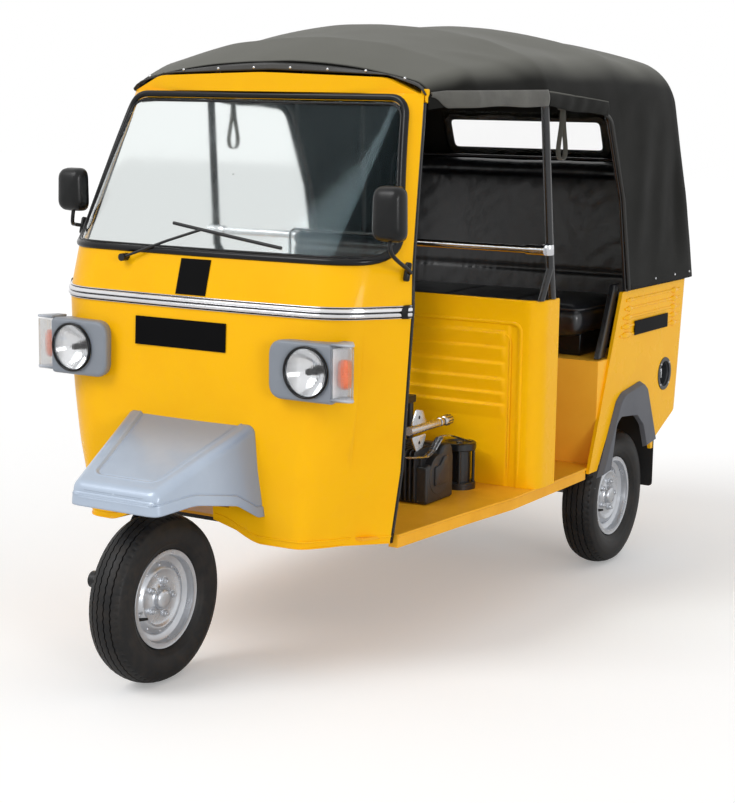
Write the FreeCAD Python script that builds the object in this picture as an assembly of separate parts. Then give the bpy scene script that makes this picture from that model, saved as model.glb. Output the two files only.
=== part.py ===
import FreeCAD, Part
import math
import os

# Three-wheeled auto rickshaw: enclosed cowl with a steered front wheel, open sides, soft hood.
# Millimetres, +Z up, floor at z = 0. The vehicle faces -Y and its left side is +X.
# Lengths along Y are written from the front axle; save() moves every piece so that the
# origin lies on the floor under the middle of the vehicle's length.

V = FreeCAD.Vector

# ---------------------------------------------------------------- wheels
TYRE_RADIUS = 243.0
TYRE_WIDTH = 118.0
TYRE_WALL = 9.0
BEAD_RADIUS = 127.0             # rim seat under the tyre bead
FLANGE_RADIUS = 140.0
RIM_WIDTH = 82.0                # over the flanges
RIM_SHEET = 4.0
WELL_DEPTH = 18.0
DISC_FACE_RADIUS = 72.0         # flat bolting face of the wheel disc
DISC_DISH = 14.0                # from the wheel's middle plane out to the bolting face
LUG_COUNT = 5
LUG_CIRCLE_RADIUS = 50.0
LUG_RADIUS = 9.0
LUG_HEIGHT = 11.0
HUB_RADIUS = 30.0
HUB_CAP_REACH = 20.0            # hub cap, out from the bolting face
WHEELBASE = 1948.0
REAR_TRACK = 1010.0             # between the rear tyres' middle planes
BEAD_GAP = 0.3                  # tyre bead to rim

# ---------------------------------------------------------------- general
BODY_WIDTH = 1250.0
REAR_OVERHANG = 508.0           # rearmost point of the hood, behind the rear axle
REAR_END = WHEELBASE + REAR_OVERHANG
WALL = 12.0                     # pressed double-skin panels
SHEET = 4.0                     # single-skin panels
GAP = 0.3                       # between pieces that are only seated on each other
RUNNING_FIT = 0.05              # radial clearance of pins and shafts

# ---------------------------------------------------------------- steering
RAKE = 18.0                     # degrees, head axis leaning back
TRAIL = 20.0                    # head axis meets the floor this far ahead of the axle
COLUMN_RADIUS = 20.0
HEAD_TUBE_RADIUS = 31.0
HEAD_TUBE_LOW = 640.0           # heights of the fixed head tube's ends
HEAD_TUBE_HIGH = 860.0
WEB_THICKNESS = 44.0            # gusset behind the head tube
COLUMN_TOP = 985.0
CROWN_HEIGHT = 560.0            # height of the fork crown on the head axis
FORK_OFFSET = 112.0             # fork arm's middle plane, to the right of the wheel
FORK_RADIUS = 19.0
HOSE_RADIUS = 4.5
HOSE_BEND = 100.0
# y and z of the brake hose along the front of the fork arm
HOSE_RUN = [(81.4, 491.4), (17.6, 417.8), (-69.0, 354.3)]
AXLE_RADIUS = 12.0
LINK_LENGTH = 105.0             # trailing link, pivot to axle
LINK_PIVOT_RISE = 55.0
BAR_HALF_WIDTH = 290.0
BAR_BACK = 175.0
BAR_RADIUS = 11.0
GRIP_RADIUS = 16.0
GRIP_LENGTH = 120.0
DRUM_RADIUS = 88.0
DRUM_WIDTH = 38.0
SPIN_CLEARANCE = 6.0            # between a turning drum and its fixed carrier

# ---------------------------------------------------------------- cab plan, by height
# height, y of the front at the middle, how far the panel bows, virtual corner x,
# rear edge x and y, corner radius
CAB_PLAN = [
    (395.0, 165.0, 14.0, 446.0, 541.0, 383.0, 180.0),
    (608.0, 158.0, 14.0, 452.0, 572.0, 383.0, 190.0),
    (1062.0, 178.0, 16.0, 466.0, 603.0, 376.0, 200.0),
    (1190.0, 216.0, 20.0, 470.0, 588.0, 402.0, 190.0),
    (1655.0, 540.0, 8.0, 474.0, 514.0, 582.0, 40.0),
]
FRONT_ARC_SHARE = 0.95          # part of the front's length that is bowed
BELT_ROW = 2                    # row of the plan at the belt trim
WAIST_ROW = 3                   # row of the plan under the windscreen
ARCH_HALF_WIDTH = 138.0         # notch over the steered wheel and its fork
ARCH_LIP_LEFT = 82.0            # narrower below, on the side without the fork
ARCH_LIP_TOP = 486.0
ARCH_TOP = 725.0
HEADER_DEPTH = 62.0             # roof header, front to back at its ends
HEADER_LIP = 20.0               # its front lip ahead of the windscreen frame
HEADER_BOW = 50.0               # its middle stands this far ahead of its ends
HEADER_INSET = 12.0             # its ends stand inside the screen frame's rear edges
HEADER_HALF = CAB_PLAN[-1][4] - HEADER_INSET
HEADER_CROWN = 1711.0
HEADER_SHOULDER_RUN = 102.0     # from its ends in to where its top starts to drop
HEADER_SHOULDER_X = HEADER_HALF - HEADER_SHOULDER_RUN
HEADER_SHOULDER = 1699.0

# ---------------------------------------------------------------- windscreen (front view)
SCREEN_BOTTOM = 1187.0
SCREEN_TOP = 1648.0
SCREEN_BOTTOM_X = 577.0
SCREEN_TOP_X = 487.0
SCREEN_CORNER = 72.0
SEAL_WIDTH = 34.0
SEAL_SIDE_WIDTH = 25.0          # the raked side strips, seen from the front
SEAL_LIP = 15.0                 # seal over the panel's edge
SEAL_PROUD = 9.0
GLASS_THICKNESS = 5.0
GLASS_INSET = 4.0

# ---------------------------------------------------------------- belt trim, lamps, fittings
STRIP_TOP = 1630.0              # upper end of the rubber strip on the cab's rear edge
TRIM_HEIGHT = 36.0
TRIM_PROUD = 8.0
TRIM_GROOVE = 6.0
TRIM_CENTRE_Z = 1062.0
LAMP_X = 412.0
LAMP_Z = 905.0
LAMP_LENS_RADIUS = 68.0
LAMP_LENS_DEPTH = 10.0
POD_WIDTH = 302.0
POD_HEIGHT = 172.0
POD_FACE_Y = 140.0
POD_INNER_X = 282.0
POD_FACE_END_X = 488.0
POD_OUTER_Y = 206.0
POD_BACK_SLANT = 70.0           # the pod's outer side runs back in to the cowl
POD_WALL = 5.0
POD_CORNER = 34.0
REFLECTOR_DEPTH = 52.0
WIPER_PIVOT = (-266.0, 1175.0)  # x, z
WIPER_BLADE = ((-138.0, 1276.0), (258.0, 1227.0))
WIPER_JOINT_SHARE = 0.27
WIPER_BLADE_RADIUS = 5.0
WIPER_ARM_RADIUS = 4.0
MIRROR_WIDTH = 98.0
MIRROR_DEPTH = 26.0
MIRROR_ARM_RADIUS = 5.5
# side, head x, y and z, head height, foot z: each head is set for its own angle
MIRRORS = [(1, 596.0, 252.0, 1336.0, 150.0, 1172.0), (-1, 562.0, 322.0, 1354.0, 130.0, 1240.0)]
BADGE_SIZE = 104.0
BADGE_X = -11.0
BADGE_Z = 1133.0
NAME_PLATE = (320.0, 82.0)
NAME_PLATE_X = -40.0
NAME_PLATE_Z = 971.0
SIDE_PLATE = (300.0, 50.0)
SIDE_PLATE_Y = WHEELBASE - 58.0
SIDE_PLATE_Z = 835.0
PLATE_THICKNESS = 2.0

# ---------------------------------------------------------------- mudguard
GUARD_NOSE_Y = -182.0
GUARD_NOSE_HALF = 156.0
GUARD_NOSE_LOW = 527.0
GUARD_NOSE_TOP = 591.0
GUARD_REAR_TOP = 733.0
GUARD_REAR_HALF_TOP = 222.0
GUARD_REAR_HALF_LOW = 262.0
GUARD_TIP_Z = 478.0
GUARD_SHEET = 5.0
GUARD_RECESS = 5.0
GUARD_RECESS_BORDER = 26.0
GUARD_CORNER = 26.0

# ---------------------------------------------------------------- floor, bulkhead, rear body
FLOOR_FRONT = 312.0
FLOOR_Z = 418.0
FLOOR_THICKNESS = 8.0
FLOOR_CUTOUT = 6.0              # margin round the engine
# floor's half width at distances from the front axle
FLOOR_PLAN = [(402.0, 556.0), (760.0, 585.0), (1020.0, 613.0)]
SILL_DEPTH = 38.0
SILL_WIDTH = 30.0
BULKHEAD_Y = 1150.0
BULKHEAD_TOP = 1020.0
BULKHEAD_RETURN = 133.0
BULKHEAD_CORNER = 60.0
LOUVRE_COUNT = 6
LOUVRE_LOW = 470.0
LOUVRE_PITCH = 76.0
LOUVRE_MARGIN = 120.0           # from the louvres' ends to the body's side
LOUVRE_HALF_WIDTH = BODY_WIDTH / 2 - LOUVRE_MARGIN
LOUVRE_HEIGHT = 44.0
LOUVRE_DEPTH = 16.0
REAR_TOP = 994.0
REAR_FRONT_TOP_Y = WHEELBASE - 160.0
REAR_FRONT_LOW_Y = WHEELBASE - 395.0
REAR_LOW = 400.0
REAR_WALL_TOP_Y = WHEELBASE + 464.0
REAR_WALL_LEAN = 70.0
REAR_CORNER = 70.0
DEPARTURE_Y = WHEELBASE + 160.0
DEPARTURE_Z = 430.0
DEPARTURE_REAR_Z = 548.0
BEAD_COUNT = 5
BEAD_PITCH = 30.0
BEAD_TOP = 962.0
BEAD_RIB_RADIUS = 5.0
SEAT_RISER_Y = WHEELBASE - 326.0
SEAT_DECK_Z = 773.0
SEAT_BOX_FLOOR_Z = 560.0
# arch outline over the rear wheel, side view: y from the rear axle, z
FLARE_OUTER = [(-334.0, 373.0), (-189.0, 621.0), (-148.0, 646.0), (18.0, 666.0), (58.0, 640.0), (158.0, 430.0)]
FLARE_OUTER_RADII = [0.0, 40.0, 60.0, 34.0, 34.0, 0.0]
FLARE_INNER = [(-258.0, 373.0), (-214.0, 545.0), (-178.0, 566.0), (-38.0, 552.0), (20.0, 510.0), (92.0, 400.0)]
FLARE_INNER_RADII = [0.0, 40.0, 30.0, 30.0, 40.0, 0.0]
FLARE_PROUD = 20.0
FLARE_LAND = 12.0               # flare's overlap on the side panel
FILLER_Y = WHEELBASE + 244.0
FILLER_Z = 662.0
FILLER_RADIUS = 60.0
TAIL_LAMP = (80.0, 150.0)
TAIL_LAMP_X = BODY_WIDTH / 2 - 155.0
TAIL_LAMP_Z = 800.0
FLAP_X = (BODY_WIDTH / 2 - 225.0, BODY_WIDTH / 2 - 43.0)
FLAP_LOW = 232.0

# ---------------------------------------------------------------- hood
# y, half width, crown height, roof radius, shoulder radius
HOOD_SECTIONS = [
    (590.0, 522.0, 1740.0, 2140.0, 60.0),
    (770.0, BODY_WIDTH / 2 - 40.0, 1826.0, 1510.0, 100.0),
    (1112.0, BODY_WIDTH / 2 + 15.0, 1868.0, 1650.0, 130.0),
    (WHEELBASE - 298.0, BODY_WIDTH / 2 + 17.0, 1876.0, 1620.0, 140.0),
    (WHEELBASE + 242.0, BODY_WIDTH / 2 + 11.0, 1842.0, 1840.0, 140.0),
]
HOOD_SHEET = 8.0
HOOD_BOTTOM = 1000.0
HOOD_REAR_TOP_Y = WHEELBASE + 232.0        # where the rear wall meets the roof
HOOD_REAR_TOP_Z = 1716.0
# side opening of the hood, side view: y, z of the hem
HOOD_HEM = [(575.0, 1608.0), (650.0, 1618.0), (1134.0, 1625.0),
            (WHEELBASE - 348.0, 1592.0), (WHEELBASE - 215.0, 1310.0), (WHEELBASE - 142.0, 990.0)]
WINDOW_HALF_WIDTH = 350.0
WINDOW_LOW = 1440.0
WINDOW_HIGH = 1570.0
POLE_RADIUS = 12.5
POLE_ROW = 2                    # hood section that stands over the side poles
MIDDLE_BOW_ROW = 3
REAR_BOW_Y = WHEELBASE + 156.0
HOOP_RADIUS = 9.0
RAIL_Z = 1182.0
RAIL_RADIUS = 12.0
# y and z of the roof rail's knots, over the hood's hem
ROOF_RAIL = [(640.0, 1642.0), (770.0, 1646.0), (1112.0, 1646.0),
             (WHEELBASE - 344.0, 1612.0), (WHEELBASE - 203.0, 1312.0), (WHEELBASE - 129.0, 985.0)]
STRAP_Y = 1243.0
STRAP_LENGTH = 140.0

# ---------------------------------------------------------------- seats
DRIVER_SEAT_HALF = 240.0
DRIVER_SEAT_Y = 680.0
DRIVER_SEAT_DEPTH = 360.0
DRIVER_SEAT_LOW = 700.0
DRIVER_CUSHION = 95.0
DRIVER_BACK_OVERLAP = 34.0      # the backrest stands over the cushion's rear edge
DRIVER_BACK_Y = DRIVER_SEAT_Y + DRIVER_SEAT_DEPTH - DRIVER_BACK_OVERLAP
DRIVER_BACK_THICKNESS = 60.0
DRIVER_BACK_LOW = 890.0
DRIVER_BACK_TOP = 1222.0
BENCH_SIDE_GAP = 65.0           # from the bench's ends to the body's side
BENCH_HALF = BODY_WIDTH / 2 - BENCH_SIDE_GAP
BENCH_NOSE = 22.0               # its front edge stands ahead of the riser
BENCH_FRONT = SEAT_RISER_Y - BENCH_NOSE
BENCH_DEPTH = 500.0
BENCH_THICKNESS = 185.0
BENCH_BACK_TOP = 1440.0
BENCH_BACK_THICKNESS = 95.0
BENCH_BACK_LEAN = 90.0

# ---------------------------------------------------------------- frame, engine, rear axle
RAIL_X = 330.0
CHASSIS_RAIL_HEIGHT = 50.0
CHASSIS_RAIL_WIDTH = 50.0
CHASSIS_FRONT = 440.0
CHASSIS_REAR = WHEELBASE + 218.0
SUMP = (740.0, 1000.0)            # lower engine case through the floor, front and rear
SUMP_HALF = 90.0
SUMP_LOW = 300.0
TOW_EYE_RADIUS = 12.0
TOW_EYE_THICKNESS = 14.0
ARM_LENGTH = 408.0              # trailing arm, pivot to rear axle
ARM_PIVOT_Y = WHEELBASE - ARM_LENGTH
SHAFT_RADIUS = 14.0
DAMPER_X = 386.0
DAMPER_RADIUS = 28.0
ARM_SHELF_TOP = 285.0           # spring seat on the trailing arm
SPRING_COILS = 7
CARRIER_OUT = 418.0             # outer face of the arm's hub carrier, from the middle
CARRIER_WIDTH = 34.0
HUB_DEPTH = 46.0                # front hub, in from the wheel's middle plane
DIFF_HALF_WIDTH = 95.0
ENGINE_CASE_OUT = 300.0         # engine case, to the left
SHROUD_OUT = 420.0              # cooling shroud beyond it
FIN_COUNT = 7
FIN_PITCH = 16.0
FIN_THICKNESS = 5.0
FAN_RADIUS = 62.0
FAN_DEPTH = 28.0
CANISTER_Y = 1068.0             # air cleaner
CANISTER_LENGTH = 200.0
CANISTER_OUT = BODY_WIDTH / 2 - 125.0
CANISTER_RADIUS = 58.0
CANISTER_RING_RADIUS = 62.0
CANISTER_RINGS = 3
CANISTER_RING_PITCH = 70.0
CANISTER_RING_WIDTH = 10.0

AXLE_Z = TYRE_RADIUS
HALF_TRACK = REAR_TRACK / 2
SIDE_X = BODY_WIDTH / 2
MIDDLE_Y = (REAR_END - TYRE_RADIUS) / 2
POLE_Y = HOOD_SECTIONS[POLE_ROW][0]
CHASSIS_TOP = FLOOR_Z - FLOOR_THICKNESS - GAP
CHASSIS_RAIL_LOW = CHASSIS_TOP - CHASSIS_RAIL_HEIGHT


# ================================================================ small tools
def save(node, *solids):
    """Writes the solids as one node, moved into the vehicle's own frame."""
    shape = solids[0] if len(solids) == 1 else Part.makeCompound(list(solids))
    shape = shape.copy()
    shape.translate(V(0, -MIDDLE_Y, 0))
    shape.exportStep("parts/" + node + ".step")
    volume = sum(solid.Volume for solid in shape.Solids)
    print(node, len(shape.Solids), "solids", round(volume / 1e3, 1), "cm3", "valid" if shape.isValid() else "NOT VALID")


def mirrored(shape):
    """The same shape on the other side of the vehicle."""
    return shape.mirror(V(0, 0, 0), V(1, 0, 0))


def both(shape):
    return [shape, mirrored(shape)]


def block(x0, x1, y0, y1, z0, z1):
    return Part.makeBox(x1 - x0, y1 - y0, z1 - z0, V(x0, y0, z0))


def rod(start, end, radius):
    axis = V(*end) - V(*start)
    return Part.makeCylinder(radius, axis.Length, V(*start), axis)


def tube(start, end, outer, inner):
    return rod(start, end, outer).cut(rod(start, end, inner))


def fillet_points(before, corner, after, radius):
    """Start, middle and end of the tangent arc that rounds a corner."""
    back = (before - corner).normalize()
    ahead = (after - corner).normalize()
    half = back.getAngle(ahead) / 2
    reach = radius / math.tan(half)
    bisector = (back + ahead).normalize()
    centre = corner + bisector * (radius / math.sin(half))
    return corner + back * reach, centre - bisector * radius, corner + ahead * reach


def rounded_wire(points, radii, closed=True):
    """Wire through the points, with a tangent arc of its own radius at each corner."""
    corners = [V(*p) for p in points]
    count = len(corners)
    arcs = []
    for i, corner in enumerate(corners):
        inner = closed or 0 < i < count - 1
        if radii[i] > 0 and inner:
            arcs.append(fillet_points(corners[i - 1], corner, corners[(i + 1) % count], radii[i]))
        else:
            arcs.append((corner,))
    edges = []
    for i in range(count):
        if len(arcs[i]) == 3:
            edges.append(Part.Arc(*arcs[i]).toShape())
        if i < count - 1 or closed:
            start = arcs[i][-1]
            end = arcs[(i + 1) % count][0]
            if (end - start).Length > 1e-6:
                edges.append(Part.LineSegment(start, end).toShape())
    return Part.Wire(edges)


def extruded(points, radii, direction):
    """Prism of a closed outline with rounded corners."""
    if not isinstance(radii, list):
        radii = [radii] * len(points)
    return Part.Face(rounded_wire(points, radii)).extrude(V(*direction))


def side_prism(outline, radii, x0, x1):
    """Prism across the vehicle of an outline given as (y, z) points."""
    return extruded([(x0, y, z) for y, z in outline], radii, (x1 - x0, 0, 0))


def front_prism(outline, radii, y0, y1):
    """Prism along the vehicle of an outline given as (x, z) points."""
    return extruded([(x, y0, z) for x, z in outline], radii, (0, y1 - y0, 0))


def loft(wires):
    return Part.makeLoft(wires, True, True)


def piped(edges, radius):
    """Round bar along joined edges."""
    first = edges[0]
    start = first.valueAt(first.FirstParameter)
    section = Part.Wire(Part.Circle(start, first.tangentAt(first.FirstParameter), radius).toShape())
    return Part.Wire(edges).makePipeShell([section], True, True)


def bent_rod(points, radius, radii):
    """Round bar along straight runs joined by tangent arcs."""
    return piped(rounded_wire(points, radii, closed=False).OrderedEdges, radius)


def turned(profile, centre, axis):
    """Solid of revolution of a closed wire about an axis through centre."""
    return Part.Face(profile).revolve(centre, axis, 360)


def offset_line(a, b, distance):
    """The line a-b moved sideways, to its left as seen along it, in the plane of two numbers."""
    dx = b[0] - a[0]
    dy = b[1] - a[1]
    length = math.hypot(dx, dy)
    shift = (-dy / length * distance, dx / length * distance)
    return (a[0] + shift[0], a[1] + shift[1]), (b[0] + shift[0], b[1] + shift[1])


def crossing(first, second):
    """Point where two lines, each given by two points, meet."""
    (x1, y1), (x2, y2) = first
    (x3, y3), (x4, y4) = second
    cross = (x1 - x2) * (y3 - y4) - (y1 - y2) * (x3 - x4)
    a = x1 * y2 - y1 * x2
    b = x3 * y4 - y3 * x4
    return (a * (x3 - x4) - b * (x1 - x2)) / cross, (a * (y3 - y4) - b * (y1 - y2)) / cross


def inset(outline, distances):
    """A closed outline, listed anticlockwise, with each edge drawn in by its own distance."""
    count = len(outline)
    lines = [offset_line(outline[i], outline[(i + 1) % count], distances[i]) for i in range(count)]
    return [crossing(lines[i - 1], lines[i]) for i in range(count)]


def between(low, high, share):
    return low + (high - low) * share


def head_y(z):
    """Y of the steering head's axis at a height."""
    return z * math.tan(math.radians(RAKE)) - TRAIL


def on_head(z, x=0.0, back=0.0):
    return (x, head_y(z) + back, z)


# ================================================================ cab plan
def bowed_share(row):
    """Part of a cab row's half front that lies on its bowed arc."""
    _, front, bow, corner_x, side_x, side_y, radius = row
    side_angle = math.atan2(side_y - front - bow, side_x - corner_x)
    reach = radius * math.tan((side_angle - math.atan2(bow, corner_x)) / 2)
    return FRONT_ARC_SHARE * (1 - reach / corner_x)


def cab_outline(row, drawn_in, rear_extra):
    """Closed plan wire of the cab at one height, drawn in towards its inside."""
    z, front, bow, corner_x, side_x, side_y, radius = row
    corner = (corner_x, front + bow)
    end = (side_x, side_y)
    side_angle = math.atan2(end[1] - corner[1], end[0] - corner[0])
    share = bowed_share(row)
    middle = (0.0, front - bow * share / (2 - share))       # the arc's vertex stands ahead of its apex
    bow_angle = math.atan2(corner[1] - middle[1], corner[0])
    run = math.hypot(corner[0], corner[1] - middle[1]) - radius * math.tan((side_angle - bow_angle) / 2)
    front_radius = run * FRONT_ARC_SHARE / math.tan(bow_angle) - drawn_in
    front_line = offset_line(middle, corner, drawn_in)
    side_line = offset_line(corner, end, drawn_in)
    corner = crossing(front_line, side_line)
    middle = crossing(front_line, ((0.0, 0.0), (0.0, 1.0)))
    end = (side_line[1][0] + math.cos(side_angle) * rear_extra, side_line[1][1] + math.sin(side_angle) * rear_extra)
    points = [(-end[0], end[1], z), (-corner[0], corner[1], z), (middle[0], middle[1], z),
              (corner[0], corner[1], z), (end[0], end[1], z)]
    return rounded_wire(points, [0, radius - drawn_in, front_radius, radius - drawn_in, 0])


def cab_solid(rows, drawn_in, rear_extra=0.0):
    return loft([cab_outline(row, drawn_in, rear_extra) for row in rows])


def cab_layer(rows, outer, inner):
    """The part of the cab's wall between two depths; negative depths stand proud."""
    reach = 400.0
    return cab_solid(rows, outer).cut(cab_solid(rows, inner, reach))


def cab_front_y(z):
    """Y of the cab's outer skin at the middle, at a height."""
    for low, high in zip(CAB_PLAN, CAB_PLAN[1:]):
        if z <= high[0]:
            return between(low[1], high[1], (z - low[0]) / (high[0] - low[0]))
    return CAB_PLAN[-1][1]


def screen_outline(width, side_width):
    """Front view of the windscreen, drawn in from the seal's outer edge."""
    outer = [(-SCREEN_BOTTOM_X, SCREEN_BOTTOM), (SCREEN_BOTTOM_X, SCREEN_BOTTOM),
             (SCREEN_TOP_X, SCREEN_TOP), (-SCREEN_TOP_X, SCREEN_TOP)]
    if width == 0:
        return outer
    return inset(outer, [width, side_width, width, side_width])


def screen_prism(width, side_width):
    deep = 900.0
    return front_prism(screen_outline(width, side_width), SCREEN_CORNER - width, -deep / 2, deep)


# ================================================================ body panels
def front_shell():
    shell = cab_layer(CAB_PLAN, 0.0, WALL)
    shell = shell.cut(screen_prism(SEAL_LIP, SEAL_LIP * SEAL_SIDE_WIDTH / SEAL_WIDTH))
    low = CAB_PLAN[0][0] - 1
    arch = [(-ARCH_HALF_WIDTH, low), (ARCH_LIP_LEFT, low), (ARCH_LIP_LEFT, ARCH_LIP_TOP), (ARCH_HALF_WIDTH, ARCH_LIP_TOP),
            (ARCH_HALF_WIDTH, ARCH_TOP), (-ARCH_HALF_WIDTH, ARCH_TOP)]
    shell = shell.cut(front_prism(arch, [0, 0, 0, 0, 40, 40], -TYRE_RADIUS, CAB_PLAN[0][5] - 30))
    return shell.fuse(header()).removeSplitter()


def header_rear_y():
    return CAB_PLAN[-1][1] - HEADER_LIP + HEADER_BOW + HEADER_DEPTH


def header():
    """Arched roof header over the windscreen, bowed in plan, with a lip ahead of it."""
    low = CAB_PLAN[-1][0]
    outline = [(-HEADER_HALF, low), (HEADER_HALF, low), (HEADER_SHOULDER_X, HEADER_SHOULDER), (0, HEADER_CROWN),
               (-HEADER_SHOULDER_X, HEADER_SHOULDER)]
    front = CAB_PLAN[-1][1] - HEADER_LIP
    arch = front_prism(outline, [0, 0, 120, 900, 120], front - 1, header_rear_y())
    ends = front + HEADER_BOW
    edges = [Part.Arc(V(-HEADER_HALF, ends, low), V(0, front, low), V(HEADER_HALF, ends, low)).toShape(),
             Part.LineSegment(V(HEADER_HALF, ends, low), V(HEADER_HALF, header_rear_y(), low)).toShape(),
             Part.LineSegment(V(HEADER_HALF, header_rear_y(), low), V(-HEADER_HALF, header_rear_y(), low)).toShape(),
             Part.LineSegment(V(-HEADER_HALF, header_rear_y(), low), V(-HEADER_HALF, ends, low)).toShape()]
    plan = Part.Face(Part.Wire(edges)).extrude(V(0, 0, HEADER_CROWN - low + 1))
    solid = arch.common(plan)
    hood_front = HOOD_SECTIONS[0][0]
    rear_half = solid.common(hood_block(HOOD_SHEET + GAP, 10)).common(
        block(-SIDE_X, SIDE_X, hood_front - 5, header_rear_y() + 1, low, HEADER_CROWN + 1))
    return solid.cut(block(-SIDE_X, SIDE_X, hood_front - GAP, header_rear_y() + 1, low - 1, HEADER_CROWN + 1)).fuse(rear_half)


def windscreen_glass():
    layer = cab_layer(CAB_PLAN[BELT_ROW:], GLASS_INSET, GLASS_INSET + GLASS_THICKNESS)
    share = (SEAL_WIDTH + SEAL_LIP) / 2
    return layer.common(screen_prism(share, share * SEAL_SIDE_WIDTH / SEAL_WIDTH))


def windscreen_seal(shell, glass):
    layer = cab_layer(CAB_PLAN[BELT_ROW:], -SEAL_PROUD, WALL + SEAL_PROUD / 2)
    ring = screen_prism(0, 0).cut(screen_prism(SEAL_WIDTH, SEAL_SIDE_WIDTH))
    return layer.common(ring).cut(shell).cut(glass)


def belt_trim():
    """Two bright bands round the cowl with a groove between them."""
    rows = CAB_PLAN[BELT_ROW - 1:WAIST_ROW + 1]
    skin = cab_layer(rows, -TRIM_PROUD, -GAP)
    low = TRIM_CENTRE_Z - TRIM_HEIGHT / 2
    band = skin.common(block(-SIDE_X, SIDE_X, 0, CAB_PLAN[BELT_ROW][5], low, low + TRIM_HEIGHT))
    groove_skin = cab_layer(rows, -TRIM_PROUD - 1, -TRIM_PROUD / 2)
    groove_low = TRIM_CENTRE_Z - TRIM_GROOVE / 2
    return band.cut(groove_skin.common(block(-SIDE_X, SIDE_X, 0, SIDE_X, groove_low, groove_low + TRIM_GROOVE)))


def door_edge_strips():
    """Rubber strip along the rear edge of each cab side."""
    path = [(row[4], row[5], row[0]) for row in CAB_PLAN[:-1]]
    share = (STRIP_TOP - path[-1][2]) / (CAB_PLAN[-1][0] - path[-1][2])
    path.append((between(path[-1][0], CAB_PLAN[-1][4], share), between(path[-1][1], CAB_PLAN[-1][5], share), STRIP_TOP))
    width = 16.0
    depth = 12.0
    wires = []
    for x, y, z in path:
        wires.append(Part.makePolygon([V(x - WALL, y + GAP, z), V(x + width - WALL, y + GAP, z),
                                       V(x + width - WALL, y + GAP + depth, z), V(x - WALL, y + GAP + depth, z),
                                       V(x - WALL, y + GAP, z)]))
    return both(loft(wires))


def front_mudguard(cab_outer):
    """Fixed mudguard: a tapered hood that grows out of the cowl over the wheel."""
    junction = cab_front_y(GUARD_REAR_TOP)
    slope = (GUARD_REAR_TOP - GUARD_NOSE_TOP) / (junction - GUARD_NOSE_Y)
    spread_low = (GUARD_REAR_HALF_LOW - GUARD_NOSE_HALF) / (junction - GUARD_NOSE_Y)
    spread_top = (GUARD_REAR_HALF_TOP - GUARD_NOSE_HALF + 12) / (junction - GUARD_NOSE_Y)
    below = GUARD_TIP_Z - 100

    def section(y, shrink):
        back = y - GUARD_NOSE_Y
        low_half = GUARD_NOSE_HALF + 6 + spread_low * back - shrink
        top_half = GUARD_NOSE_HALF - 12 + spread_top * back - shrink
        top = GUARD_NOSE_TOP + slope * back - shrink
        points = [(-low_half, y, below - shrink), (low_half, y, below - shrink), (top_half, y, top), (-top_half, y, top)]
        return rounded_wire(points, [0, 0, GUARD_CORNER - shrink, GUARD_CORNER - shrink])

    rear = junction + 60
    outer = loft([section(GUARD_NOSE_Y, 0.0), section(rear, 0.0)])
    guard = outer.cut(loft([section(GUARD_NOSE_Y + GUARD_SHEET, GUARD_SHEET), section(rear + 1, GUARD_SHEET)]))

    def panel(y_front, half_front, y_rear, half_rear, depth, height):
        wires = []
        for y, half in ((y_front, half_front), (y_rear, half_rear)):
            z = GUARD_NOSE_TOP + slope * (y - GUARD_NOSE_Y) - depth
            wires.append(Part.makePolygon([V(-half, y, z), V(half, y, z), V(half, y, z + height), V(-half, y, z + height), V(-half, y, z)]))
        return loft(wires)

    border = GUARD_RECESS_BORDER
    front = GUARD_NOSE_Y + border
    half_front = GUARD_NOSE_HALF - 12 - border
    half_rear = half_front + spread_top * (rear - front)
    grown = GUARD_SHEET
    pad = panel(front - grown, half_front + grown, rear, half_rear + grown, GUARD_RECESS + grown, GUARD_RECESS + 1)
    guard = guard.fuse(pad).cut(panel(front, half_front, rear + 1, half_rear, GUARD_RECESS, 40))
    cut = [(GUARD_NOSE_Y - 20, below - 20), (GUARD_NOSE_Y - 20, GUARD_NOSE_LOW), (GUARD_NOSE_Y + 126, GUARD_NOSE_LOW + 15),
           (GUARD_NOSE_Y + 265, GUARD_NOSE_LOW - 7), (GUARD_NOSE_Y + 330, GUARD_TIP_Z), (rear + 20, GUARD_TIP_Z), (rear + 20, below - 20)]
    guard = guard.cut(side_prism(cut, [0, 0, 150, 40, 10, 0, 0], -SIDE_X, SIDE_X))
    return guard.cut(cab_outer).removeSplitter()


def floor_pan():
    """Floor tray that widens to the rear, with a sill flange along each side."""
    low = FLOOR_Z - FLOOR_THICKNESS
    front_part = block(-SIDE_X, SIDE_X, FLOOR_FRONT, CAB_PLAN[0][5] - GAP, low, FLOOR_Z)
    front_part = front_part.common(cab_solid(CAB_PLAN[:2], WALL + GAP))
    rear = SEAT_RISER_Y - GAP
    neck = CAB_PLAN[0][4] - 2 * WALL
    half = FLOOR_PLAN[-1][1]
    side = [(neck, CAB_PLAN[0][5] - 10), (neck, FLOOR_PLAN[0][0])] + [(x, y) for y, x in FLOOR_PLAN] + [(half, rear)]
    outline = [(x, y, low) for x, y in side] + [(-x, y, low) for x, y in reversed(side)]
    pan = front_part.fuse(extruded(outline, 0, (0, 0, FLOOR_THICKNESS)))
    edge = [(x, y) for y, x in FLOOR_PLAN] + [(half, REAR_FRONT_LOW_Y)]
    strip = [(x, y, FLOOR_Z - SILL_DEPTH) for x, y in edge] + [(x - SILL_WIDTH, y, FLOOR_Z - SILL_DEPTH) for x, y in reversed(edge)]
    sill = extruded(strip, 0, (0, 0, SILL_DEPTH - 1))
    for piece in both(sill):
        pan = pan.fuse(piece)
    return pan.cut(sump(FLOOR_CUTOUT)).cut(neck_web(GAP)).removeSplitter()


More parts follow.
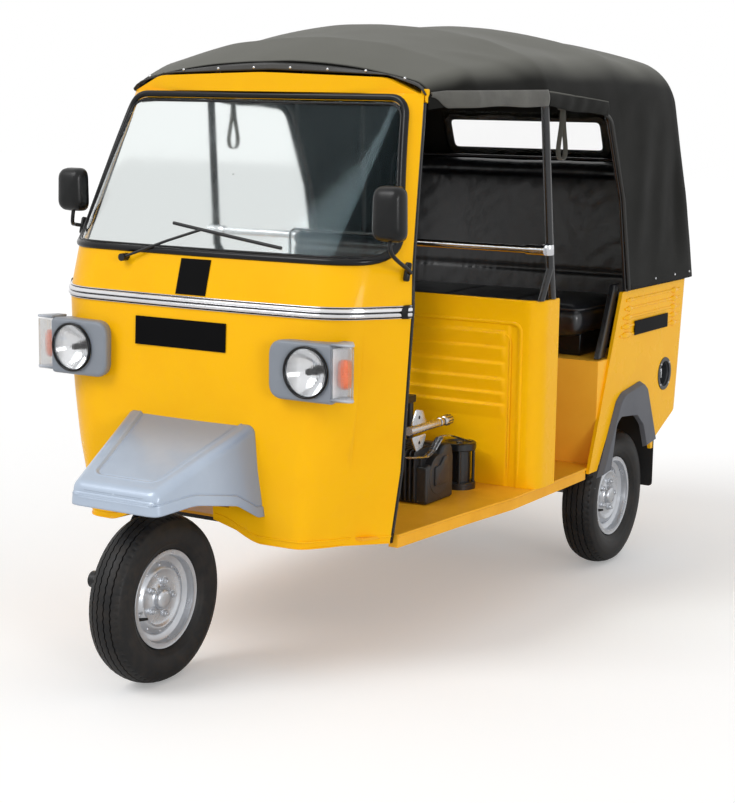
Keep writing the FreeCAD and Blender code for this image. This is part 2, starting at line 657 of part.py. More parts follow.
def bulkhead():
    """Pressed wall behind the driver, wrapped round at both sides, with rows of louvres."""
    low = FLOOR_Z + GAP
    half = SIDE_X + 4
    rear = BULKHEAD_Y + BULKHEAD_RETURN

    def plan(shrink, extra):
        points = [(-half + shrink, rear + extra, low), (-half + shrink, BULKHEAD_Y + shrink, low),
                  (half - shrink, BULKHEAD_Y + shrink, low), (half - shrink, rear + extra, low)]
        corner = BULKHEAD_CORNER - shrink
        return extruded(points, [0, corner, corner, 0], (0, 0, BULKHEAD_TOP - low))

    wall = plan(0, 0).cut(plan(WALL, 10))
    cap = plan(0, 0).cut(plan(WALL + SILL_WIDTH, 10))
    top = block(-half, half, BULKHEAD_Y, rear, BULKHEAD_TOP - WALL, BULKHEAD_TOP)
    wall = wall.fuse(cap.common(top))
    slat = [(BULKHEAD_Y + 1, 0), (BULKHEAD_Y - LOUVRE_DEPTH, 0), (BULKHEAD_Y - LOUVRE_DEPTH, 6), (BULKHEAD_Y + 1, LOUVRE_HEIGHT)]
    mouth = [(BULKHEAD_Y + WALL + 1, SHEET), (BULKHEAD_Y - LOUVRE_DEPTH + SHEET, -1),
             (BULKHEAD_Y - LOUVRE_DEPTH + SHEET, SHEET), (BULKHEAD_Y + WALL + 1, LOUVRE_HEIGHT - 14)]
    for i in range(LOUVRE_COUNT):
        z = LOUVRE_LOW + i * LOUVRE_PITCH
        if z + LOUVRE_HEIGHT > BULKHEAD_TOP - WALL:
            break
        reach = LOUVRE_HALF_WIDTH
        hood = side_prism([(y, z + dz) for y, dz in slat], 0, -reach, reach)
        gap = side_prism([(y, z + dz) for y, dz in mouth], 0, -reach + SHEET, reach - SHEET)
        wall = wall.fuse(hood).cut(gap)
    return wall.removeSplitter()


def rear_plan(z, shrink, front):
    """Plan of the rear body at a height: sides and a leaning rear wall."""
    lean = REAR_WALL_LEAN * (REAR_TOP - z) / (REAR_TOP - REAR_LOW)
    rear = REAR_WALL_TOP_Y - lean - shrink
    half = SIDE_X - shrink
    points = [(half, front, z), (half, rear, z), (-half, rear, z), (-half, front, z)]
    corner = REAR_CORNER - shrink
    return rounded_wire(points, [0, corner, corner, 0])


def rear_body():
    """Rear side panels and rear panel, with the wheel arches cut and pressed beads."""
    front = REAR_FRONT_LOW_Y
    outer = loft([rear_plan(REAR_LOW, 0, front), rear_plan(REAR_TOP, 0, front)])
    inner = loft([rear_plan(REAR_LOW - 1, WALL, front - 5), rear_plan(REAR_TOP + 1, WALL, front - 5)])
    body = outer.cut(inner)
    slope = [(front - 5, REAR_LOW - 5), (REAR_FRONT_LOW_Y, REAR_LOW - 5), (REAR_FRONT_TOP_Y, REAR_TOP + 5), (front - 5, REAR_TOP + 5)]
    body = body.cut(side_prism(slope, 0, -SIDE_X - 5, SIDE_X + 5))
    departure = [(DEPARTURE_Y, REAR_LOW - 5), (REAR_WALL_TOP_Y + 5, REAR_LOW - 5), (REAR_WALL_TOP_Y + 5, DEPARTURE_REAR_Z + 18),
                 (DEPARTURE_Y, DEPARTURE_Z)]
    body = body.cut(side_prism(departure, 0, -SIDE_X - 5, SIDE_X + 5))
    arch = [(WHEELBASE + y, z) for y, z in FLARE_OUTER]
    arch[0] = (arch[0][0] - 30, REAR_LOW - 30)
    arch[-1] = (arch[-1][0] + 10, REAR_LOW - 30)
    body = body.cut(side_prism(inset(arch[::-1], [FLARE_LAND] * len(arch)), 0, -SIDE_X - 5, SIDE_X + 5))
    for i in range(BEAD_COUNT):
        z = BEAD_TOP - i * BEAD_PITCH
        share = (REAR_TOP - z) / (REAR_TOP - REAR_LOW)
        start = between(REAR_FRONT_TOP_Y, REAR_FRONT_LOW_Y, share) + 45
        rib = rod((SIDE_X - 1, start, z), (SIDE_X - 1, REAR_WALL_TOP_Y - REAR_CORNER - 30, z), BEAD_RIB_RADIUS)
        for piece in both(rib):
            body = body.fuse(piece)
    bowl = rod((SIDE_X - WALL - 1, FILLER_Y, FILLER_Z), (SIDE_X + 5, FILLER_Y, FILLER_Z), FILLER_RADIUS)
    return body.cut(bowl).removeSplitter()


def arch_flares():
    """Moulded lip round each rear wheel arch, standing proud of the side panel."""
    outer = [(WHEELBASE + y, z) for y, z in FLARE_OUTER]
    inner = [(WHEELBASE + y, z) for y, z in FLARE_INNER]
    low = SIDE_X + GAP
    wires = []
    for x, shrink in ((low, 0.0), (low + FLARE_PROUD, 10.0)):
        ring = inset(outer[::-1], [shrink] * len(outer)) if shrink else outer[::-1]
        wires.append(rounded_wire([(x, y, z) for y, z in ring], FLARE_OUTER_RADII[::-1]))
    flare = loft(wires)
    hole = inner[:]
    hole[0] = (hole[0][0], hole[0][1] - 10)
    hole[-1] = (hole[-1][0] + 6, hole[0][1] - 10)
    flare = flare.cut(side_prism(hole, FLARE_INNER_RADII, low - 1, low + FLARE_PROUD + 1))
    trim = [(outer[0][0] - 5, outer[0][1] - 20), (outer[-1][0] + 40, outer[0][1] - 20), (outer[-1][0] + 40, outer[-1][1] - 32),
            (hole[-1][0], outer[-1][1] - 32), (hole[0][0], outer[0][1]), (outer[0][0] - 5, outer[0][1])]
    return both(flare.cut(side_prism(trim, 0, low - 1, low + FLARE_PROUD + 1)))


def seat_box():
    """Riser and deck under the passenger bench, with the floor over the rear wheels."""
    half = SIDE_X - WALL - GAP
    rear = REAR_WALL_TOP_Y - REAR_WALL_LEAN - WALL - 5
    outline = [(SEAT_RISER_Y, FLOOR_Z - FLOOR_THICKNESS), (SEAT_RISER_Y + WALL, FLOOR_Z - FLOOR_THICKNESS),
               (SEAT_RISER_Y + WALL, SEAT_BOX_FLOOR_Z), (rear, SEAT_BOX_FLOOR_Z), (rear, SEAT_DECK_Z), (SEAT_RISER_Y, SEAT_DECK_Z)]
    inner = [(SEAT_RISER_Y + WALL, SEAT_BOX_FLOOR_Z + WALL), (rear - WALL, SEAT_BOX_FLOOR_Z + WALL), (rear - WALL, SEAT_DECK_Z - WALL),
             (SEAT_RISER_Y + WALL, SEAT_DECK_Z - WALL)]
    box = side_prism(outline, 0, -half, half).cut(side_prism(inner, 0, -half - 1, half + 1))
    front = SEAT_RISER_Y - 5
    inside = loft([rear_plan(REAR_LOW - 1, WALL + GAP, front), rear_plan(REAR_TOP + 1, WALL + GAP, front)])
    return box.common(inside)


# ================================================================ fittings
def pod_solid(shrink):
    """Wedge-shaped lamp housing, from its flat face back into the cowl."""
    inner_x = POD_INNER_X + shrink
    outer_x = POD_INNER_X + POD_WIDTH - shrink
    deep = POD_OUTER_Y + 130
    face = POD_FACE_Y + shrink
    low = LAMP_Z - POD_HEIGHT / 2 + shrink
    high = LAMP_Z + POD_HEIGHT / 2 - shrink
    plan = [(inner_x, deep, low), (inner_x, face + 14, low), (inner_x + 14, face, low), (POD_FACE_END_X - shrink / 2, face, low),
            (outer_x, POD_OUTER_Y, low), (outer_x - POD_BACK_SLANT, deep, low)]
    body = extruded(plan, [0, 8, 8, 26, 14, 0], (0, 0, high - low))
    front = [(inner_x, low), (POD_FACE_END_X, low), (outer_x, low + 24), (outer_x, high - 18), (POD_FACE_END_X, high), (inner_x, high)]
    radii = [POD_CORNER - shrink, 60, 26, 26, 60, POD_CORNER - shrink]
    return body.common(front_prism(front, radii, 0, deep + 1))


def indicator_zone(margin):
    """The wrapped corner of the pod that is the clear indicator lens."""
    half = POD_HEIGHT / 2 - 14 - margin
    return block(POD_FACE_END_X + margin, POD_INNER_X + POD_WIDTH + 1, 0, POD_OUTER_Y + 16 - margin, LAMP_Z - half, LAMP_Z + half)


def lamp_ring(points):
    """Ring turned about the headlamp's axis from (radius, depth behind the face) points."""
    front = V(LAMP_X, POD_FACE_Y, LAMP_Z)
    profile = Part.makePolygon([front + V(r, y, 0) for r, y in points + points[:1]])
    return turned(profile, front, V(0, 1, 0))


def headlamps(cab_outer):
    """Pods, reflectors and lenses of both headlamps, and the indicator lenses."""
    seat = LAMP_LENS_RADIUS + 5
    inside = pod_solid(POD_WALL)
    shell = pod_solid(0).cut(inside).cut(cab_outer)
    lens = pod_solid(0).cut(pod_solid(POD_WALL - 1)).common(indicator_zone(GAP)).cut(cab_outer)
    shell = shell.cut(indicator_zone(0))
    shell = shell.cut(rod((LAMP_X, POD_FACE_Y - 1, LAMP_Z), (LAMP_X, POD_FACE_Y + POD_WALL + 1, LAMP_Z), seat + GAP))
    depth = REFLECTOR_DEPTH
    inner = LAMP_LENS_RADIUS + GAP
    reflector = lamp_ring([(seat, -3), (seat, 9), (26, depth), (0, depth), (0, depth - 4), (24, depth - 4), (inner, 8), (inner, -3)])
    reflector = reflector.cut(cab_outer)
    front = V(LAMP_X, POD_FACE_Y, LAMP_Z)
    edge = LAMP_LENS_RADIUS
    corners = [front + V(0, -LAMP_LENS_DEPTH, 0), front + V(edge * 0.6, -LAMP_LENS_DEPTH * 0.68, 0), front + V(edge, -1, 0),
               front + V(edge, 3, 0), front + V(0, 3, 0)]
    outline = Part.Wire([Part.Arc(*corners[:3]).toShape()] + [Part.LineSegment(a, b).toShape()
                                                             for a, b in zip(corners[2:], corners[3:] + corners[:1])])
    return shell, reflector, turned(outline, front, V(0, 1, 0)), lens


def skin_y(x, z):
    """Y of the cab's front skin at a place in the front view."""
    rows = CAB_PLAN
    for low, high in zip(rows, rows[1:]):
        if z <= high[0]:
            break
    row = [between(a, b, (z - low[0]) / (high[0] - low[0])) for a, b in zip(low, high)]
    bowed = bowed_share(row)
    return row[1] + row[2] * (x / row[3]) ** 2 / (bowed * (2 - bowed))


def wiper(cab_outer):
    """Arm and blade on a pivot under the windscreen."""
    x, z = WIPER_PIVOT
    y = skin_y(x, z)
    clear = SEAL_PROUD + WIPER_ARM_RADIUS + 6
    boss = rod((x, y + 40, z), (x, y - clear - 8, z), 11).cut(cab_outer)

    def over(point, off):
        return (point[0], skin_y(*point) - off, point[1])

    waist = CAB_PLAN[WAIST_ROW]
    top = CAB_PLAN[-1]
    slant = math.hypot(1, (top[1] - waist[1]) / (top[0] - waist[0]))
    on_glass = (WIPER_BLADE_RADIUS + GAP) * slant - GLASS_INSET
    centre = [between(a, b, 0.5) for a, b in zip(*WIPER_BLADE)]
    along = [V(*over(point, on_glass)) for point in (WIPER_BLADE[0], centre, WIPER_BLADE[1])]
    blade = piped([Part.Arc(*along).toShape()], WIPER_BLADE_RADIUS)
    middle = [between(a, b, WIPER_JOINT_SHARE) for a, b in zip(*WIPER_BLADE)]
    knee = [between(a, b, 0.62) for a, b in zip(WIPER_PIVOT, middle)]
    arm = bent_rod([over((x, z), clear), over(knee, clear + 4), over(middle, on_glass)], WIPER_ARM_RADIUS, [0, 60, 0])
    return boss.fuse(arm).fuse(blade)


def mirrors(cab_outer):
    """Rectangular head on a bent arm, on each windscreen pillar."""
    pieces = []
    for side, x, y, z, height, foot_z in MIRRORS:
        half = MIRROR_WIDTH / 2
        outline = [(x - half, z - height / 2), (x + half, z - height / 2), (x + half, z + height / 2), (x - half, z + height / 2)]
        head = front_prism(outline, 22, y, y + MIRROR_DEPTH)
        share = (foot_z - CAB_PLAN[WAIST_ROW][0]) / (CAB_PLAN[-1][0] - CAB_PLAN[WAIST_ROW][0])
        foot_x = between(CAB_PLAN[WAIST_ROW][4], CAB_PLAN[-1][4], share)
        foot_y = between(CAB_PLAN[WAIST_ROW][5], CAB_PLAN[-1][5], share) - 24
        arm = bent_rod([(foot_x - 2, foot_y, foot_z), (foot_x + 18, foot_y - 18, foot_z + 4), (x + 8, y + MIRROR_DEPTH / 2, z - height / 2 - 34),
                        (x, y + MIRROR_DEPTH / 2, z - height / 2 + 10)], MIRROR_ARM_RADIUS, [0, 9, 14, 0])
        pad = rod((foot_x, foot_y, foot_z - 22), (foot_x, foot_y, foot_z + 22), 9)
        piece = head.fuse(arm).fuse(pad.fuse(rod((foot_x - 14, foot_y, foot_z), (foot_x + 4, foot_y, foot_z), 9)).cut(cab_outer)).cut(cab_outer)
        pieces.append(piece if side > 0 else mirrored(piece))
    return pieces


def skin_plate(x, z, width, height, row):
    """Thin plate lying on the cowl's skin, centred at x and z, over the given row of the plan."""
    low, high = CAB_PLAN[row:row + 2]
    lean = math.degrees(math.atan2(high[1] - low[1], high[0] - low[0]))
    plate = block(x - width / 2, x + width / 2, -PLATE_THICKNESS, 0, -height / 2, height / 2)
    plate.rotate(V(0, 0, 0), V(1, 0, 0), -lean)
    plate.translate(V(0, cab_front_y(z) - GAP, z))
    return plate


def blank_plates():
    """Bare plates on the cowl and on the rear side panels."""
    badge = skin_plate(BADGE_X, BADGE_Z, BADGE_SIZE, BADGE_SIZE, BELT_ROW)
    name = skin_plate(NAME_PLATE_X, NAME_PLATE_Z, NAME_PLATE[0], NAME_PLATE[1], BELT_ROW - 1)
    rib_top = SIDE_X - 1 + BEAD_RIB_RADIUS + GAP
    side = block(rib_top, rib_top + PLATE_THICKNESS, SIDE_PLATE_Y, SIDE_PLATE_Y + SIDE_PLATE[0],
                 SIDE_PLATE_Z, SIDE_PLATE_Z + SIDE_PLATE[1])
    return [badge, name, side, mirrored(side)]


def fuel_filler():
    ring = tube((SIDE_X - 8, FILLER_Y, FILLER_Z), (SIDE_X + 3, FILLER_Y, FILLER_Z), FILLER_RADIUS - GAP, FILLER_RADIUS - 14)
    bowl = tube((SIDE_X - 46, FILLER_Y, FILLER_Z), (SIDE_X - 6, FILLER_Y, FILLER_Z), FILLER_RADIUS - 12, FILLER_RADIUS - 16)
    back = rod((SIDE_X - 48, FILLER_Y, FILLER_Z), (SIDE_X - 44, FILLER_Y, FILLER_Z), FILLER_RADIUS - 12)
    cap = rod((SIDE_X - 45, FILLER_Y, FILLER_Z), (SIDE_X - 18, FILLER_Y, FILLER_Z), 24)
    return ring.fuse(bowl).fuse(back).fuse(cap)


def tail_lamps():
    """Rectangular lamps on the leaning rear panel."""
    half_x = TAIL_LAMP[0] / 2
    half_z = TAIL_LAMP[1] / 2
    x = TAIL_LAMP_X
    z = TAIL_LAMP_Z
    lamp = front_prism([(x - half_x, z - half_z), (x + half_x, z - half_z), (x + half_x, z + half_z), (x - half_x, z + half_z)], 12,
                       REAR_WALL_TOP_Y - 60, REAR_WALL_TOP_Y + 18)
    wall = loft([rear_plan(REAR_LOW, -GAP, REAR_FRONT_LOW_Y), rear_plan(REAR_TOP, -GAP, REAR_FRONT_LOW_Y)])
    return both(lamp.cut(wall))


def mudflaps():
    """Rubber flap behind each rear wheel, hung from the floor over the wheels."""
    y = WHEELBASE + TYRE_RADIUS + 30
    top = SEAT_BOX_FLOOR_Z - GAP
    outline = [(FLAP_X[0], FLAP_LOW), (FLAP_X[1], FLAP_LOW), (FLAP_X[1], top), (FLAP_X[0], top)]
    return both(front_prism(outline, [14, 14, 0, 0], y, y + SHEET))


# ================================================================ hood
def hood_row(y):
    """The hood's section values at any distance, read between its table's rows."""
    rows = HOOD_SECTIONS
    for low, high in zip(rows, rows[1:]):
        if y <= high[0]:
            share = (y - low[0]) / (high[0] - low[0])
            return [between(a, b, share) for a, b in zip(low, high)]
    return [y] + list(rows[-1][1:])


def shoulder_centre(row):
    """X and z of the centre of a hood section's shoulder arc."""
    _, half, crown, roof, shoulder = row
    return half - shoulder, crown - roof + math.sqrt((roof - shoulder) ** 2 - (half - shoulder) ** 2)


def hood_arch(row, depth):
    """Shoulder, roof and shoulder arcs of a hood section, drawn in by depth, from right to left."""
    y, half, crown, roof, shoulder = row
    cx, cz = shoulder_centre(row)
    roof_low = crown - roof
    lean = math.atan2(cz - roof_low, cx)
    small = shoulder - depth
    side = (half - depth, cz)
    middle = (cx + small * math.cos(lean / 2), cz + small * math.sin(lean / 2))
    join = (cx + small * math.cos(lean), cz + small * math.sin(lean))

    def arc(*points):
        return Part.Arc(*[V(x, y, z) for x, z in points]).toShape()

    def flip(point):
        return -point[0], point[1]

    return [arc(side, middle, join), arc(join, (0.0, crown - depth), flip(join)), arc(flip(join), flip(middle), flip(side))]


def hood_wire(row, depth, drop):
    y = row[0]
    half = row[1] - depth
    spring = shoulder_centre(row)[1]
    low = HOOD_BOTTOM - drop
    corners = [V(-half, y, spring), V(-half, y, low), V(half, y, low), V(half, y, spring)]
    sides = [Part.LineSegment(a, b).toShape() for a, b in zip(corners, corners[1:])]
    return Part.Wire(hood_arch(row, depth) + sides)


def hood_block(depth, drop):
    """Solid under the hood's skin, cut by the sloping rear wall; drop opens it below and ahead."""
    rows = [list(row) for row in HOOD_SECTIONS]
    rows[0][0] -= drop
    rows.append([REAR_END + 20] + rows[-1][1:])
    solid = loft([hood_wire(row, depth, drop) for row in rows])
    slope = (REAR_END - HOOD_REAR_TOP_Y) / (HOOD_BOTTOM - HOOD_REAR_TOP_Z)
    lean = math.hypot(1.0, slope)
    behind = []
    for z in (HOOD_SECTIONS[MIDDLE_BOW_ROW][2] + 100, HOOD_BOTTOM - 100):
        behind.append((REAR_END - depth * lean + slope * (z - HOOD_BOTTOM), z))
    behind += [(REAR_END + 600, behind[1][1]), (REAR_END + 600, behind[0][1])]
    return solid.cut(side_prism(behind, 0, -BODY_WIDTH, BODY_WIDTH))


def hood_canopy():
    """Soft hood as one closed sheet: roof, rear quarters and sloping rear wall."""
    hood = hood_block(0, 0).cut(hood_block(HOOD_SHEET, 10))
    front = HOOD_SECTIONS[0][0] - 50
    low = HOOD_BOTTOM - 50
    opening = HOOD_HEM + [(HOOD_HEM[-1][0], low), (front, low), (front, HOOD_HEM[0][1])]
    hood = hood.cut(side_prism(opening, [0, 0, 0, 90, 60, 0, 0, 0, 0], -BODY_WIDTH, BODY_WIDTH))
    window = [(-WINDOW_HALF_WIDTH, WINDOW_LOW), (WINDOW_HALF_WIDTH, WINDOW_LOW),
              (WINDOW_HALF_WIDTH, WINDOW_HIGH), (-WINDOW_HALF_WIDTH, WINDOW_HIGH)]
    return hood.cut(front_prism(window, 30, HOOD_REAR_TOP_Y - 60, REAR_END + 10))


def bow(y, radius, foot_z):
    """Round bar that follows the hood's lining from side to side, on straight legs."""
    row = hood_row(y)
    depth = HOOD_SHEET + GAP + radius
    x = row[1] - depth
    spring = shoulder_centre(row)[1]
    legs = [Part.LineSegment(V(x, y, foot_z), V(x, y, spring)).toShape(), Part.LineSegment(V(-x, y, spring), V(-x, y, foot_z)).toShape()]
    return piped(legs[:1] + hood_arch(row, depth) + legs[1:], radius)


def pole_x():
    return HOOD_SECTIONS[POLE_ROW][1] - HOOD_SHEET - GAP - POLE_RADIUS


def lining_x(y, z, depth):
    """X at which something lies the given depth inside the hood's skin."""
    row = hood_row(y)
    cx, cz = shoulder_centre(row)
    if z <= cz:
        return row[1] - depth
    return cx + math.sqrt((row[4] - depth) ** 2 - (z - cz) ** 2)


def rail_point(y, z):
    """Point of the roof rail's middle line, inside the hood."""
    return (lining_x(y, z, HOOD_SHEET + GAP + HOOP_RADIUS + 1), y, z)


def hood_frame():
    """Side poles on V feet, bows under the roof and the side rails that join them."""
    knee_z = BULKHEAD_TOP + 105
    frame = bow(POLE_Y, POLE_RADIUS, knee_z)
    for y in (BULKHEAD_Y + 14, BULKHEAD_Y + BULKHEAD_RETURN - 16):
        leg = rod((SIDE_X - 12, y, BULKHEAD_TOP - 30), (pole_x(), POLE_Y, knee_z + 8), POLE_RADIUS - 1.5)
        for piece in both(leg):
            frame = frame.fuse(piece)
    below = block(-BODY_WIDTH, BODY_WIDTH, BULKHEAD_Y - 50, BULKHEAD_Y + BULKHEAD_RETURN + 50, BULKHEAD_TOP - 90, BULKHEAD_TOP + GAP)
    frame = frame.cut(below)
    middle_y = HOOD_SECTIONS[MIDDLE_BOW_ROW][0]
    high_end, low_end = ROOF_RAIL[3:5]
    foot = between(high_end[1], low_end[1], (middle_y - high_end[0]) / (low_end[0] - high_end[0]))
    frame = frame.fuse(bow(middle_y, HOOP_RADIUS, foot))
    frame = frame.fuse(bow(REAR_BOW_Y, HOOP_RADIUS, REAR_TOP + GAP))
    bar = bent_rod([rail_point(y, z) for y, z in ROOF_RAIL], HOOP_RADIUS, [0, 200, 500, 90, 60, 0])
    for piece in both(bar):
        frame = frame.fuse(piece)
    return frame.cut(block(-BODY_WIDTH, BODY_WIDTH, ROOF_RAIL[-2][0], REAR_END, REAR_LOW, REAR_TOP + GAP))


def grab_rail():
    """Bright rail across the cab behind the driver, clamped to the poles."""
    y = POLE_Y - POLE_RADIUS - RAIL_RADIUS - GAP
    reach = pole_x() + 22
    bar = rod((-reach, y, RAIL_Z), (reach, y, RAIL_Z), RAIL_RADIUS)
    collar = rod((reach - 34, y, RAIL_Z), (reach, y, RAIL_Z), RAIL_RADIUS + 4)
    pole_space = rod((pole_x(), POLE_Y, RAIL_Z - 60), (pole_x(), POLE_Y, RAIL_Z + 60), POLE_RADIUS + GAP)
    for piece, space in zip(both(collar), both(pole_space)):
        bar = bar.fuse(piece).cut(space)
    return bar


def grab_straps():
    """Webbing loop under the roof rail on each side."""
    low_end = ROOF_RAIL[3]
    high_end = ROOF_RAIL[2]
    y = STRAP_Y
    half = 20.0
    rail_z = between(high_end[1], low_end[1], (y + half - high_end[0]) / (low_end[0] - high_end[0]))
    high = rail_z - HOOP_RADIUS - 2 * GAP
    low = high - STRAP_LENGTH
    x = rail_point(y, rail_z)[0]
    outer = [(y - half - 6, low), (y + half + 6, low), (y + half, high), (y - half, high)]
    reach = HOOP_RADIUS - 1
    loop = side_prism(outer, [24, 24, 0, 0], x - 2 * reach, x + reach)
    return both(loop.cut(side_prism(inset(outer, [5] * 4), [19, 19, 3, 3], x - 3 * reach, x + 2 * reach)))


# ================================================================ seats
def driver_seat():
    y0 = DRIVER_SEAT_Y
    y1 = y0 + DRIVER_SEAT_DEPTH
    low = DRIVER_SEAT_LOW + GAP
    high = low + DRIVER_CUSHION
    cushion = side_prism([(y0, low), (y1, low), (y1, high - 8), (y0, high)], [12, 12, 22, 30], -DRIVER_SEAT_HALF, DRIVER_SEAT_HALF)
    back_top = DRIVER_BACK_Y + DRIVER_BACK_THICKNESS
    back = front_prism([(-DRIVER_SEAT_HALF, DRIVER_BACK_LOW), (DRIVER_SEAT_HALF, DRIVER_BACK_LOW),
                        (DRIVER_SEAT_HALF, DRIVER_BACK_TOP), (-DRIVER_SEAT_HALF, DRIVER_BACK_TOP)], [20, 20, 60, 60], DRIVER_BACK_Y, back_top)
    return [cushion, back]


def driver_seat_frame():
    """Tray on legs under the driver's cushion, and the stays of the backrest."""
    half = DRIVER_SEAT_HALF - 6
    y0 = DRIVER_SEAT_Y + 4
    y1 = DRIVER_SEAT_Y + DRIVER_SEAT_DEPTH + 20
    frame = block(-half, half, y0, y1, DRIVER_SEAT_LOW - 22, DRIVER_SEAT_LOW)
    for x in (-half + 14, half - 14):
        for y in (y0 + 12, y1 - 14):
            frame = frame.fuse(rod((x, y, FLOOR_Z + GAP), (x, y, DRIVER_SEAT_LOW - 2), 11))
    back_y = DRIVER_BACK_Y + DRIVER_BACK_THICKNESS + 4 + GAP
    for x in (-half + 70, half - 70):
        frame = frame.fuse(block(x - 16, x + 16, y1 - 24, back_y + 4, DRIVER_SEAT_LOW - 22, DRIVER_SEAT_LOW))
        frame = frame.fuse(block(x - 16, x + 16, back_y - 4, back_y + 4, DRIVER_SEAT_LOW - 22, DRIVER_BACK_TOP - 70))
    return frame


def passenger_seat():
    y0 = BENCH_FRONT
    y1 = y0 + BENCH_DEPTH
    low = SEAT_DECK_Z + GAP
    high = low + BENCH_THICKNESS
    cushion = side_prism([(y0, low), (y1, low), (y1, high - 10), (y0, high)], [16, 16, 40, 40], -BENCH_HALF, BENCH_HALF)
    lean = BENCH_BACK_LEAN
    t = BENCH_BACK_THICKNESS
    back = [(y1 + 2, low), (y1 + t, low), (y1 + t + lean, BENCH_BACK_TOP), (y1 + 2 + lean, BENCH_BACK_TOP)]
    return [cushion, side_prism(back, [10, 10, 40, 40], -BENCH_HALF, BENCH_HALF)]


# ================================================================ frame and running gear
def chassis_frame():
    """Ladder frame with the steering head, the rear cross members and the tow eye."""
    top = CHASSIS_TOP
    x0 = RAIL_X - CHASSIS_RAIL_WIDTH / 2
    x1 = RAIL_X + CHASSIS_RAIL_WIDTH / 2
    rail = block(x0, x1, CHASSIS_FRONT, CHASSIS_REAR, CHASSIS_RAIL_LOW, top)
    frame = rail.fuse(mirrored(rail))
    for y in (CHASSIS_FRONT, DRIVER_SEAT_Y, BULKHEAD_Y, ARM_PIVOT_Y, CHASSIS_REAR - 40):
        frame = frame.fuse(block(-x1, x1, y, y + 40, CHASSIS_RAIL_LOW, top))
    head_low = on_head(HEAD_TUBE_LOW)
    head_high = on_head(HEAD_TUBE_HIGH)
    bore = rod(on_head(HEAD_TUBE_LOW - 60), on_head(HEAD_TUBE_HIGH + 60), COLUMN_RADIUS + RUNNING_FIT)
    head = rod(head_low, head_high, HEAD_TUBE_RADIUS)
    frame = frame.fuse(neck_web(0)).fuse(head).cut(bore)
    for x in (-RAIL_X, RAIL_X):
        post = block(x - 14, x + 14, ARM_PIVOT_Y - 2, ARM_PIVOT_Y + 42, 300, CHASSIS_RAIL_LOW + 2)
        frame = frame.fuse(post)
    for side in (1, -1):
        tower = block(min(side * (RAIL_X + 8), side * (RAIL_X + 24)), max(side * (RAIL_X + 8), side * (RAIL_X + 24)),
                      WHEELBASE - 6, WHEELBASE + 46, top - 2, SEAT_BOX_FLOOR_Z - 2)
        frame = frame.fuse(tower)
    eye = block(-TOW_EYE_THICKNESS / 2, TOW_EYE_THICKNESS / 2, CHASSIS_REAR - 4, CHASSIS_REAR + 46, CHASSIS_RAIL_LOW, top)
    frame = frame.fuse(eye)
    hole_z = CHASSIS_RAIL_LOW + CHASSIS_RAIL_HEIGHT / 2
    hole_y = CHASSIS_REAR + 24
    return frame.cut(rod((-TOW_EYE_THICKNESS, hole_y, hole_z), (TOW_EYE_THICKNESS, hole_y, hole_z), TOW_EYE_RADIUS)).removeSplitter()


def neck_web(margin):
    """Gusset from the cross member up to the steering head."""
    half = WEB_THICKNESS / 2 + margin
    web = [(head_y(HEAD_TUBE_LOW) + 10 - margin, HEAD_TUBE_LOW + 6), (CHASSIS_FRONT + 10 - margin, CHASSIS_RAIL_LOW + 4),
           (CHASSIS_FRONT + 38 + margin, CHASSIS_RAIL_LOW + 4), (head_y(HEAD_TUBE_HIGH) + 22 + margin, HEAD_TUBE_HIGH - 20),
           (head_y(HEAD_TUBE_HIGH) + 6, HEAD_TUBE_HIGH - 20)]
    return side_prism(web, 0, -half, half)


def sump(margin):
    """The lower case that hangs through the floor, with the gearbox tail."""
    return block(-SUMP_HALF - margin, SUMP_HALF + margin, SUMP[0] - margin, SUMP[1] + margin, SUMP_LOW, FLOOR_Z + 20)


def engine_block():
    """Engine under the driver's seat, its finned cylinder to the left, its sump through the floor."""
    y0 = SUMP[0] - 20
    y1 = SUMP[1] - 20
    low = FLOOR_Z + GAP
    outline = [(y0, low), (y1, low), (y1, low + 150), (y0 + 30, low + 190), (y0, low + 120)]
    case = side_prism(outline, [10, 10, 40, 40, 30], -SUMP_HALF - 30, ENGINE_CASE_OUT)
    shroud = block(ENGINE_CASE_OUT - 2, SHROUD_OUT, y0 + 50, y1 - 70, low + 20, low + 150)
    engine = case.fuse(sump(0)).fuse(shroud)
    fin = [(y0 + 30, low + 6), (y1 - 50, low + 6), (y1 - 50, low + 168), (y0 + 30, low + 168)]
    for i in range(FIN_COUNT):
        x = ENGINE_CASE_OUT + 8 + i * FIN_PITCH
        engine = engine.fuse(side_prism(fin, 18, x, x + FIN_THICKNESS))
    middle = (y0 + y1) / 2 - 10
    fan = rod((SHROUD_OUT - 2, middle, low + 86), (SHROUD_OUT - 2 + FAN_DEPTH, middle, low + 86), FAN_RADIUS)
    return engine.fuse(fan)


def air_cleaner():
    """Ringed canister beside the engine."""
    middle = FLOOR_Z + GAP + CANISTER_RING_RADIUS
    inner = CANISTER_OUT - CANISTER_LENGTH
    can = rod((inner, CANISTER_Y, middle), (CANISTER_OUT, CANISTER_Y, middle), CANISTER_RADIUS)
    for i in range(CANISTER_RINGS):
        x = inner + CANISTER_RING_PITCH * (i + 0.5) - CANISTER_RING_WIDTH / 2
        can = can.fuse(rod((x, CANISTER_Y, middle), (x + CANISTER_RING_WIDTH, CANISTER_Y, middle), CANISTER_RING_RADIUS))
    return can


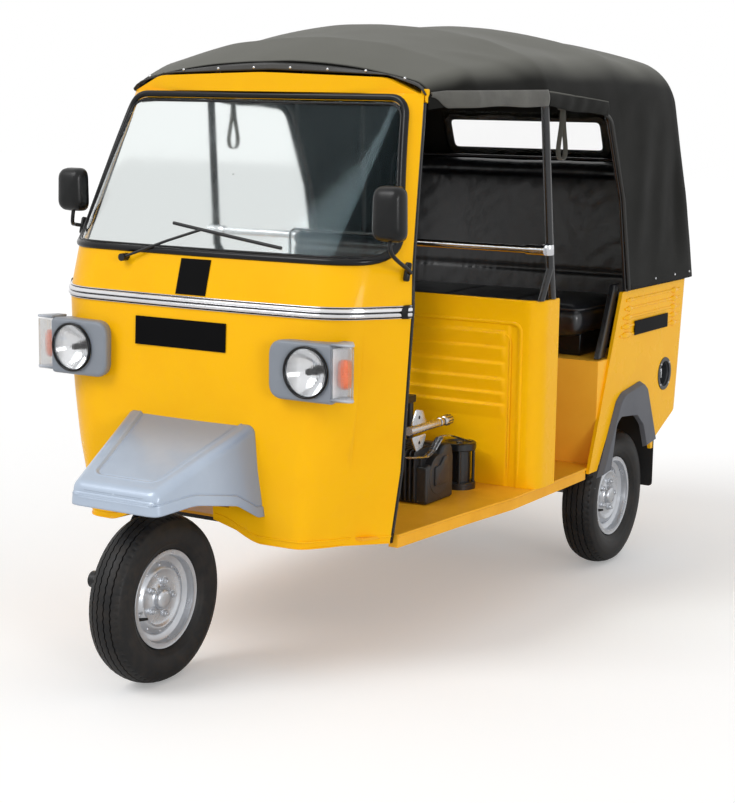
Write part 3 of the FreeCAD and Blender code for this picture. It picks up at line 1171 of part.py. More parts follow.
def differential():
    """Final drive under the rear cross member, with its output bosses and prop shaft."""
    y = WHEELBASE
    z = AXLE_Z
    case = side_prism([(y - 90, z - 40), (y - 40, z - 75), (y + 60, z - 75), (y + 90, z - 20), (y + 80, z + 60), (y - 60, z + 70)],
                      20, -DIFF_HALF_WIDTH + 20, DIFF_HALF_WIDTH - 20)
    case = case.fuse(rod((-DIFF_HALF_WIDTH, y, z), (DIFF_HALF_WIDTH, y, z), 34))
    case = case.fuse(block(-40, 40, y + 20, CHASSIS_REAR - 10, z + 30, CHASSIS_RAIL_LOW - GAP))
    joint = SUMP[1] + GAP
    shaft = rod((0, joint + 30, SUMP_LOW + 34), (0, y - 50, z + 10), 16)
    return case.fuse(shaft).fuse(rod((0, joint, SUMP_LOW + 34), (0, joint + 44, SUMP_LOW + 34), 26))


def hub_x(side):
    """X of the rear wheel's middle plane."""
    return side * HALF_TRACK


def trailing_arms():
    """Arm from the cross member's pivot back to the hub carrier on each side."""
    arms = []
    z_pivot = 318.0
    x_mid = CARRIER_OUT - CARRIER_WIDTH / 2
    carrier = rod((CARRIER_OUT - CARRIER_WIDTH, WHEELBASE, AXLE_Z), (CARRIER_OUT, WHEELBASE, AXLE_Z), SHAFT_RADIUS + 26)
    pivot_y = ARM_PIVOT_Y + 20
    barrel = rod((RAIL_X + 14 + GAP, pivot_y, z_pivot), (x_mid + 20, pivot_y, z_pivot), 20)
    bar = bent_rod([(x_mid, pivot_y, z_pivot), (x_mid, WHEELBASE - 150, z_pivot - 20), (x_mid, WHEELBASE, AXLE_Z)], 17, [0, 200, 0])
    shelf = block(DAMPER_X - 20, x_mid + 10, WHEELBASE - 30, WHEELBASE + 50, ARM_SHELF_TOP - 12, ARM_SHELF_TOP)
    arm = carrier.fuse(barrel).fuse(bar).fuse(shelf)
    bore = rod((CARRIER_OUT - CARRIER_WIDTH - 30, WHEELBASE, AXLE_Z), (CARRIER_OUT + 30, WHEELBASE, AXLE_Z), SHAFT_RADIUS + RUNNING_FIT)
    arm = arm.cut(bore)
    for shape in both(arm):
        arms.append(shape)
    return arms


def dampers():
    """Coil spring and damper between each arm and the floor over the wheels."""
    x = DAMPER_X
    y = WHEELBASE + 20
    low = ARM_SHELF_TOP + GAP
    high = SEAT_BOX_FLOOR_Z - GAP
    profile = [(0, low), (14, low), (14, low + 14), (DAMPER_RADIUS, low + 14), (DAMPER_RADIUS, low + 20)]
    pitch = (high - low - 40) / SPRING_COILS
    for i in range(SPRING_COILS):
        z = low + 20 + i * pitch
        profile += [(20, z + pitch * 0.1), (27, z + pitch * 0.5), (20, z + pitch * 0.9)]
    profile += [(DAMPER_RADIUS, high - 20), (DAMPER_RADIUS, high - 14), (14, high - 14), (14, high), (0, high)]
    wire = Part.makePolygon([V(x + r, y, z) for r, z in profile + profile[:1]])
    return both(turned(wire, V(x, y, 0), V(0, 0, 1)))


# ================================================================ wheels
def tyre(x_mid, y_mid):
    """Hollow tyre, its section drawn in the plane through the axle."""
    half = TYRE_WIDTH / 2
    bead = BEAD_RADIUS + BEAD_GAP
    height = TYRE_RADIUS - BEAD_RADIUS
    bead_out = RIM_WIDTH / 2 - RIM_SHEET - BEAD_GAP
    bead_top = FLANGE_RADIUS + 1
    shoulder = TYRE_RADIUS - height * 0.13
    widest = TYRE_RADIUS - height * 0.5

    def at(x, r):
        return V(x_mid + x, y_mid, AXLE_Z + r)

    def line(a, b):
        return Part.LineSegment(at(*a), at(*b)).toShape()

    def arc(a, b, c):
        return Part.Arc(at(*a), at(*b), at(*c)).toShape()

    t = TYRE_WALL
    edges = [
        line((-bead_out, bead), (-bead_out, bead_top)),
        arc((-bead_out, bead_top), (-half, widest), (-half * 0.86, shoulder)),
        arc((-half * 0.86, shoulder), (0, TYRE_RADIUS), (half * 0.86, shoulder)),
        arc((half * 0.86, shoulder), (half, widest), (bead_out, bead_top)),
        line((bead_out, bead_top), (bead_out, bead)),
        line((bead_out, bead), (bead_out - t, bead)),
        line((bead_out - t, bead), (bead_out - t, bead_top)),
        arc((bead_out - t, bead_top), (half - t, widest), (half * 0.86 - t, shoulder - t)),
        arc((half * 0.86 - t, shoulder - t), (0, TYRE_RADIUS - t * 1.4), (-half * 0.86 + t, shoulder - t)),
        arc((-half * 0.86 + t, shoulder - t), (-half + t, widest), (-bead_out + t, bead_top)),
        line((-bead_out + t, bead_top), (-bead_out + t, bead)),
        line((-bead_out + t, bead), (-bead_out, bead)),
    ]
    return turned(Part.Wire(edges), V(x_mid, y_mid, AXLE_Z), V(1, 0, 0))


def rim(x_mid, y_mid, side, hub_depth, bore):
    """Pressed steel wheel: drop-centre rim, dished disc, hub, lugs and cap."""
    half = RIM_WIDTH / 2
    seat = BEAD_RADIUS
    well = BEAD_RADIUS - WELL_DEPTH
    s = RIM_SHEET
    section = [(-half, FLANGE_RADIUS), (-half + s, FLANGE_RADIUS), (-half + s, seat), (-half * 0.5, seat), (-half * 0.36, well), (half * 0.36, well),
               (half * 0.5, seat), (half - s, seat), (half - s, FLANGE_RADIUS), (half, FLANGE_RADIUS), (half, seat - s), (half * 0.5 - s * 0.4, seat - s),
               (half * 0.36 - s * 0.4, well - s), (-half * 0.36 + s * 0.4, well - s), (-half * 0.5 + s * 0.4, seat - s), (-half, seat - s)]
    centre = V(x_mid, y_mid, AXLE_Z)
    axis = V(1, 0, 0)

    def ring(points):
        return turned(Part.makePolygon([centre + V(side * x, 0, r) for x, r in points + points[:1]]), centre, axis)

    dish = DISC_DISH
    disc = [(-2, well - s), (2 + s, well - s), (dish + s + 6, DISC_FACE_RADIUS + 14), (dish + s, DISC_FACE_RADIUS), (dish + s, 0.0), (dish, 0.0),
            (dish, DISC_FACE_RADIUS - 2), (dish + 5, DISC_FACE_RADIUS + 13)]
    wheel = ring(section).fuse(ring(disc))
    face = dish + s
    cap = [(face - 1, 0.0), (face - 1, HUB_RADIUS), (face + HUB_CAP_REACH * 0.6, HUB_RADIUS * 0.9), (face + HUB_CAP_REACH, HUB_RADIUS * 0.66),
           (face + HUB_CAP_REACH, 0.0)]
    wheel = wheel.fuse(ring(cap))
    for i in range(LUG_COUNT):
        angle = 2 * math.pi * i / LUG_COUNT
        y = y_mid + LUG_CIRCLE_RADIUS * math.cos(angle)
        z = AXLE_Z + LUG_CIRCLE_RADIUS * math.sin(angle)
        wheel = wheel.fuse(rod((x_mid + side * (face - 1), y, z), (x_mid + side * (face + LUG_HEIGHT), y, z), LUG_RADIUS))
    if hub_depth:
        hub = rod((x_mid + side * (dish + 1), y_mid, AXLE_Z), (x_mid - side * hub_depth, y_mid, AXLE_Z), HUB_RADIUS + 6)
        drum = tube((x_mid - side * (hub_depth - DRUM_WIDTH), y_mid, AXLE_Z), (x_mid - side * hub_depth, y_mid, AXLE_Z), DRUM_RADIUS, DRUM_RADIUS - 6)
        web_x = x_mid - side * (hub_depth - DRUM_WIDTH)
        web = rod((web_x, y_mid, AXLE_Z), (web_x + side * 6, y_mid, AXLE_Z), DRUM_RADIUS)
        wheel = wheel.fuse(hub).fuse(drum).fuse(web)
        hole = rod((x_mid - side * (hub_depth + 1), y_mid, AXLE_Z), (x_mid + side * (dish - 4), y_mid, AXLE_Z), bore)
        wheel = wheel.cut(hole)
    return wheel


def drive_shaft(side):
    """Half shaft with the brake drum that the rear wheel bolts to."""
    start = side * (DIFF_HALF_WIDTH + GAP)
    end = side * (HALF_TRACK + DISC_DISH - GAP)
    shaft = rod((start, WHEELBASE, AXLE_Z), (end, WHEELBASE, AXLE_Z), SHAFT_RADIUS)
    joint = rod((start, WHEELBASE, AXLE_Z), (start + side * 46, WHEELBASE, AXLE_Z), 27)
    drum_in = side * (CARRIER_OUT + SPIN_CLEARANCE)
    drum = rod((drum_in, WHEELBASE, AXLE_Z), (drum_in + side * DRUM_WIDTH, WHEELBASE, AXLE_Z), DRUM_RADIUS)
    hub = rod((drum_in, WHEELBASE, AXLE_Z), (end, WHEELBASE, AXLE_Z), HUB_RADIUS + 6)
    return shaft.fuse(joint).fuse(drum).fuse(hub)


# ================================================================ steering
def steering_column():
    """Column through the head tube, with the handlebar and its grips."""
    column = rod(on_head(CROWN_HEIGHT), on_head(COLUMN_TOP), COLUMN_RADIUS)
    collar = rod(on_head(HEAD_TUBE_HIGH + 3), on_head(HEAD_TUBE_HIGH + 33), HEAD_TUBE_RADIUS)
    y = head_y(COLUMN_TOP)
    z = COLUMN_TOP
    path = [(-BAR_HALF_WIDTH - 25, y + BAR_BACK, z - 8), (-BAR_HALF_WIDTH + GRIP_LENGTH, y + BAR_BACK - 55, z), (-70, y, z - 4), (70, y, z - 4),
            (BAR_HALF_WIDTH - GRIP_LENGTH, y + BAR_BACK - 55, z), (BAR_HALF_WIDTH + 25, y + BAR_BACK, z - 8)]
    bar = bent_rod(path, BAR_RADIUS, [0, 60, 60, 60, 60, 0])
    grip_start = path[-1]
    inner = V(*path[-2])
    tip = V(*grip_start)
    back = (inner - tip).normalize() * GRIP_LENGTH
    grip = Part.makeCylinder(GRIP_RADIUS, GRIP_LENGTH, tip, back)
    housing = Part.makeSphere(32, V(0, y, z - 4))
    wheel = column.fuse(collar).fuse(bar).fuse(housing)
    for piece in both(grip):
        wheel = wheel.fuse(piece)
    return wheel


def front_fork():
    """Single-sided arm on the wheel's right, trailing link, stub axle, back plate and damper."""
    x = -FORK_OFFSET
    crown_z = CROWN_HEIGHT - GAP
    clamp = rod(on_head(crown_z), on_head(crown_z - 44), COLUMN_RADIUS + 5)
    start = on_head(crown_z - 24)
    arm = bent_rod([start, (x, start[1] - 18, crown_z - 42), (x, 34, 400), (x, -LINK_LENGTH, AXLE_Z + LINK_PIVOT_RISE)],
                   FORK_RADIUS, [0, 50, 120, 0])
    pivot_y = -LINK_LENGTH
    pivot_z = AXLE_Z + LINK_PIVOT_RISE
    boss = rod((x - 26, pivot_y, pivot_z), (x + 30, pivot_y, pivot_z), 24)
    link = side_prism([(pivot_y - 16, pivot_z + 12), (pivot_y - 10, pivot_z - 20), (6, AXLE_Z - 24), (24, AXLE_Z - 2), (6, AXLE_Z + 24)],
                      12, x + 20, x + 32)
    plate_x = -HUB_DEPTH - SPIN_CLEARANCE
    plate = rod((plate_x - 6, 0, AXLE_Z), (plate_x, 0, AXLE_Z), DRUM_RADIUS)
    axle = rod((x + 16, 0, AXLE_Z), (DISC_DISH - 6, 0, AXLE_Z), AXLE_RADIUS)
    spacer = rod((x + 20, 0, AXLE_Z), (plate_x, 0, AXLE_Z), AXLE_RADIUS + 6)
    damper_low = (x - 6, 20, AXLE_Z + 22)
    damper_high = (x - 6, start[1] - 24, crown_z - 50)
    body = clamp.fuse(arm).fuse(boss).fuse(link).fuse(plate).fuse(axle).fuse(spacer).fuse(rod(damper_low, damper_high, 13))
    return body.fuse(rod((x - 20, 20, AXLE_Z + 20), (x + 32, 8, AXLE_Z + 10), 11))


def brake_hose():
    """Rubber hose clipped along the front of the fork arm."""
    points = [(-FORK_OFFSET, y, z) for y, z in HOSE_RUN]
    return bent_rod(points, HOSE_RADIUS, [0, HOSE_BEND, 0])


# ================================================================ build
def main():
    os.makedirs("parts", exist_ok=True)
    cab_outer = cab_solid(CAB_PLAN, -GAP)
    shell = front_shell()
    glass = windscreen_glass()
    pod, reflector, lens, indicator = headlamps(cab_outer)
    save("front_shell", shell)
    save("windscreen_glass", glass)
    save("windscreen_seal", windscreen_seal(shell, glass))
    save("belt_trim", belt_trim())
    save("door_edge_strips", *door_edge_strips())
    save("front_mudguard", front_mudguard(cab_outer))
    save("floor_pan", floor_pan())
    save("bulkhead", bulkhead())
    save("rear_body", rear_body())
    save("arch_flares", *arch_flares())
    save("seat_box", seat_box())
    save("headlamp_pods", *both(pod))
    save("headlamp_reflectors", *both(reflector))
    save("headlamp_lenses", *both(lens))
    save("indicator_lenses", *both(indicator))
    save("wiper", wiper(cab_outer))
    save("mirrors", *mirrors(cab_outer))
    save("blank_plates", *blank_plates())
    save("fuel_filler", fuel_filler())
    save("tail_lamps", *tail_lamps())
    save("mudflaps", *mudflaps())
    save("hood_canopy", hood_canopy())
    save("hood_frame", hood_frame())
    save("grab_rail", grab_rail())
    save("grab_straps", *grab_straps())
    save("driver_seat", *driver_seat())
    save("driver_seat_frame", driver_seat_frame())
    save("passenger_seat", *passenger_seat())
    save("chassis_frame", chassis_frame())
    save("engine_block", engine_block())
    save("air_cleaner", air_cleaner())
    save("differential", differential())
    save("trailing_arms", *trailing_arms())
    save("dampers", *dampers())
    save("steering_column", steering_column())
    save("front_fork", front_fork())
    save("brake_hose", brake_hose())
    save("front_tyre", tyre(0, 0))
    save("front_rim", rim(0, 0, 1, HUB_DEPTH, AXLE_RADIUS + RUNNING_FIT))
    for side, name in ((1, "left"), (-1, "right")):
        save("rear_tyre_" + name, tyre(hub_x(side), WHEELBASE))
        save("rear_rim_" + name, rim(hub_x(side), WHEELBASE, side, 0, 0))
        save("drive_shaft_" + name, drive_shaft(side))


main()
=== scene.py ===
import logging
import math
from dataclasses import dataclass, field
from enum import Enum
from typing import Callable, Optional, Sequence

import bmesh
import bpy
import numpy as np
from mathutils import Matrix, Vector


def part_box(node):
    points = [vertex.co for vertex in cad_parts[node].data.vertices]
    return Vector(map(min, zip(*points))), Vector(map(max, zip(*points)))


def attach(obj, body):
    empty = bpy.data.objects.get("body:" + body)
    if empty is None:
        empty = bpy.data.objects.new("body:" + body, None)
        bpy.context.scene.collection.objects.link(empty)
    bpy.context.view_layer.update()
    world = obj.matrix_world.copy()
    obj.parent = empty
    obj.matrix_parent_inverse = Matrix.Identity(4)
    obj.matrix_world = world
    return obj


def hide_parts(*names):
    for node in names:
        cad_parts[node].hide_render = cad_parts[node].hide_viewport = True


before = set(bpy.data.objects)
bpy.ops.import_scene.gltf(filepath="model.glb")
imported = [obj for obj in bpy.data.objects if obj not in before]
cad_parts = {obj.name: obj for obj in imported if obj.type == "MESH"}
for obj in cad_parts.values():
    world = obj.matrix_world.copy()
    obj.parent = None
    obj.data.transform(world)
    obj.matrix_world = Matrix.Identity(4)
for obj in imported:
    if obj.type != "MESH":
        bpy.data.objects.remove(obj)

Array = np.ndarray
Object = bpy.types.Object
Point = tuple[float, float, float]

logging.basicConfig(level=logging.INFO, format="%(message)s")
LOG = logging.getLogger("rickshaw")

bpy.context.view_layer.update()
TYRE_LOW, TYRE_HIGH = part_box("front_tyre")
AXLE_Y = (TYRE_LOW.y + TYRE_HIGH.y) / 2  # the front axle in the frame
TYRE_RADIUS = (TYRE_HIGH.z - TYRE_LOW.z) / 2
WHEELBASE = 1.948
HALF_TRACK = 0.505
SIDE_X = 0.625  # half the body's width
MM = 0.001
X_AXIS: Point = (1.0, 0.0, 0.0)
Y_AXIS: Point = (0.0, 1.0, 0.0)
Z_AXIS: Point = (0.0, 0.0, 1.0)


# ================================================================ shapes
def row(values: Sequence[float]) -> Array:
    """A point or a list of numbers as a float array."""
    return np.asarray(values, float)


def xyz(*columns: float | Array) -> Array:
    """Coordinates stacked into points, a single number standing for all of them."""
    return np.stack(np.broadcast_arrays(*columns), -1)


def bell(distance: Array, width: float, power: int = 2) -> Array:
    """1 in the middle, falling off as exp(-(distance / width) ^ power)."""
    return np.exp(-((distance / width) ** power))


def turns(count: int) -> Array:
    """Angles of count points round a circle."""
    return np.linspace(0, math.tau, count, endpoint=False)


def unit(vectors: Array) -> Array:
    """Vectors scaled to length one along the last axis."""
    return vectors / np.maximum(np.linalg.norm(vectors, axis=-1, keepdims=True), 1e-12)


def grid_faces(rows: int, columns: int, wrap_rows: bool, wrap_columns: bool) -> Array:
    """Quads of a grid of points numbered row by row.

    Args:
        rows: number of rows.
        columns: number of points in a row.
        wrap_rows: joins the last row to the first.
        wrap_columns: joins each row's last point to its first.

    Returns:
        Array of four indices per face.
    """
    r, c = np.meshgrid(np.arange(rows if wrap_rows else rows - 1),
                       np.arange(columns if wrap_columns else columns - 1), indexing="ij")
    below, beside = (r + 1) % rows, (c + 1) % columns
    corners = [r * columns + c, r * columns + beside, below * columns + beside, below * columns + c]
    return np.stack(corners, -1).reshape(-1, 4)


def arc_through(a: Sequence[float], b: Sequence[float], c: Sequence[float], count: int) -> Array:
    """Points on the circle through three points of a plane: centre from the perpendicular bisectors."""
    a, b, c = row(a), row(b), row(c)
    d = 2 * (a[0] * (b[1] - c[1]) + b[0] * (c[1] - a[1]) + c[0] * (a[1] - b[1]))
    squares = row([a @ a, b @ b, c @ c])
    centre = row([squares @ row([b[1] - c[1], c[1] - a[1], a[1] - b[1]]),
                  squares @ row([c[0] - b[0], a[0] - c[0], b[0] - a[0]])]) / d
    start, middle, end = (math.atan2(*(p - centre)[::-1]) for p in (a, b, c))
    turn = (end - start) % (math.tau)
    if (middle - start) % (math.tau) > turn:
        turn -= math.tau
    angles = start + np.linspace(0, turn, count)
    return centre + np.linalg.norm(a - centre) * xyz(np.cos(angles), np.sin(angles))


def rounded(corners: Sequence[Sequence[float]], radii: Sequence[float], closed: bool = False,
            steps: int = 6) -> Array:
    """Corners joined by straight runs, each corner turned by a tangent arc.

    Each arc is a quadratic curve between the two tangent points with the corner as its control.

    Args:
        corners: corner points in two or three dimensions.
        radii: arc radius at each corner, 0 for a sharp one.
        closed: whether the last corner joins the first.
        steps: points along each arc.

    Returns:
        Points along the path.
    """
    corners = [row(p) for p in corners]
    count = len(corners)
    parts = []
    for i, (corner, radius) in enumerate(zip(corners, radii)):
        if radius == 0 or (not closed and i in (0, count - 1)):
            parts.append(corner[None])
            continue
        back, ahead = unit(corners[i - 1] - corner), unit(corners[(i + 1) % count] - corner)
        half = math.acos(float(np.clip(back @ ahead, -1, 1))) / 2
        reach = radius / math.tan(half)
        t = np.linspace(0, 1, steps)[:, None]
        parts.append((1 - t) ** 2 * (corner + back * reach) + 2 * t * (1 - t) * corner
                     + t ** 2 * (corner + ahead * reach))
    return np.concatenate(parts)


def rounded_box(low: Sequence[float], high: Sequence[float], radius: float, steps: int = 6) -> Array:
    """Outline of a flat rectangle with round corners, from its lowest corner on."""
    corners = [low, (high[0], low[1]), high, (low[0], high[1])]
    return rounded(corners, [radius] * 4, closed=True, steps=steps)


def spline(points: Sequence[Sequence[float]], count: int) -> Array:
    """Smooth path through points: a Catmull-Rom curve, evenly spaced in its parameter."""
    p = row(points)
    p = np.concatenate([2 * p[:1] - p[1:2], p, 2 * p[-1:] - p[-2:-1]])
    s = np.linspace(0, len(points) - 1 - 1e-9, count)
    i = s.astype(int)
    t = (s - i)[:, None]
    a, b, c, d = p[i], p[i + 1], p[i + 2], p[i + 3]
    return 0.5 * (2 * b + (c - a) * t + (2 * a - 5 * b + 4 * c - d) * t ** 2 + (3 * b - a - 3 * c + d) * t ** 3)


def resample(path: Array, count: int) -> Array:
    """The same path with evenly spaced points."""
    lengths = np.concatenate([[0], np.cumsum(np.linalg.norm(np.diff(path, axis=0), axis=1))])
    even = np.linspace(0, lengths[-1], count)
    return np.stack([np.interp(even, lengths, path[:, k]) for k in range(path.shape[1])], -1)


def even_loop(loop: Array, count: int) -> Array:
    """A closed line's points, evenly spaced."""
    return resample(np.concatenate([loop, loop[:1]]), count + 1)[:-1]


def circle_of(centre: Sequence[float], radius: float, turn: float) -> Point:
    """A point on a circle square to X, by its turn from +Y towards +Z."""
    x, y, z = centre
    return (x, y + radius * math.cos(turn), z + radius * math.sin(turn))


class Shape:
    """Surfaces gathered into one mesh."""

    def __init__(self) -> None:
        """Starts with no points."""
        self.points: list[Array] = []
        self.faces: list[list[int]] = []
        self.count = 0

    def add(self, points: Array, wrap_rows: bool = False, wrap_columns: bool = False,
            caps: bool = False) -> "Shape":
        """Adds a grid of points (rows, columns, 3).

        Args:
            points: the grid.
            wrap_rows: joins the last row to the first.
            wrap_columns: closes each row into a ring.
            caps: closes the first and last ring with a flat face.

        Returns:
            This shape.
        """
        rows, columns = points.shape[:2]
        self.faces += (grid_faces(rows, columns, wrap_rows, wrap_columns) + self.count).tolist()
        if caps:
            self.faces.append(list(range(self.count + columns - 1, self.count - 1, -1)))
            last = self.count + (rows - 1) * columns
            self.faces.append(list(range(last, last + columns)))
        self.points.append(points.reshape(-1, 3))
        self.count += rows * columns
        return self

    def rings(self, points: Array) -> "Shape":
        """Adds a stack of closed rings, its first and last ring capped."""
        return self.add(points, wrap_columns=True, caps=True)

    def tube(self, path: Array, radius: float | Array, sides: int = 12, up: Point = Z_AXIS,
             closed: bool = False, flat: float = 1.0) -> "Shape":
        """A round bar: circles stood square to the path, their first radius across the up direction.

        Args:
            path: centre line points.
            radius: bar radius, one for all or one a point.
            sides: points round the bar.
            up: a direction that the path never follows.
            closed: joins the bar's end to its start.
            flat: thickness along up as a share of the width.

        Returns:
            This shape.
        """
        path = row(path)
        tangent = (np.roll(path, -1, 0) - np.roll(path, 1, 0)) if closed else np.gradient(path, axis=0)
        side = unit(np.cross(unit(tangent), row(up)))
        top = unit(np.cross(side, tangent))
        angle = turns(sides)[None, :, None]
        size = np.broadcast_to(row(radius), len(path))[:, None, None]
        ring = path[:, None] + size * (np.cos(angle) * side[:, None] + flat * np.sin(angle) * top[:, None])
        return self.add(ring, wrap_rows=closed, wrap_columns=True, caps=not closed)

    def lathe(self, profile: Sequence[Sequence[float]], origin: Point, axis: Point, steps: int = 48,
              closed: bool = False) -> "Shape":
        """A turned surface: each (along, radius) of the profile carried round the axis.

        Args:
            profile: distances along the axis and from it.
            origin: where the axis starts.
            axis: its direction.
            steps: points round.
            closed: joins the profile's end to its start.

        Returns:
            This shape.
        """
        profile = row(profile)
        along = unit(row(axis))
        across = unit(np.cross(along, row(Z_AXIS if abs(along[2]) < 0.9 else Y_AXIS)))
        other = np.cross(along, across)
        angle = turns(steps)[None, :, None]
        spoke = np.cos(angle) * across + np.sin(angle) * other
        ring = row(origin) + profile[:, 0][:, None, None] * along + profile[:, 1][:, None, None] * spoke
        return self.add(ring, wrap_rows=closed, wrap_columns=True, caps=not closed)

    def box(self, low: Sequence[float], high: Sequence[float], radius: float, steps: int = 3,
            turn: Optional[Matrix] = None) -> "Shape":
        """A block with rounded edges: an eighth of a ball at each corner of a smaller block.

        Args:
            low: lowest corner.
            high: highest corner.
            radius: of the edges.
            steps: points round a quarter turn.
            turn: rotation about the block's middle.

        Returns:
            This shape.
        """
        low, high = row(low), row(high)
        middle, half = (low + high) / 2, (high - low) / 2 - radius
        quarter = np.linspace(0, math.pi / 2, steps + 1)
        around = np.concatenate([quarter + k * math.pi / 2 for k in range(4)])
        sign_x = np.repeat([1.0, -1.0, -1.0, 1.0], steps + 1)
        sign_y = np.repeat([1.0, 1.0, -1.0, -1.0], steps + 1)
        rise = np.concatenate([quarter - math.pi / 2, quarter])[:, None]
        sign_z = np.repeat([-1.0, 1.0], steps + 1)[:, None]
        x = sign_x * half[0] + radius * np.cos(rise) * np.cos(around)
        y = sign_y * half[1] + radius * np.cos(rise) * np.sin(around)
        z = sign_z * half[2] + radius * np.sin(rise) + 0 * around
        ball = xyz(x, y, z)
        if turn is not None:
            ball = ball @ row(turn.to_3x3()).T
        return self.rings(ball + middle)

    def plate(self, outline: Array, origin: Point, across: Point, upward: Point, depth: float, edge: float,
              steps: int = 3) -> "Shape":
        """An outline carried through a depth, its two rims rounded.

        The outline shrinks along its own normals by edge * (1 - cos) while it sinks by edge * sin.

        Args:
            outline: closed loop of two numbers a point.
            origin: where the outline's zero lies.
            across: direction of its first number.
            upward: direction of its second number.
            depth: thickness along across x upward.
            edge: rounding of the rims.
            steps: points round each rim.

        Returns:
            This shape.
        """
        run = np.roll(outline, -1, 0) - np.roll(outline, 1, 0)
        normal = unit(xyz(run[:, 1], -run[:, 0]))
        area = float(np.sum(outline[:, 0] * np.roll(outline[:, 1], -1)
                            - np.roll(outline[:, 0], -1) * outline[:, 1]))
        normal = normal * (1.0 if area > 0 else -1.0)
        a = np.linspace(0, math.pi / 2, steps + 1)
        inward = np.concatenate([edge * (1 - np.sin(a)), edge * (1 - np.cos(a))])
        sink = np.concatenate([edge * (1 - np.cos(a)), depth - edge * (1 - np.sin(a))])
        flat = outline[None] - inward[:, None, None] * normal
        u, v = unit(row(across)), unit(row(upward))
        rings = row(origin) + flat[..., :1] * u + flat[..., 1:] * v + sink[:, None, None] * np.cross(u, v)
        return self.rings(rings)

    def both_sides(self) -> "Shape":
        """Adds the mirror image across the vehicle's middle plane."""
        mirrored = [points * row((-1, 1, 1)) for points in self.points]
        self.faces += [[i + self.count for i in reversed(face)] for face in self.faces]
        self.points += mirrored
        self.count *= 2
        return self

    def build(self, name: str, outward: bool = True, smooth: float = 40.0) -> Object:
        """The finished mesh as an object at the origin.

        Args:
            name: piece name.
            outward: turns the faces of closed forms outwards.
            smooth: edges sharper than this many degrees stay crisp.

        Returns:
            The object.
        """
        mesh = bpy.data.meshes.new(name)
        points = np.concatenate(self.points) + row((0, AXLE_Y, 0))
        mesh.from_pydata(points.tolist(), [], self.faces)
        bm = bmesh.new()
        bm.from_mesh(mesh)
        bmesh.ops.remove_doubles(bm, verts=bm.verts, dist=1e-6)
        if outward:
            bmesh.ops.recalc_face_normals(bm, faces=bm.faces)
        bm.to_mesh(mesh)
        bm.free()
        mesh.shade_smooth()
        mesh.set_sharp_from_angle(angle=math.radians(smooth))
        piece = bpy.data.objects.new(name, mesh)
        bpy.context.scene.collection.objects.link(piece)
        return piece

    def sheet(self, name: str, wall: float, offset: float = 0.0) -> Object:
        """The finished mesh as an open sheet with a wall."""
        piece = self.build(name, outward=False)
        thicken(piece, wall, offset)
        return piece

    def fit(self, name: str, slot: str, finish: "Finish", *nodes: str, smooth: float = 40.0) -> Object:
        """Builds the piece and dresses it on the chassis."""
        return place(self.build(name, smooth=smooth), "chassis", slot, finish, *nodes)


def cad_form(node: str, name: str, bevel: float = 0.0, smooth: float = 32.0) -> Object:
    """A node's own surface with its loose triangles joined and its edges softened.

    Args:
        node: CAD node.
        name: name of the new piece.
        bevel: width of the edge rounding, 0 for none.
        smooth: edges sharper than this many degrees stay crisp.

    Returns:
        The object.
    """
    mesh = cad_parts[node].data.copy()
    mesh.name = name
    if "custom_normal" in mesh.attributes:
        mesh.attributes.remove(mesh.attributes["custom_normal"])
    bm = bmesh.new()
    bm.from_mesh(mesh)
    bmesh.ops.remove_doubles(bm, verts=bm.verts, dist=2e-6)
    bmesh.ops.dissolve_limit(bm, angle_limit=math.radians(0.4), verts=bm.verts, edges=bm.edges)
    bm.to_mesh(mesh)
    bm.free()
    mesh.shade_smooth()
    mesh.set_sharp_from_angle(angle=math.radians(smooth))
    piece = bpy.data.objects.new(name, mesh)
    bpy.context.scene.collection.objects.link(piece)
    if bevel:
        soften(piece, bevel, smooth)
    weigh = piece.modifiers.new("weigh", "WEIGHTED_NORMAL")
    weigh.keep_sharp = True
    return piece


def soften(piece: Object, width: float, angle: float = 32.0, segments: int = 2) -> None:
    """Rounds a piece's crisp edges with a bevel."""
    bevel = piece.modifiers.new("edge", "BEVEL")
    bevel.width = width
    bevel.segments = segments
    bevel.limit_method = "ANGLE"
    bevel.angle_limit = math.radians(angle)
    bevel.harden_normals = False


def thicken(piece: Object, thickness: float, offset: float = -1.0) -> None:
    """Gives a sheet its wall."""
    wall = piece.modifiers.new("wall", "SOLIDIFY")
    wall.thickness = thickness
    wall.offset = offset


def vertices_of(piece: Object, what: str = "co") -> Array:
    """A mesh's vertex places, or its vertex normals."""
    flat = np.zeros(len(piece.data.vertices) * 3)
    piece.data.vertices.foreach_get(what, flat)
    return flat.reshape(-1, 3)


def move_vertices(piece: Object, points: Array) -> None:
    """Writes vertex places back."""
    piece.data.vertices.foreach_set("co", points.ravel())
    piece.data.update()


# ================================================================ finishes
def linear(colour: str) -> tuple[float, float, float, float]:
    """Linear RGBA of an sRGB hex colour."""
    channels = [int(colour[i:i + 2], 16) / 255 for i in (1, 3, 5)]
    return (*[c / 12.92 if c <= 0.04045 else ((c + 0.055) / 1.055) ** 2.4 for c in channels], 1.0)


def add_node(tree: bpy.types.NodeTree, kind: str, inputs: Optional[dict] = None,
             **settings: object) -> bpy.types.NodeOutputs:
    """Adds a shader node.

    Args:
        tree: the material's nodes.
        kind: node type after its common first word.
        inputs: socket name or number to a value, or to another node's output to link.
        settings: attributes of the node.

    Returns:
        The node's outputs.
    """
    node = tree.nodes.new("ShaderNode" + kind)
    for key, value in settings.items():
        setattr(node, key, value)
    for key, value in (inputs or {}).items():
        if isinstance(value, bpy.types.NodeSocket):
            tree.links.new(value, node.inputs[key])
        else:
            node.inputs[key].default_value = value
    return node.outputs


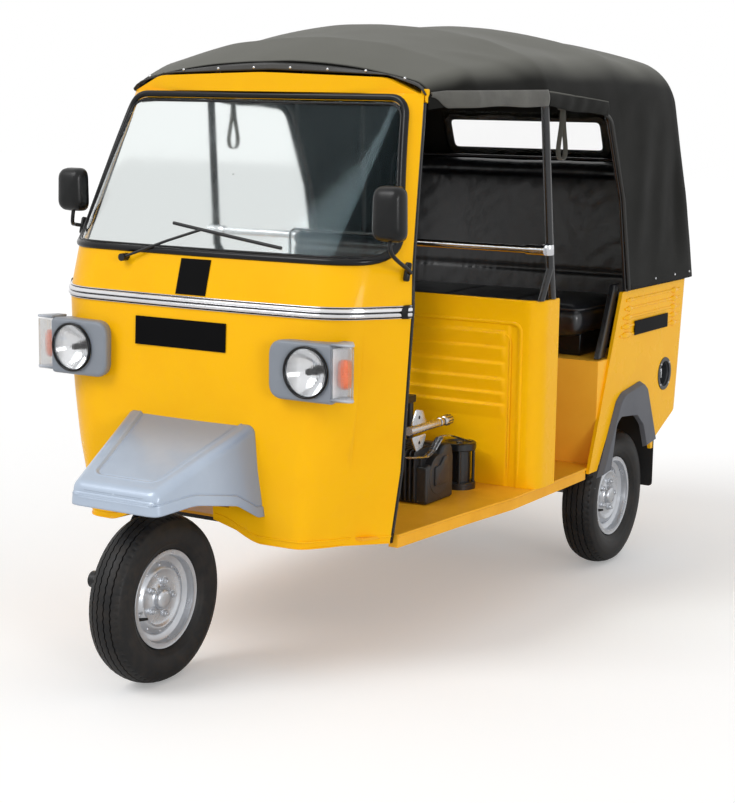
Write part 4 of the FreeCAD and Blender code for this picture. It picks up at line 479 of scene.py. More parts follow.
def blank(owner: bpy.types.Material | bpy.types.World) -> bpy.types.NodeTree:
    """An owner's node tree, emptied."""
    owner.use_nodes = True
    owner.node_tree.nodes.clear()
    return owner.node_tree


class Grain(Enum):
    """How a surface was made, which sets the relief on it."""
    SPRAYED = "sprayed"  # orange peel of stoved paint
    CAST = "cast"  # sand texture of castings and moulded rubber
    WOVEN = "woven"  # plain weave under a coating
    LEATHER = "leather"  # embossed leathercloth
    DRAWN = "drawn"  # fine lines along a rolled or polished bar
    FLUTED = "fluted"  # moulded ribs of a lens


SPRAYED, CAST, WOVEN, LEATHER, DRAWN, FLUTED = Grain


@dataclass(frozen=True)
class PaintedLight:
    """Painted light or shade blended in softly along one axis, from where it starts to where it is full."""
    axis: int
    start: float
    full: float
    colour: str
    both_sides: bool = False
    by_slope: bool = False  # along the surface's own normal, for painted light on parts that face up


@dataclass(frozen=True)
class Finish:
    """One surface: what it is made of and how that looks.

    colour and shade are the two ends of its own variation, grain_mm and depth_mm the size of its relief,
    patch_mm the size of its stains, and patchy how far they go towards shade.
    """
    name: str
    colour: str
    shade: str
    roughness: float
    grain: Grain
    grain_mm: float
    depth_mm: float
    metallic: float = 0.0
    coat: float = 0.0
    patch_mm: float = 120.0
    patchy: float = 0.5
    sheen: float = 0.0
    ior: float = 1.5
    clear: float = 0.0
    stretch: Point = (1.0, 1.0, 1.0)
    gloss: float = 0.5  # specular level
    reflection: str = "#FFFFFF"  # tint of what a pane reflects
    # painted light or shade laid over the colour
    painted_light: Optional[PaintedLight] = None

    def relief(self, tree: bpy.types.NodeTree, coords: bpy.types.NodeSocket) -> bpy.types.NodeSocket:
        """Height of the surface's own texture, worked out from real sizes."""
        scale = 1.0 / (self.grain_mm * MM)
        place = add_node(tree, "Mapping", {"Vector": coords, "Scale": self.stretch})[0]
        if self.grain is WOVEN:
            waves = [add_node(tree, "TexWave",
                              {"Vector": place, "Scale": scale / 6.2832 * 3.1416, "Distortion": 0.6},
                              bands_direction=axis)["Fac"] for axis in ("X", "Y", "Z")]
            pair = add_node(tree, "Math", {0: waves[0], 1: waves[1]}, operation="MAXIMUM")[0]
            return add_node(tree, "Math", {0: pair, 1: waves[2]}, operation="MULTIPLY")[0]
        if self.grain is LEATHER:
            warp = add_node(tree, "TexNoise", {"Vector": place, "Scale": scale * 0.4, "Detail": 2.0})["Color"]
            moved = add_node(tree, "Mix", {0: 0.0008, 6: place, 7: warp}, data_type="RGBA", blend_type="ADD")[2]
            cells = add_node(tree, "TexVoronoi", {"Vector": moved, "Scale": scale}, feature="DISTANCE_TO_EDGE")[0]
            return add_node(tree, "MapRange", {0: cells, 2: 0.35})[0]
        if self.grain is FLUTED:
            return add_node(tree, "TexWave", {"Vector": place, "Scale": scale / 2}, bands_direction="X")["Fac"]
        detail = {SPRAYED: 1.0, CAST: 6.0, DRAWN: 3.0}[self.grain]
        return add_node(tree, "TexNoise", {"Vector": place, "Scale": scale, "Detail": detail})["Fac"]

    def material(self) -> bpy.types.Material:
        """The material, made once and shared."""
        found = bpy.data.materials.get(self.name)
        if found:
            return found
        made = bpy.data.materials.new(self.name)
        tree = blank(made)
        coords = add_node(tree, "TexCoord")["Object"]
        stains = add_node(tree, "TexNoise",
                          {"Vector": coords, "Scale": 1.0 / (self.patch_mm * MM), "Detail": 5.0,
                           "Roughness": 0.6})["Fac"]
        share = add_node(tree, "MapRange", {0: stains, 1: 0.42, 2: 0.75, 3: 0.0, 4: self.patchy})[0]
        tint = add_node(tree, "Mix", {0: share, 6: linear(self.colour), 7: linear(self.shade)}, data_type="RGBA")[2]
        # Painted light or shade: a second colour blended in by place or by slope.
        if self.painted_light:
            source = add_node(tree, "NewGeometry")["Normal"] if self.painted_light.by_slope else coords
            place = add_node(tree, "SeparateXYZ", {0: source})[self.painted_light.axis]
            if self.painted_light.both_sides:
                place = add_node(tree, "Math", {0: place}, operation="ABSOLUTE")[0]
            painted_share = add_node(tree, "MapRange", {0: place, 1: self.painted_light.start, 2: self.painted_light.full},
                             interpolation_type="SMOOTHSTEP")[0]
            tint = add_node(tree, "Mix", {0: painted_share, 6: tint, 7: linear(self.painted_light.colour)}, data_type="RGBA")[2]
        worn = add_node(tree, "MapRange",
                        {0: stains, 3: max(self.roughness - 0.07, 0.02), 4: min(self.roughness + 0.09, 1.0)})[0]
        height = self.relief(tree, coords)
        bump = add_node(tree, "Bump", {"Height": height, "Distance": self.depth_mm * MM, "Strength": 1.0})[0]
        inputs = {"Base Color": tint, "Roughness": worn, "Metallic": self.metallic, "Coat Weight": self.coat,
                  "Coat Roughness": 0.06, "Sheen Weight": self.sheen, "Normal": bump,
                  "Transmission Weight": self.clear}
        if not self.metallic:
            inputs["IOR"] = self.ior
            inputs["Specular IOR Level"] = self.gloss
            inputs["Specular Tint"] = linear(self.reflection)
        skin = add_node(tree, "BsdfPrincipled", inputs)[0]
        if self.clear:
            # Light passes straight through a clear pane to what lies behind it.
            light = add_node(tree, "LightPath")["Is Shadow Ray"]
            through = add_node(tree, "BsdfTransparent", {0: linear(self.colour)})[0]
            skin = add_node(tree, "MixShader", {0: light, 1: skin, 2: through})[0]
        add_node(tree, "OutputMaterial", {0: skin})
        return made


# Steel in stoved enamel: an even colour with faint orange peel under a thin hard gloss.
YELLOW = Finish("stoved_enamel_yellow", "#FCBC0C", "#F8B10A", 0.27, SPRAYED, 5.0, 0.02, coat=0.14, patchy=0.5,
                gloss=0.06)
# The seat riser: the body's enamel in a paler, brighter colour, painted light that lifts the shade under the seat
# deck.
RISER = Finish("stoved_enamel_painted_light", "#FFBE3C", "#F8B232", 0.34, SPRAYED, 5.0, 0.02, coat=0.05, gloss=0.12)
# Silver enamel carries metal flake, so it is a little metallic; it is painted darker towards the cowl, a painted
# shade.
SILVER = Finish("stoved_enamel_silver", "#B2C0D2", "#A4B2C6", 0.32, SPRAYED, 4.0, 0.02, coat=0.3, metallic=0.15,
                painted_light=PaintedLight(1, AXLE_Y - 0.02, AXLE_Y + 0.15, "#8896AC"))
# Injection-moulded housings and flares: fine spark texture, half matt. The housings are painted paler towards their
# outer sides as painted light.
POD = Finish("moulded_abs_grey", "#858B94", "#7A8088", 0.36, CAST, 0.9, 0.015, patch_mm=60, gloss=0.4,
             painted_light=PaintedLight(0, 0.49, 0.545, "#B9BEC6", both_sides=True))
FLARE = Finish("moulded_pp_grey", "#5E6066", "#52545A", 0.45, CAST, 1.2, 0.03, gloss=0.2)
# Rolled stainless strip: mirror bright, with fine lines drawn along it.
TRIM = Finish("polished_stainless_strip", "#E4E4E6", "#CFCFD3", 0.12, DRAWN, 1.5, 0.01, metallic=1.0,
              stretch=(0.05, 0.2, 1.0))
# Extruded rubber: near black, smooth and softly shiny.
SEAL = Finish("extruded_epdm_seal", "#101113", "#191A1D", 0.2, CAST, 1.5, 0.01, gloss=0.25)
# Laminated pane: clear with a faint cool tint in what it mirrors.
SCREEN = Finish("laminated_glass", "#F2F7F6", "#EEF3F2", 0.02, SPRAYED, 300.0, 0.01, clear=1.0, ior=1.25,
                patchy=0.2, reflection="#9FC0CC")
# Pressed and moulded lenses: clear, with vertical flutes that break up the light.
LENS = Finish("pressed_lamp_glass", "#FCFCFC", "#F4F6F8", 0.03, FLUTED, 9.0, 0.25, clear=1.0, ior=1.45, patchy=0.2)
CLEAR_LENS = Finish("moulded_acrylic_clear", "#FAFAFA", "#F2F2F2", 0.06, FLUTED, 5.0, 0.3, clear=1.0, ior=1.4)
# Vapour-coated bowl: a dimpled mirror.
BOWL = Finish("aluminised_reflector", "#F0F1F3", "#DDE0E4", 0.06, CAST, 14.0, 0.4, metallic=1.0)
# White tray: throws the bulb's light forwards.
TRAY_WHITE = Finish("moulded_abs_white", "#E4E6E8", "#D2D4D8", 0.35, CAST, 1.5, 0.02, patch_mm=30)
# Dipped amber glass: a deep even colour under a wet gloss.
BULB = Finish("dipped_bulb_amber", "#E8661A", "#D85410", 0.2, CAST, 3.0, 0.02, coat=0.5)
# Solid red acrylic: fluted under a clear gloss.
RED_LENS = Finish("moulded_acrylic_red", "#A5130F", "#8A0E0C", 0.15, FLUTED, 6.0, 0.4, coat=0.6)
# Moulded nylon: satin black with a fine spark texture.
MIRROR_BLACK = Finish("moulded_nylon_black", "#0C0D0E", "#141517", 0.3, CAST, 0.8, 0.02, gloss=0.3)
# Silvered glass: a flat clean mirror.
MIRROR_FACE = Finish("silvered_glass", "#DDE3E6", "#D2D9DD", 0.03, SPRAYED, 80.0, 0.005, metallic=1.0)
# Printed black plate: flat and matt.
PLATE = Finish("screen_printed_black_plate", "#0B0B0C", "#111112", 0.45, SPRAYED, 6.0, 0.01, gloss=0.04)
# Moulded surround and calendered rubber: dull dark greys with a light grain.
FILLER = Finish("moulded_filler_surround", "#2E3033", "#3A3C40", 0.4, CAST, 1.0, 0.03)
FLAP = Finish("calendered_rubber_flap", "#1B1B1C", "#262627", 0.6, CAST, 2.0, 0.06)
# Coated canvas: a plain weave under dull black PVC, with painted light blended in where it faces up.
HOOD = Finish("pvc_coated_canvas", "#181816", "#11110F", 0.55, WOVEN, 1.6, 0.05, patch_mm=260, patchy=0.9,
              gloss=0.08, painted_light=PaintedLight(2, 0.3, 0.97, "#6C6C66", by_slope=True))
# The front side valance: the same black canvas, painted paler as painted light.
VALANCE = Finish("pvc_coated_canvas_painted_light", "#504F49", "#3F3E3A", 0.5, WOVEN, 1.6, 0.05, sheen=0.15, patch_mm=60,
                 patchy=0.9)
# Clear soft PVC: slightly wavy, nearly colourless.
PANE = Finish("clear_pvc_window", "#F8F8F8", "#EFEFEF", 0.05, SPRAYED, 40.0, 0.05, clear=1.0, ior=1.1, patchy=0.2)
# Sewn binding: woven tape under the same black coating.
HOOD_BAND = Finish("pvc_binding_black", "#232322", "#2D2D2B", 0.45, WOVEN, 1.4, 0.04, patch_mm=90)
# Lacquered tube: black and glossy along its length.
TUBE = Finish("lacquered_steel_tube", "#17181B", "#202225", 0.22, DRAWN, 1.5, 0.01, coat=0.3)
# Nickel plate: bright and warm, with fine drawn lines.
NICKEL = Finish("nickel_plated_tube", "#D6D7DA", "#BDBFC4", 0.16, DRAWN, 1.2, 0.01, metallic=1.0)
# Nylon webbing: a coarse matt weave with a soft sheen.
WEB = Finish("nylon_webbing", "#55544D", "#48473F", 0.75, WOVEN, 1.2, 0.15, sheen=0.15, patch_mm=40)
# Embossed leathercloth: small pebbles under a thin gloss.
VINYL = Finish("embossed_leathercloth", "#17181B", "#24262A", 0.3, LEATHER, 2.2, 0.06, coat=0.15, patch_mm=160,
               patchy=0.8)
# Dipped and sprayed chassis blacks: dull, uneven, dusted with road dirt.
TRAY = Finish("dipped_steel_black", "#222326", "#2C2D30", 0.45, CAST, 2.0, 0.02)
FRAME = Finish("chassis_black", "#131416", "#221F1D", 0.55, CAST, 2.5, 0.06, patch_mm=70, gloss=0.3)
# Floor enamel: the body's colour, trodden duller.
FLOOR = Finish("stoved_enamel_floor", "#F6B22A", "#E8A21E", 0.4, SPRAYED, 4.0, 0.03, coat=0.05, patchy=0.8,
               gloss=0.12)
# Sand-cast alloy and iron: rough, stained, half metallic.
ALLOY = Finish("sand_cast_alloy", "#2C2C2E", "#1E1E20", 0.42, CAST, 3.0, 0.2, metallic=0.3, patch_mm=50, patchy=0.9)
DRIVE = Finish("cast_iron_grey", "#4C4D50", "#3A3633", 0.6, CAST, 3.0, 0.2, metallic=0.4, patch_mm=60, patchy=0.9)
# Moulded polypropylene: smooth dark plastic.
CANISTER = Finish("moulded_polypropylene", "#121315", "#1C1D21", 0.3, CAST, 1.4, 0.03)
# Painted steel: satin black over a slight grain.
STEEL = Finish("painted_steel_black", "#121315", "#1C1D1F", 0.35, CAST, 2.0, 0.03, gloss=0.4)
# Extruded hose rubber: plain dull black.
HOSE = Finish("extruded_hose_rubber", "#151515", "#1F1F1F", 0.5, CAST, 1.2, 0.03)
# Vulcanised rubber: charcoal, browner where dust has settled.
TYRE = Finish("vulcanised_tyre_rubber", "#141415", "#2B2622", 0.5, CAST, 1.6, 0.08, patch_mm=35, patchy=0.8,
              gloss=0.3)
# Lacquered wheel steel: aluminium flake under clear lacquer.
WHEEL = Finish("aluminium_lacquered_steel", "#C8CBD0", "#AEB2B8", 0.28, SPRAYED, 3.0, 0.03, metallic=0.75, coat=0.3,
               patch_mm=50)
# Zinc plate: pale bright metal with cloudy spots.
ZINC = Finish("zinc_plated_fastener", "#C9CACC", "#A9ABAF", 0.25, DRAWN, 0.8, 0.02, metallic=1.0, patch_mm=15)
# Machined steel: bare turned metal with brown stains.
SHAFT = Finish("machined_shaft_steel", "#8F9296", "#6F6A64", 0.35, DRAWN, 1.0, 0.03, metallic=1.0, patch_mm=40)


def place(piece: Object, body: str, slot: str, finish: Finish, *nodes: str) -> Object:
    """Dresses a piece, hangs it on its body and hides the nodes it stands for."""
    piece.data.materials.clear()
    piece.data.materials.append(finish.material())
    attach(piece, body)
    if nodes:
        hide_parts(*nodes)
    LOG.info("%s: %d faces", piece.name, len(piece.data.polygons))
    return piece


def dress_node(node: str, finish: Finish) -> None:
    """Gives a kept CAD node its finish."""
    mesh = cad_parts[node].data
    mesh.materials.clear()
    mesh.materials.append(finish.material())


# ================================================================ carried-over forms
@dataclass(frozen=True)
class CarriedForm:
    """A rigid CAD form that gets soft edges and its finish, and a slight bend where it has one."""
    node: str
    piece: str
    body: str
    slot: str
    finish: Finish
    edge_mm: float = 0.0
    bend: Optional[Callable[[Array], Array]] = None


def smoothstep(value: Array, low: float, high: float) -> Array:
    """0 below low, 1 above high, and 3t^2 - 2t^3 between."""
    t = np.clip((value - low) / (high - low), 0, 1)
    return t * t * (3 - 2 * t)


def pole_shift(z: Array) -> Array:
    """How far out and aft of the bow a side pole stands at height z, for the side poles splay to their V feet."""
    z = np.asarray(z, dtype=float)
    out = np.interp(z, [1.0, 1.13, 1.182, 1.66, 1.8], [0.0, 0.02, 0.019, 0.008, 0.0])
    aft = np.interp(z, [1.0, 1.13, 1.182, 1.66, 1.8], [0.0, 0.066, 0.048, 0.013, 0.0])
    return xyz(out, aft, 0.0)


def splay_poles(points: Array) -> Array:
    """Splays the side poles and their V feet; the bows behind them stay."""
    near = ((points[:, 1] < 1.3) & (np.abs(points[:, 0]) > 0.55))[:, None]
    side = xyz(np.sign(points[:, 0]), 1.0, 1.0)
    return points + pole_shift(points[:, 2]) * side * near


def set_rail(points: Array) -> Array:
    """Carries the grab rail aft with the poles."""
    return points + row((0.0, float(pole_shift(1.182)[1]), 0.0))


def tuck_cowl(points: Array) -> Array:
    """Draws the cowl's lower corners in, and lifts its lower edge towards the wheel's gap."""
    x, y, z = points.T
    low = np.clip((0.82 - z) / 0.425, 0, 1) ** 1.3
    corner = smoothstep(np.abs(x), 0.34, 0.48) * (1 - smoothstep(y, 0.31, 0.385))
    gap = np.where(x > 0, x - 0.09, -0.146 - x)
    lift = 0.052 * (1 - smoothstep(gap, 0.0, 0.16)) * (1 - smoothstep(z, 0.4, 0.5))
    return xyz(x - np.sign(x) * 0.05 * low * corner, y, z + lift)


CARRIED = [
    CarriedForm("front_shell", "cowl_panel", "chassis", "body_yellow", YELLOW, bend=tuck_cowl),
    CarriedForm("rear_body", "rear_body_panel", "chassis", "body_yellow", YELLOW),
    CarriedForm("floor_pan", "floor_panel", "chassis", "floor_paint", FLOOR),
    CarriedForm("seat_box", "seat_riser", "chassis", "riser_orange", RISER),
    CarriedForm("arch_flares", "wheel_arch_flares", "chassis", "flare_grey", FLARE, 2.0),
    CarriedForm("door_edge_strips", "door_edge_seals", "chassis", "seal_black", SEAL, 2.0),
    CarriedForm("fuel_filler", "filler_surround", "chassis", "filler_grey", FILLER, 1.0),
    CarriedForm("hood_frame", "hood_tubes", "chassis", "hood_tube", TUBE, bend=splay_poles),
    CarriedForm("grab_rail", "grab_bar", "chassis", "rail_bright", NICKEL, bend=set_rail),
    CarriedForm("engine_block", "engine_case", "chassis", "engine_alloy", ALLOY, 1.5),
    CarriedForm("steering_column", "handlebar_and_column", "steering", "steel_black", STEEL),
    CarriedForm("front_fork", "fork_arm", "steering", "steel_black", STEEL, 1.0),
    CarriedForm("brake_hose", "brake_hose_tube", "steering", "hose_rubber", HOSE),
]
KEPT = {
    "wiper": STEEL, "blank_plates": PLATE, "tail_lamps": RED_LENS, "mudflaps": FLAP,
    "driver_seat_frame": TRAY, "chassis_frame": FRAME, "differential": DRIVE, "trailing_arms": FRAME,
        "dampers": STEEL,
    "drive_shaft_left": SHAFT, "drive_shaft_right": SHAFT,
}


def carry_forms() -> None:
    """Dresses the carried-over forms, bent where they are to be, and the nodes that stay as they are."""
    for form in CARRIED:
        piece = cad_form(form.node, form.piece, form.edge_mm * MM)
        if form.bend:
            axle = row((0.0, AXLE_Y, 0.0))
            move_vertices(piece, form.bend(vertices_of(piece) - axle) + axle)
        place(piece, form.body, form.slot, form.finish, form.node)
    for node, finish in KEPT.items():
        dress_node(node, finish)


# ================================================================ hood
def ridge(points: Array, start: Sequence[float], end: Sequence[float], width: float, height: float) -> Array:
    """Height of a fold: a bell of the distance to the line from start to end, fading at both ends."""
    start, end = row(start), row(end)
    run = end - start
    share = np.clip(((points - start) @ run) / (run @ run), 0, 1)
    distance = np.linalg.norm(points - start - share[..., None] * run, axis=-1)
    return height * bell(distance, width) * (1 - np.abs(2 * share - 1) ** 3 * 0.9)


def crumple(points: Array, seed: int, waves: int, length: float, height: float) -> Array:
    """Small even unrest of cloth: a sum of sine waves of about one length in chance directions."""
    chance = np.random.default_rng(seed)
    directions = unit(chance.normal(size=(3, waves))) / (length * chance.uniform(0.7, 1.6, waves)) * math.tau
    return height * np.sin(points @ directions + chance.uniform(0, math.tau, waves)).sum(-1) / math.sqrt(waves)


def normals_of(points: Array) -> Array:
    """Unit normals of a grid of points: the cross product of its two differences."""
    return unit(np.cross(np.gradient(points, axis=1), np.gradient(points, axis=0)))


@dataclass
class Hood:
    """Coated canvas stretched over the bows, with its bindings, studs, valance and rear window."""
    # distance from the front axle, half width, crown height, roof radius, shoulder radius
    sections: Array = field(default_factory=lambda: row([
        (0.59, 0.522, 1.74, 2.14, 0.06), (0.77, 0.585, 1.826, 1.51, 0.1), (1.112, 0.64, 1.868, 1.65, 0.13),
        (1.65, 0.642, 1.876, 1.62, 0.14), (2.19, 0.636, 1.842, 1.84, 0.14)]))
    # y and z of the side opening's hem, from the front to the rear body
    hem: Array = field(default_factory=lambda: rounded(
        [(0.575, 1.608), (0.65, 1.618), (1.134, 1.625), (1.6, 1.592), (1.733, 1.31), (1.806, 1.0)],
        [0, 0.05, 0.5, 0.09, 0.06, 0], steps=8))
    bows: Sequence[float] = (0.59, 1.112, 1.65, 2.104)
    sag: float = 0.011  # of the roof between two bows
    bottom: float = 1.0
    rear_y: float = 2.456  # rear wall at the bottom
    rear_lean: float = 0.276 / 0.716  # its lean forward, per metre of height
    rear_round: float = 0.09
    cloth: float = 0.003
    window_half: float = 0.325
    window: tuple[float, float] = (1.44, 1.57)
    # start, end, width and height of the folds that the bows and the side poles pull into the cloth
    folds: Sequence[tuple[Point, Point, float, float]] = (
        ((0.62, 1.112, 1.66), (0.36, 1.112, 1.86), 0.03, 0.004),
                                                          ((0.62, 1.08, 1.68), (0.4, 0.84, 1.82), 0.035, 0.005),
        ((0.62, 1.15, 1.68), (0.46, 1.42, 1.84), 0.04, 0.004), ((0.6, 1.6, 1.62), (0.5, 1.74, 1.82), 0.035, 0.005),
        ((0.62, 1.66, 1.6), (0.55, 2.06, 1.78), 0.05, 0.006), ((0.64, 1.9, 1.6), (0.64, 1.86, 1.1), 0.06, 0.006),
        ((0.64, 2.06, 1.55), (0.64, 2.05, 1.05), 0.055, 0.005),
                                                          ((0.64, 2.17, 1.5), (0.64, 2.24, 1.06), 0.045, -0.006),
        ((0.6, 0.66, 1.66), (0.44, 0.9, 1.81), 0.03, 0.004), ((0.3, 0.62, 1.78), (0.24, 1.0, 1.85), 0.06, 0.003),
        ((0.45, 2.4, 1.1), (0.3, 2.22, 1.6), 0.06, 0.005), ((0.1, 2.44, 1.06), (0.06, 2.28, 1.4), 0.06, 0.004))

    def section(self, y: Array) -> tuple[Array, ...]:
        """Half width, crown, both radii, and the shoulder's centre from the roof's: across and up."""
        half, crown, roof, shoulder = (np.interp(y, self.sections[:, 0], self.sections[:, k]) for k in range(1, 5))
        across = half - shoulder
        return half, crown, roof, shoulder, across, np.sqrt((roof - shoulder) ** 2 - across ** 2)

    def at(self, y: Array, kind: Array, share: Array) -> Array:
        """Points of the skin.

        A section is a straight side up from the hem, a shoulder arc, and a roof arc about a centre under the crown.

        Args:
            y: distances from the front axle.
            kind: 0 on the side, 1 on the shoulder, 2 on the roof.
            share: how far along that stretch, 0 to 1.

        Returns:
            Points on the left half.
        """
        half, crown, roof, shoulder, across, rise = self.section(y)
        spring = crown - roof + rise
        lean = np.arctan2(rise, across)
        hem = np.interp(y, self.hem[:, 0], self.hem[:, 1])
        angle = np.where(kind == 1, lean * share, lean + (math.pi / 2 - lean) * share)
        x = np.select([kind == 0, kind == 1], [half, across + shoulder * np.cos(angle)], roof * np.cos(angle))
        z = np.select([kind == 0, kind == 1], [hem + (spring - hem) * share, spring + shoulder * np.sin(angle)],
                      crown - roof + roof * np.sin(angle))
        return xyz(x, y, z)

    def skin(self) -> Array:
        """Grid of the whole hood: along the roof, round the rear edge, and down the rear wall to its foot."""
        counts = (26, 12, 34)  # grid columns on the side, the shoulder and the roof
        kind = np.repeat([0, 1, 2], counts)
        share = np.concatenate([np.linspace(0, 1, n, endpoint=n == counts[-1]) for n in counts])
        full = self.at(np.full(len(kind), self.sections[-1, 0]), kind, share)
        cut = self.rear_y - (full[:, 2] - self.bottom) * self.rear_lean
        front = self.sections[0, 0]
        s = np.linspace(0, 1, 130)[:, None]
        body = self.at(front + s * (cut - self.rear_round - front), kind[None], share[None])
        corner = xyz(body[-1, :, 0], cut, body[-1, :, 2])
        foot = row((0.0, self.rear_y, self.bottom))
        start, end = body[-1], corner + unit(foot - corner) * self.rear_round
        t = np.linspace(0, 1, 9)[1:, None, None]
        bend = (1 - t) ** 2 * start + 2 * t * (1 - t) * corner + t ** 2 * end
        f = np.linspace(0, 1, 40)[1:, None, None]
        left = np.concatenate([body, bend, end + f * (foot - end)])
        right = left[:, -2::-1] * row((-1, 1, 1))
        grid = np.concatenate([left, right], axis=1)
        sides = xyz(np.abs(grid[..., 0]), grid[..., 1], grid[..., 2])
        lift = sum(ridge(sides, *fold) for fold in self.folds)
        lift = lift + crumple(grid, 4, 9, 0.3, 0.002) + crumple(grid, 7, 9, 0.09, 0.0006)
        gap = np.interp(grid[..., 1], self.bows, np.arange(float(len(self.bows))))
        top = np.clip((grid[..., 2] - 1.7) / 0.12, 0, 1)
        lift = lift - self.sag * np.sin(math.pi * (gap % 1)) ** 2 * top
        wall = np.clip((grid[..., 1] - 2.2) / 0.1, 0, 1)
        lift = lift * np.clip((grid[..., 2] - self.bottom) / 0.05, 0.15, 1) + wall * self.rear_belly(grid[..., 2])
        push = normals_of(grid)
        push = push * np.where(push @ row((0, 0, 1)) + (push * (grid - row((0, 1.4, 1.3)))).sum(-1) > 0, 1.0,
                               -1.0)[..., None]
        push[-1] = 0
        return grid + push * lift[..., None]

    def canopy(self) -> Object:
        """The canvas as one sheet with its rear window cut out."""
        hood = Shape().add(self.skin()).build("hood_canvas", outward=False, smooth=80)
        bm = bmesh.new()
        bm.from_mesh(hood.data)
        low, high = self.window
        rear = 2.18 + AXLE_Y  # behind the last bow
        for at, normal in (((self.window_half, 0, 0), X_AXIS), ((-self.window_half, 0, 0), X_AXIS),
                           ((0, 0, low), Z_AXIS), ((0, 0, high), Z_AXIS)):
            middles = [(f, f.calc_center_median()) for f in bm.faces]
            wall = [f for f, middle in middles if middle.y > rear and abs(middle.x) < 0.5]
            around = {v for f in wall for v in f.verts} | {e for f in wall for e in f.edges} | set(wall)
            bmesh.ops.bisect_plane(bm, geom=list(around), plane_co=at, plane_no=normal)
        middles = [(f, f.calc_center_median()) for f in bm.faces]
        gone = [f for f, middle in middles
                if middle.y > rear and abs(middle.x) < self.window_half and low < middle.z < high]
        bmesh.ops.delete(bm, geom=gone, context="FACES")
        bm.to_mesh(hood.data)
        bm.free()
        hood.data.shade_smooth()
        thicken(hood, self.cloth)
        return hood

    @staticmethod
    def rear_belly(z: Array) -> Array:
        """How far the rear wall bellies out: half a sine wave over its height."""
        return 0.006 * np.sin(np.clip((z - 1.0) / 0.7, 0, 1) * math.pi)

    def on_wall(self, x: Array, z: Array, out: float) -> Array:
        """Points on the rear wall, stood off it by out."""
        lean = math.hypot(1, self.rear_lean)
        y = self.rear_y - (z - self.bottom) * self.rear_lean + (out + self.rear_belly(z)) * lean
        return xyz(x, y, z)

    def window_parts(self) -> tuple[Object, Object]:
        """Clear pane behind the opening and the sewn binding round it."""
        low, high = self.window
        x, z = np.meshgrid(np.linspace(-1, 1, 24) * (self.window_half + 0.02),
                           np.linspace(low - 0.02, high + 0.02, 8))
        pane = Shape().add(self.on_wall(x, z, -0.004)).sheet("rear_window_pane", 0.0008)
        loop = rounded_box((-self.window_half, low), (self.window_half, high), 0.034, 8)
        path = self.on_wall(loop[:, 0], loop[:, 1], 0.0022)
        binding = Shape().tube(path, 0.015, sides=10, up=(0.0, 1.0, 0.36), closed=True, flat=0.16)
        return pane, binding.build("rear_window_binding")

    def band(self, start: float, end: float, height: float, name: str) -> Object:
        """A doubled strip along the side hem, on both sides."""
        y, share = np.meshgrid(np.linspace(start, end, 110), np.linspace(0, 1, 9), indexing="ij")
        low = -0.004 + (height - 0.006) * (1 - smoothstep(y, start, start + 0.06)) * (start < 0.7)
        up = low + (height - low) * share
        hem = np.interp(y, self.hem[:, 0], self.hem[:, 1])
        _, crown, roof, shoulder, across, rise = self.section(y)
        spring = crown - roof + rise
        z = hem + up
        over = np.clip(z - spring, 0, shoulder * 0.98)
        x = across + np.sqrt(shoulder ** 2 - over ** 2) + 0.0045
        strip = xyz(x, y, z)
        strip[..., 0] += crumple(strip, 12, 8, 0.055, 0.0024) + 0.004 * np.sin(share * math.pi)
        strip[..., 2] += crumple(strip, 15, 6, 0.14, 0.0028) * (1 - share)
        return Shape().add(strip).both_sides().sheet(name, 0.003)

    @staticmethod
    def header_line(x: Array) -> Array:
        """Height of the front binding's lower edge over the roof header."""
        return np.interp(np.abs(x), [0, 0.4, 0.502, 0.519], [1.7125, 1.7005, 1.668, 1.652])

    def front_band(self) -> Object:
        """Black binding that hangs from the hood's front edge over the roof header."""
        x = np.linspace(-0.519, 0.519, 80)
        _, crown, roof, shoulder, across, rise = self.section(self.sections[0, 0])
        over = np.abs(x) - across
        joint = roof * across / (roof - shoulder)
        top = np.where(np.abs(x) <= joint, crown - roof + np.sqrt(roof ** 2 - x ** 2),
                       crown - roof + rise + np.sqrt(np.maximum(shoulder ** 2 - np.maximum(over, 0) ** 2, 0)))
        low = self.header_line(x)
        s = np.linspace(0, 1, 6)[:, None]
        z = top + 0.002 + (low + 0.004 - top) * s
        y = 0.6 - 0.022 * np.minimum(s * 3, 1) - 0.006 * s
        grid = xyz(x, y, z)
        return Shape().add(grid).sheet("hood_front_binding", 0.003)

    def studs(self) -> Object:
        """Press studs: along the front binding, the rear hem and the rear wall's foot."""
        shape = Shape()
        dome = [(0.0, 0.0046), (0.001, 0.0046), (0.0024, 0.0034), (0.003, 0.0012)]
        for x in np.linspace(-0.455, 0.455, 8):
            shape.lathe(dome, (float(x), 0.5735, float(self.header_line(x)) + 0.014), (0.0, -1.0, 0.1), 12)
        for y in (1.86, 2.04, 2.22, 2.36):
            for side in (1, -1):
                shape.lathe(dome, (side * 0.639, y, 1.022), (float(side), 0.0, 0.0), 12)
        for x in (-0.45, -0.15, 0.15, 0.45):
            shape.lathe(dome, tuple(self.on_wall(row(x), row(1.025), 0.0)), (0.0, 1.0, 0.36), 12)
        return shape.build("hood_studs")

    def hem_piping(self) -> Object:
        """Rolled edge of the cloth down the rear quarter's front edge."""
        part = self.hem[self.hem[:, 0] > 1.45]
        path = xyz(0.639, part[:, 0], part[:, 1])
        path[0, 0] = 0.64
        shape = Shape().tube(resample(path, 60), 0.0065, sides=8, up=X_AXIS).both_sides()
        return shape.build("hood_rolled_edge")

    def build(self) -> None:
        """All of the hood, on the chassis."""
        canvas = place(self.canopy(), "chassis", "hood_cloth", HOOD, "hood_canopy")
        pane, binding = self.window_parts()
        sewn = [place(piece, "chassis", "hood_cloth", finish) for piece, finish in (
            (pane, PANE), (binding, HOOD_BAND), (self.front_band(), HOOD_BAND), (self.studs(), ZINC),
            (self.hem_piping(), HOOD_BAND), (self.band(0.6, 1.116, 0.046, "side_valance_front"), VALANCE),
            (self.band(1.12, 1.56, 0.042, "side_valance_rear"), HOOD))]


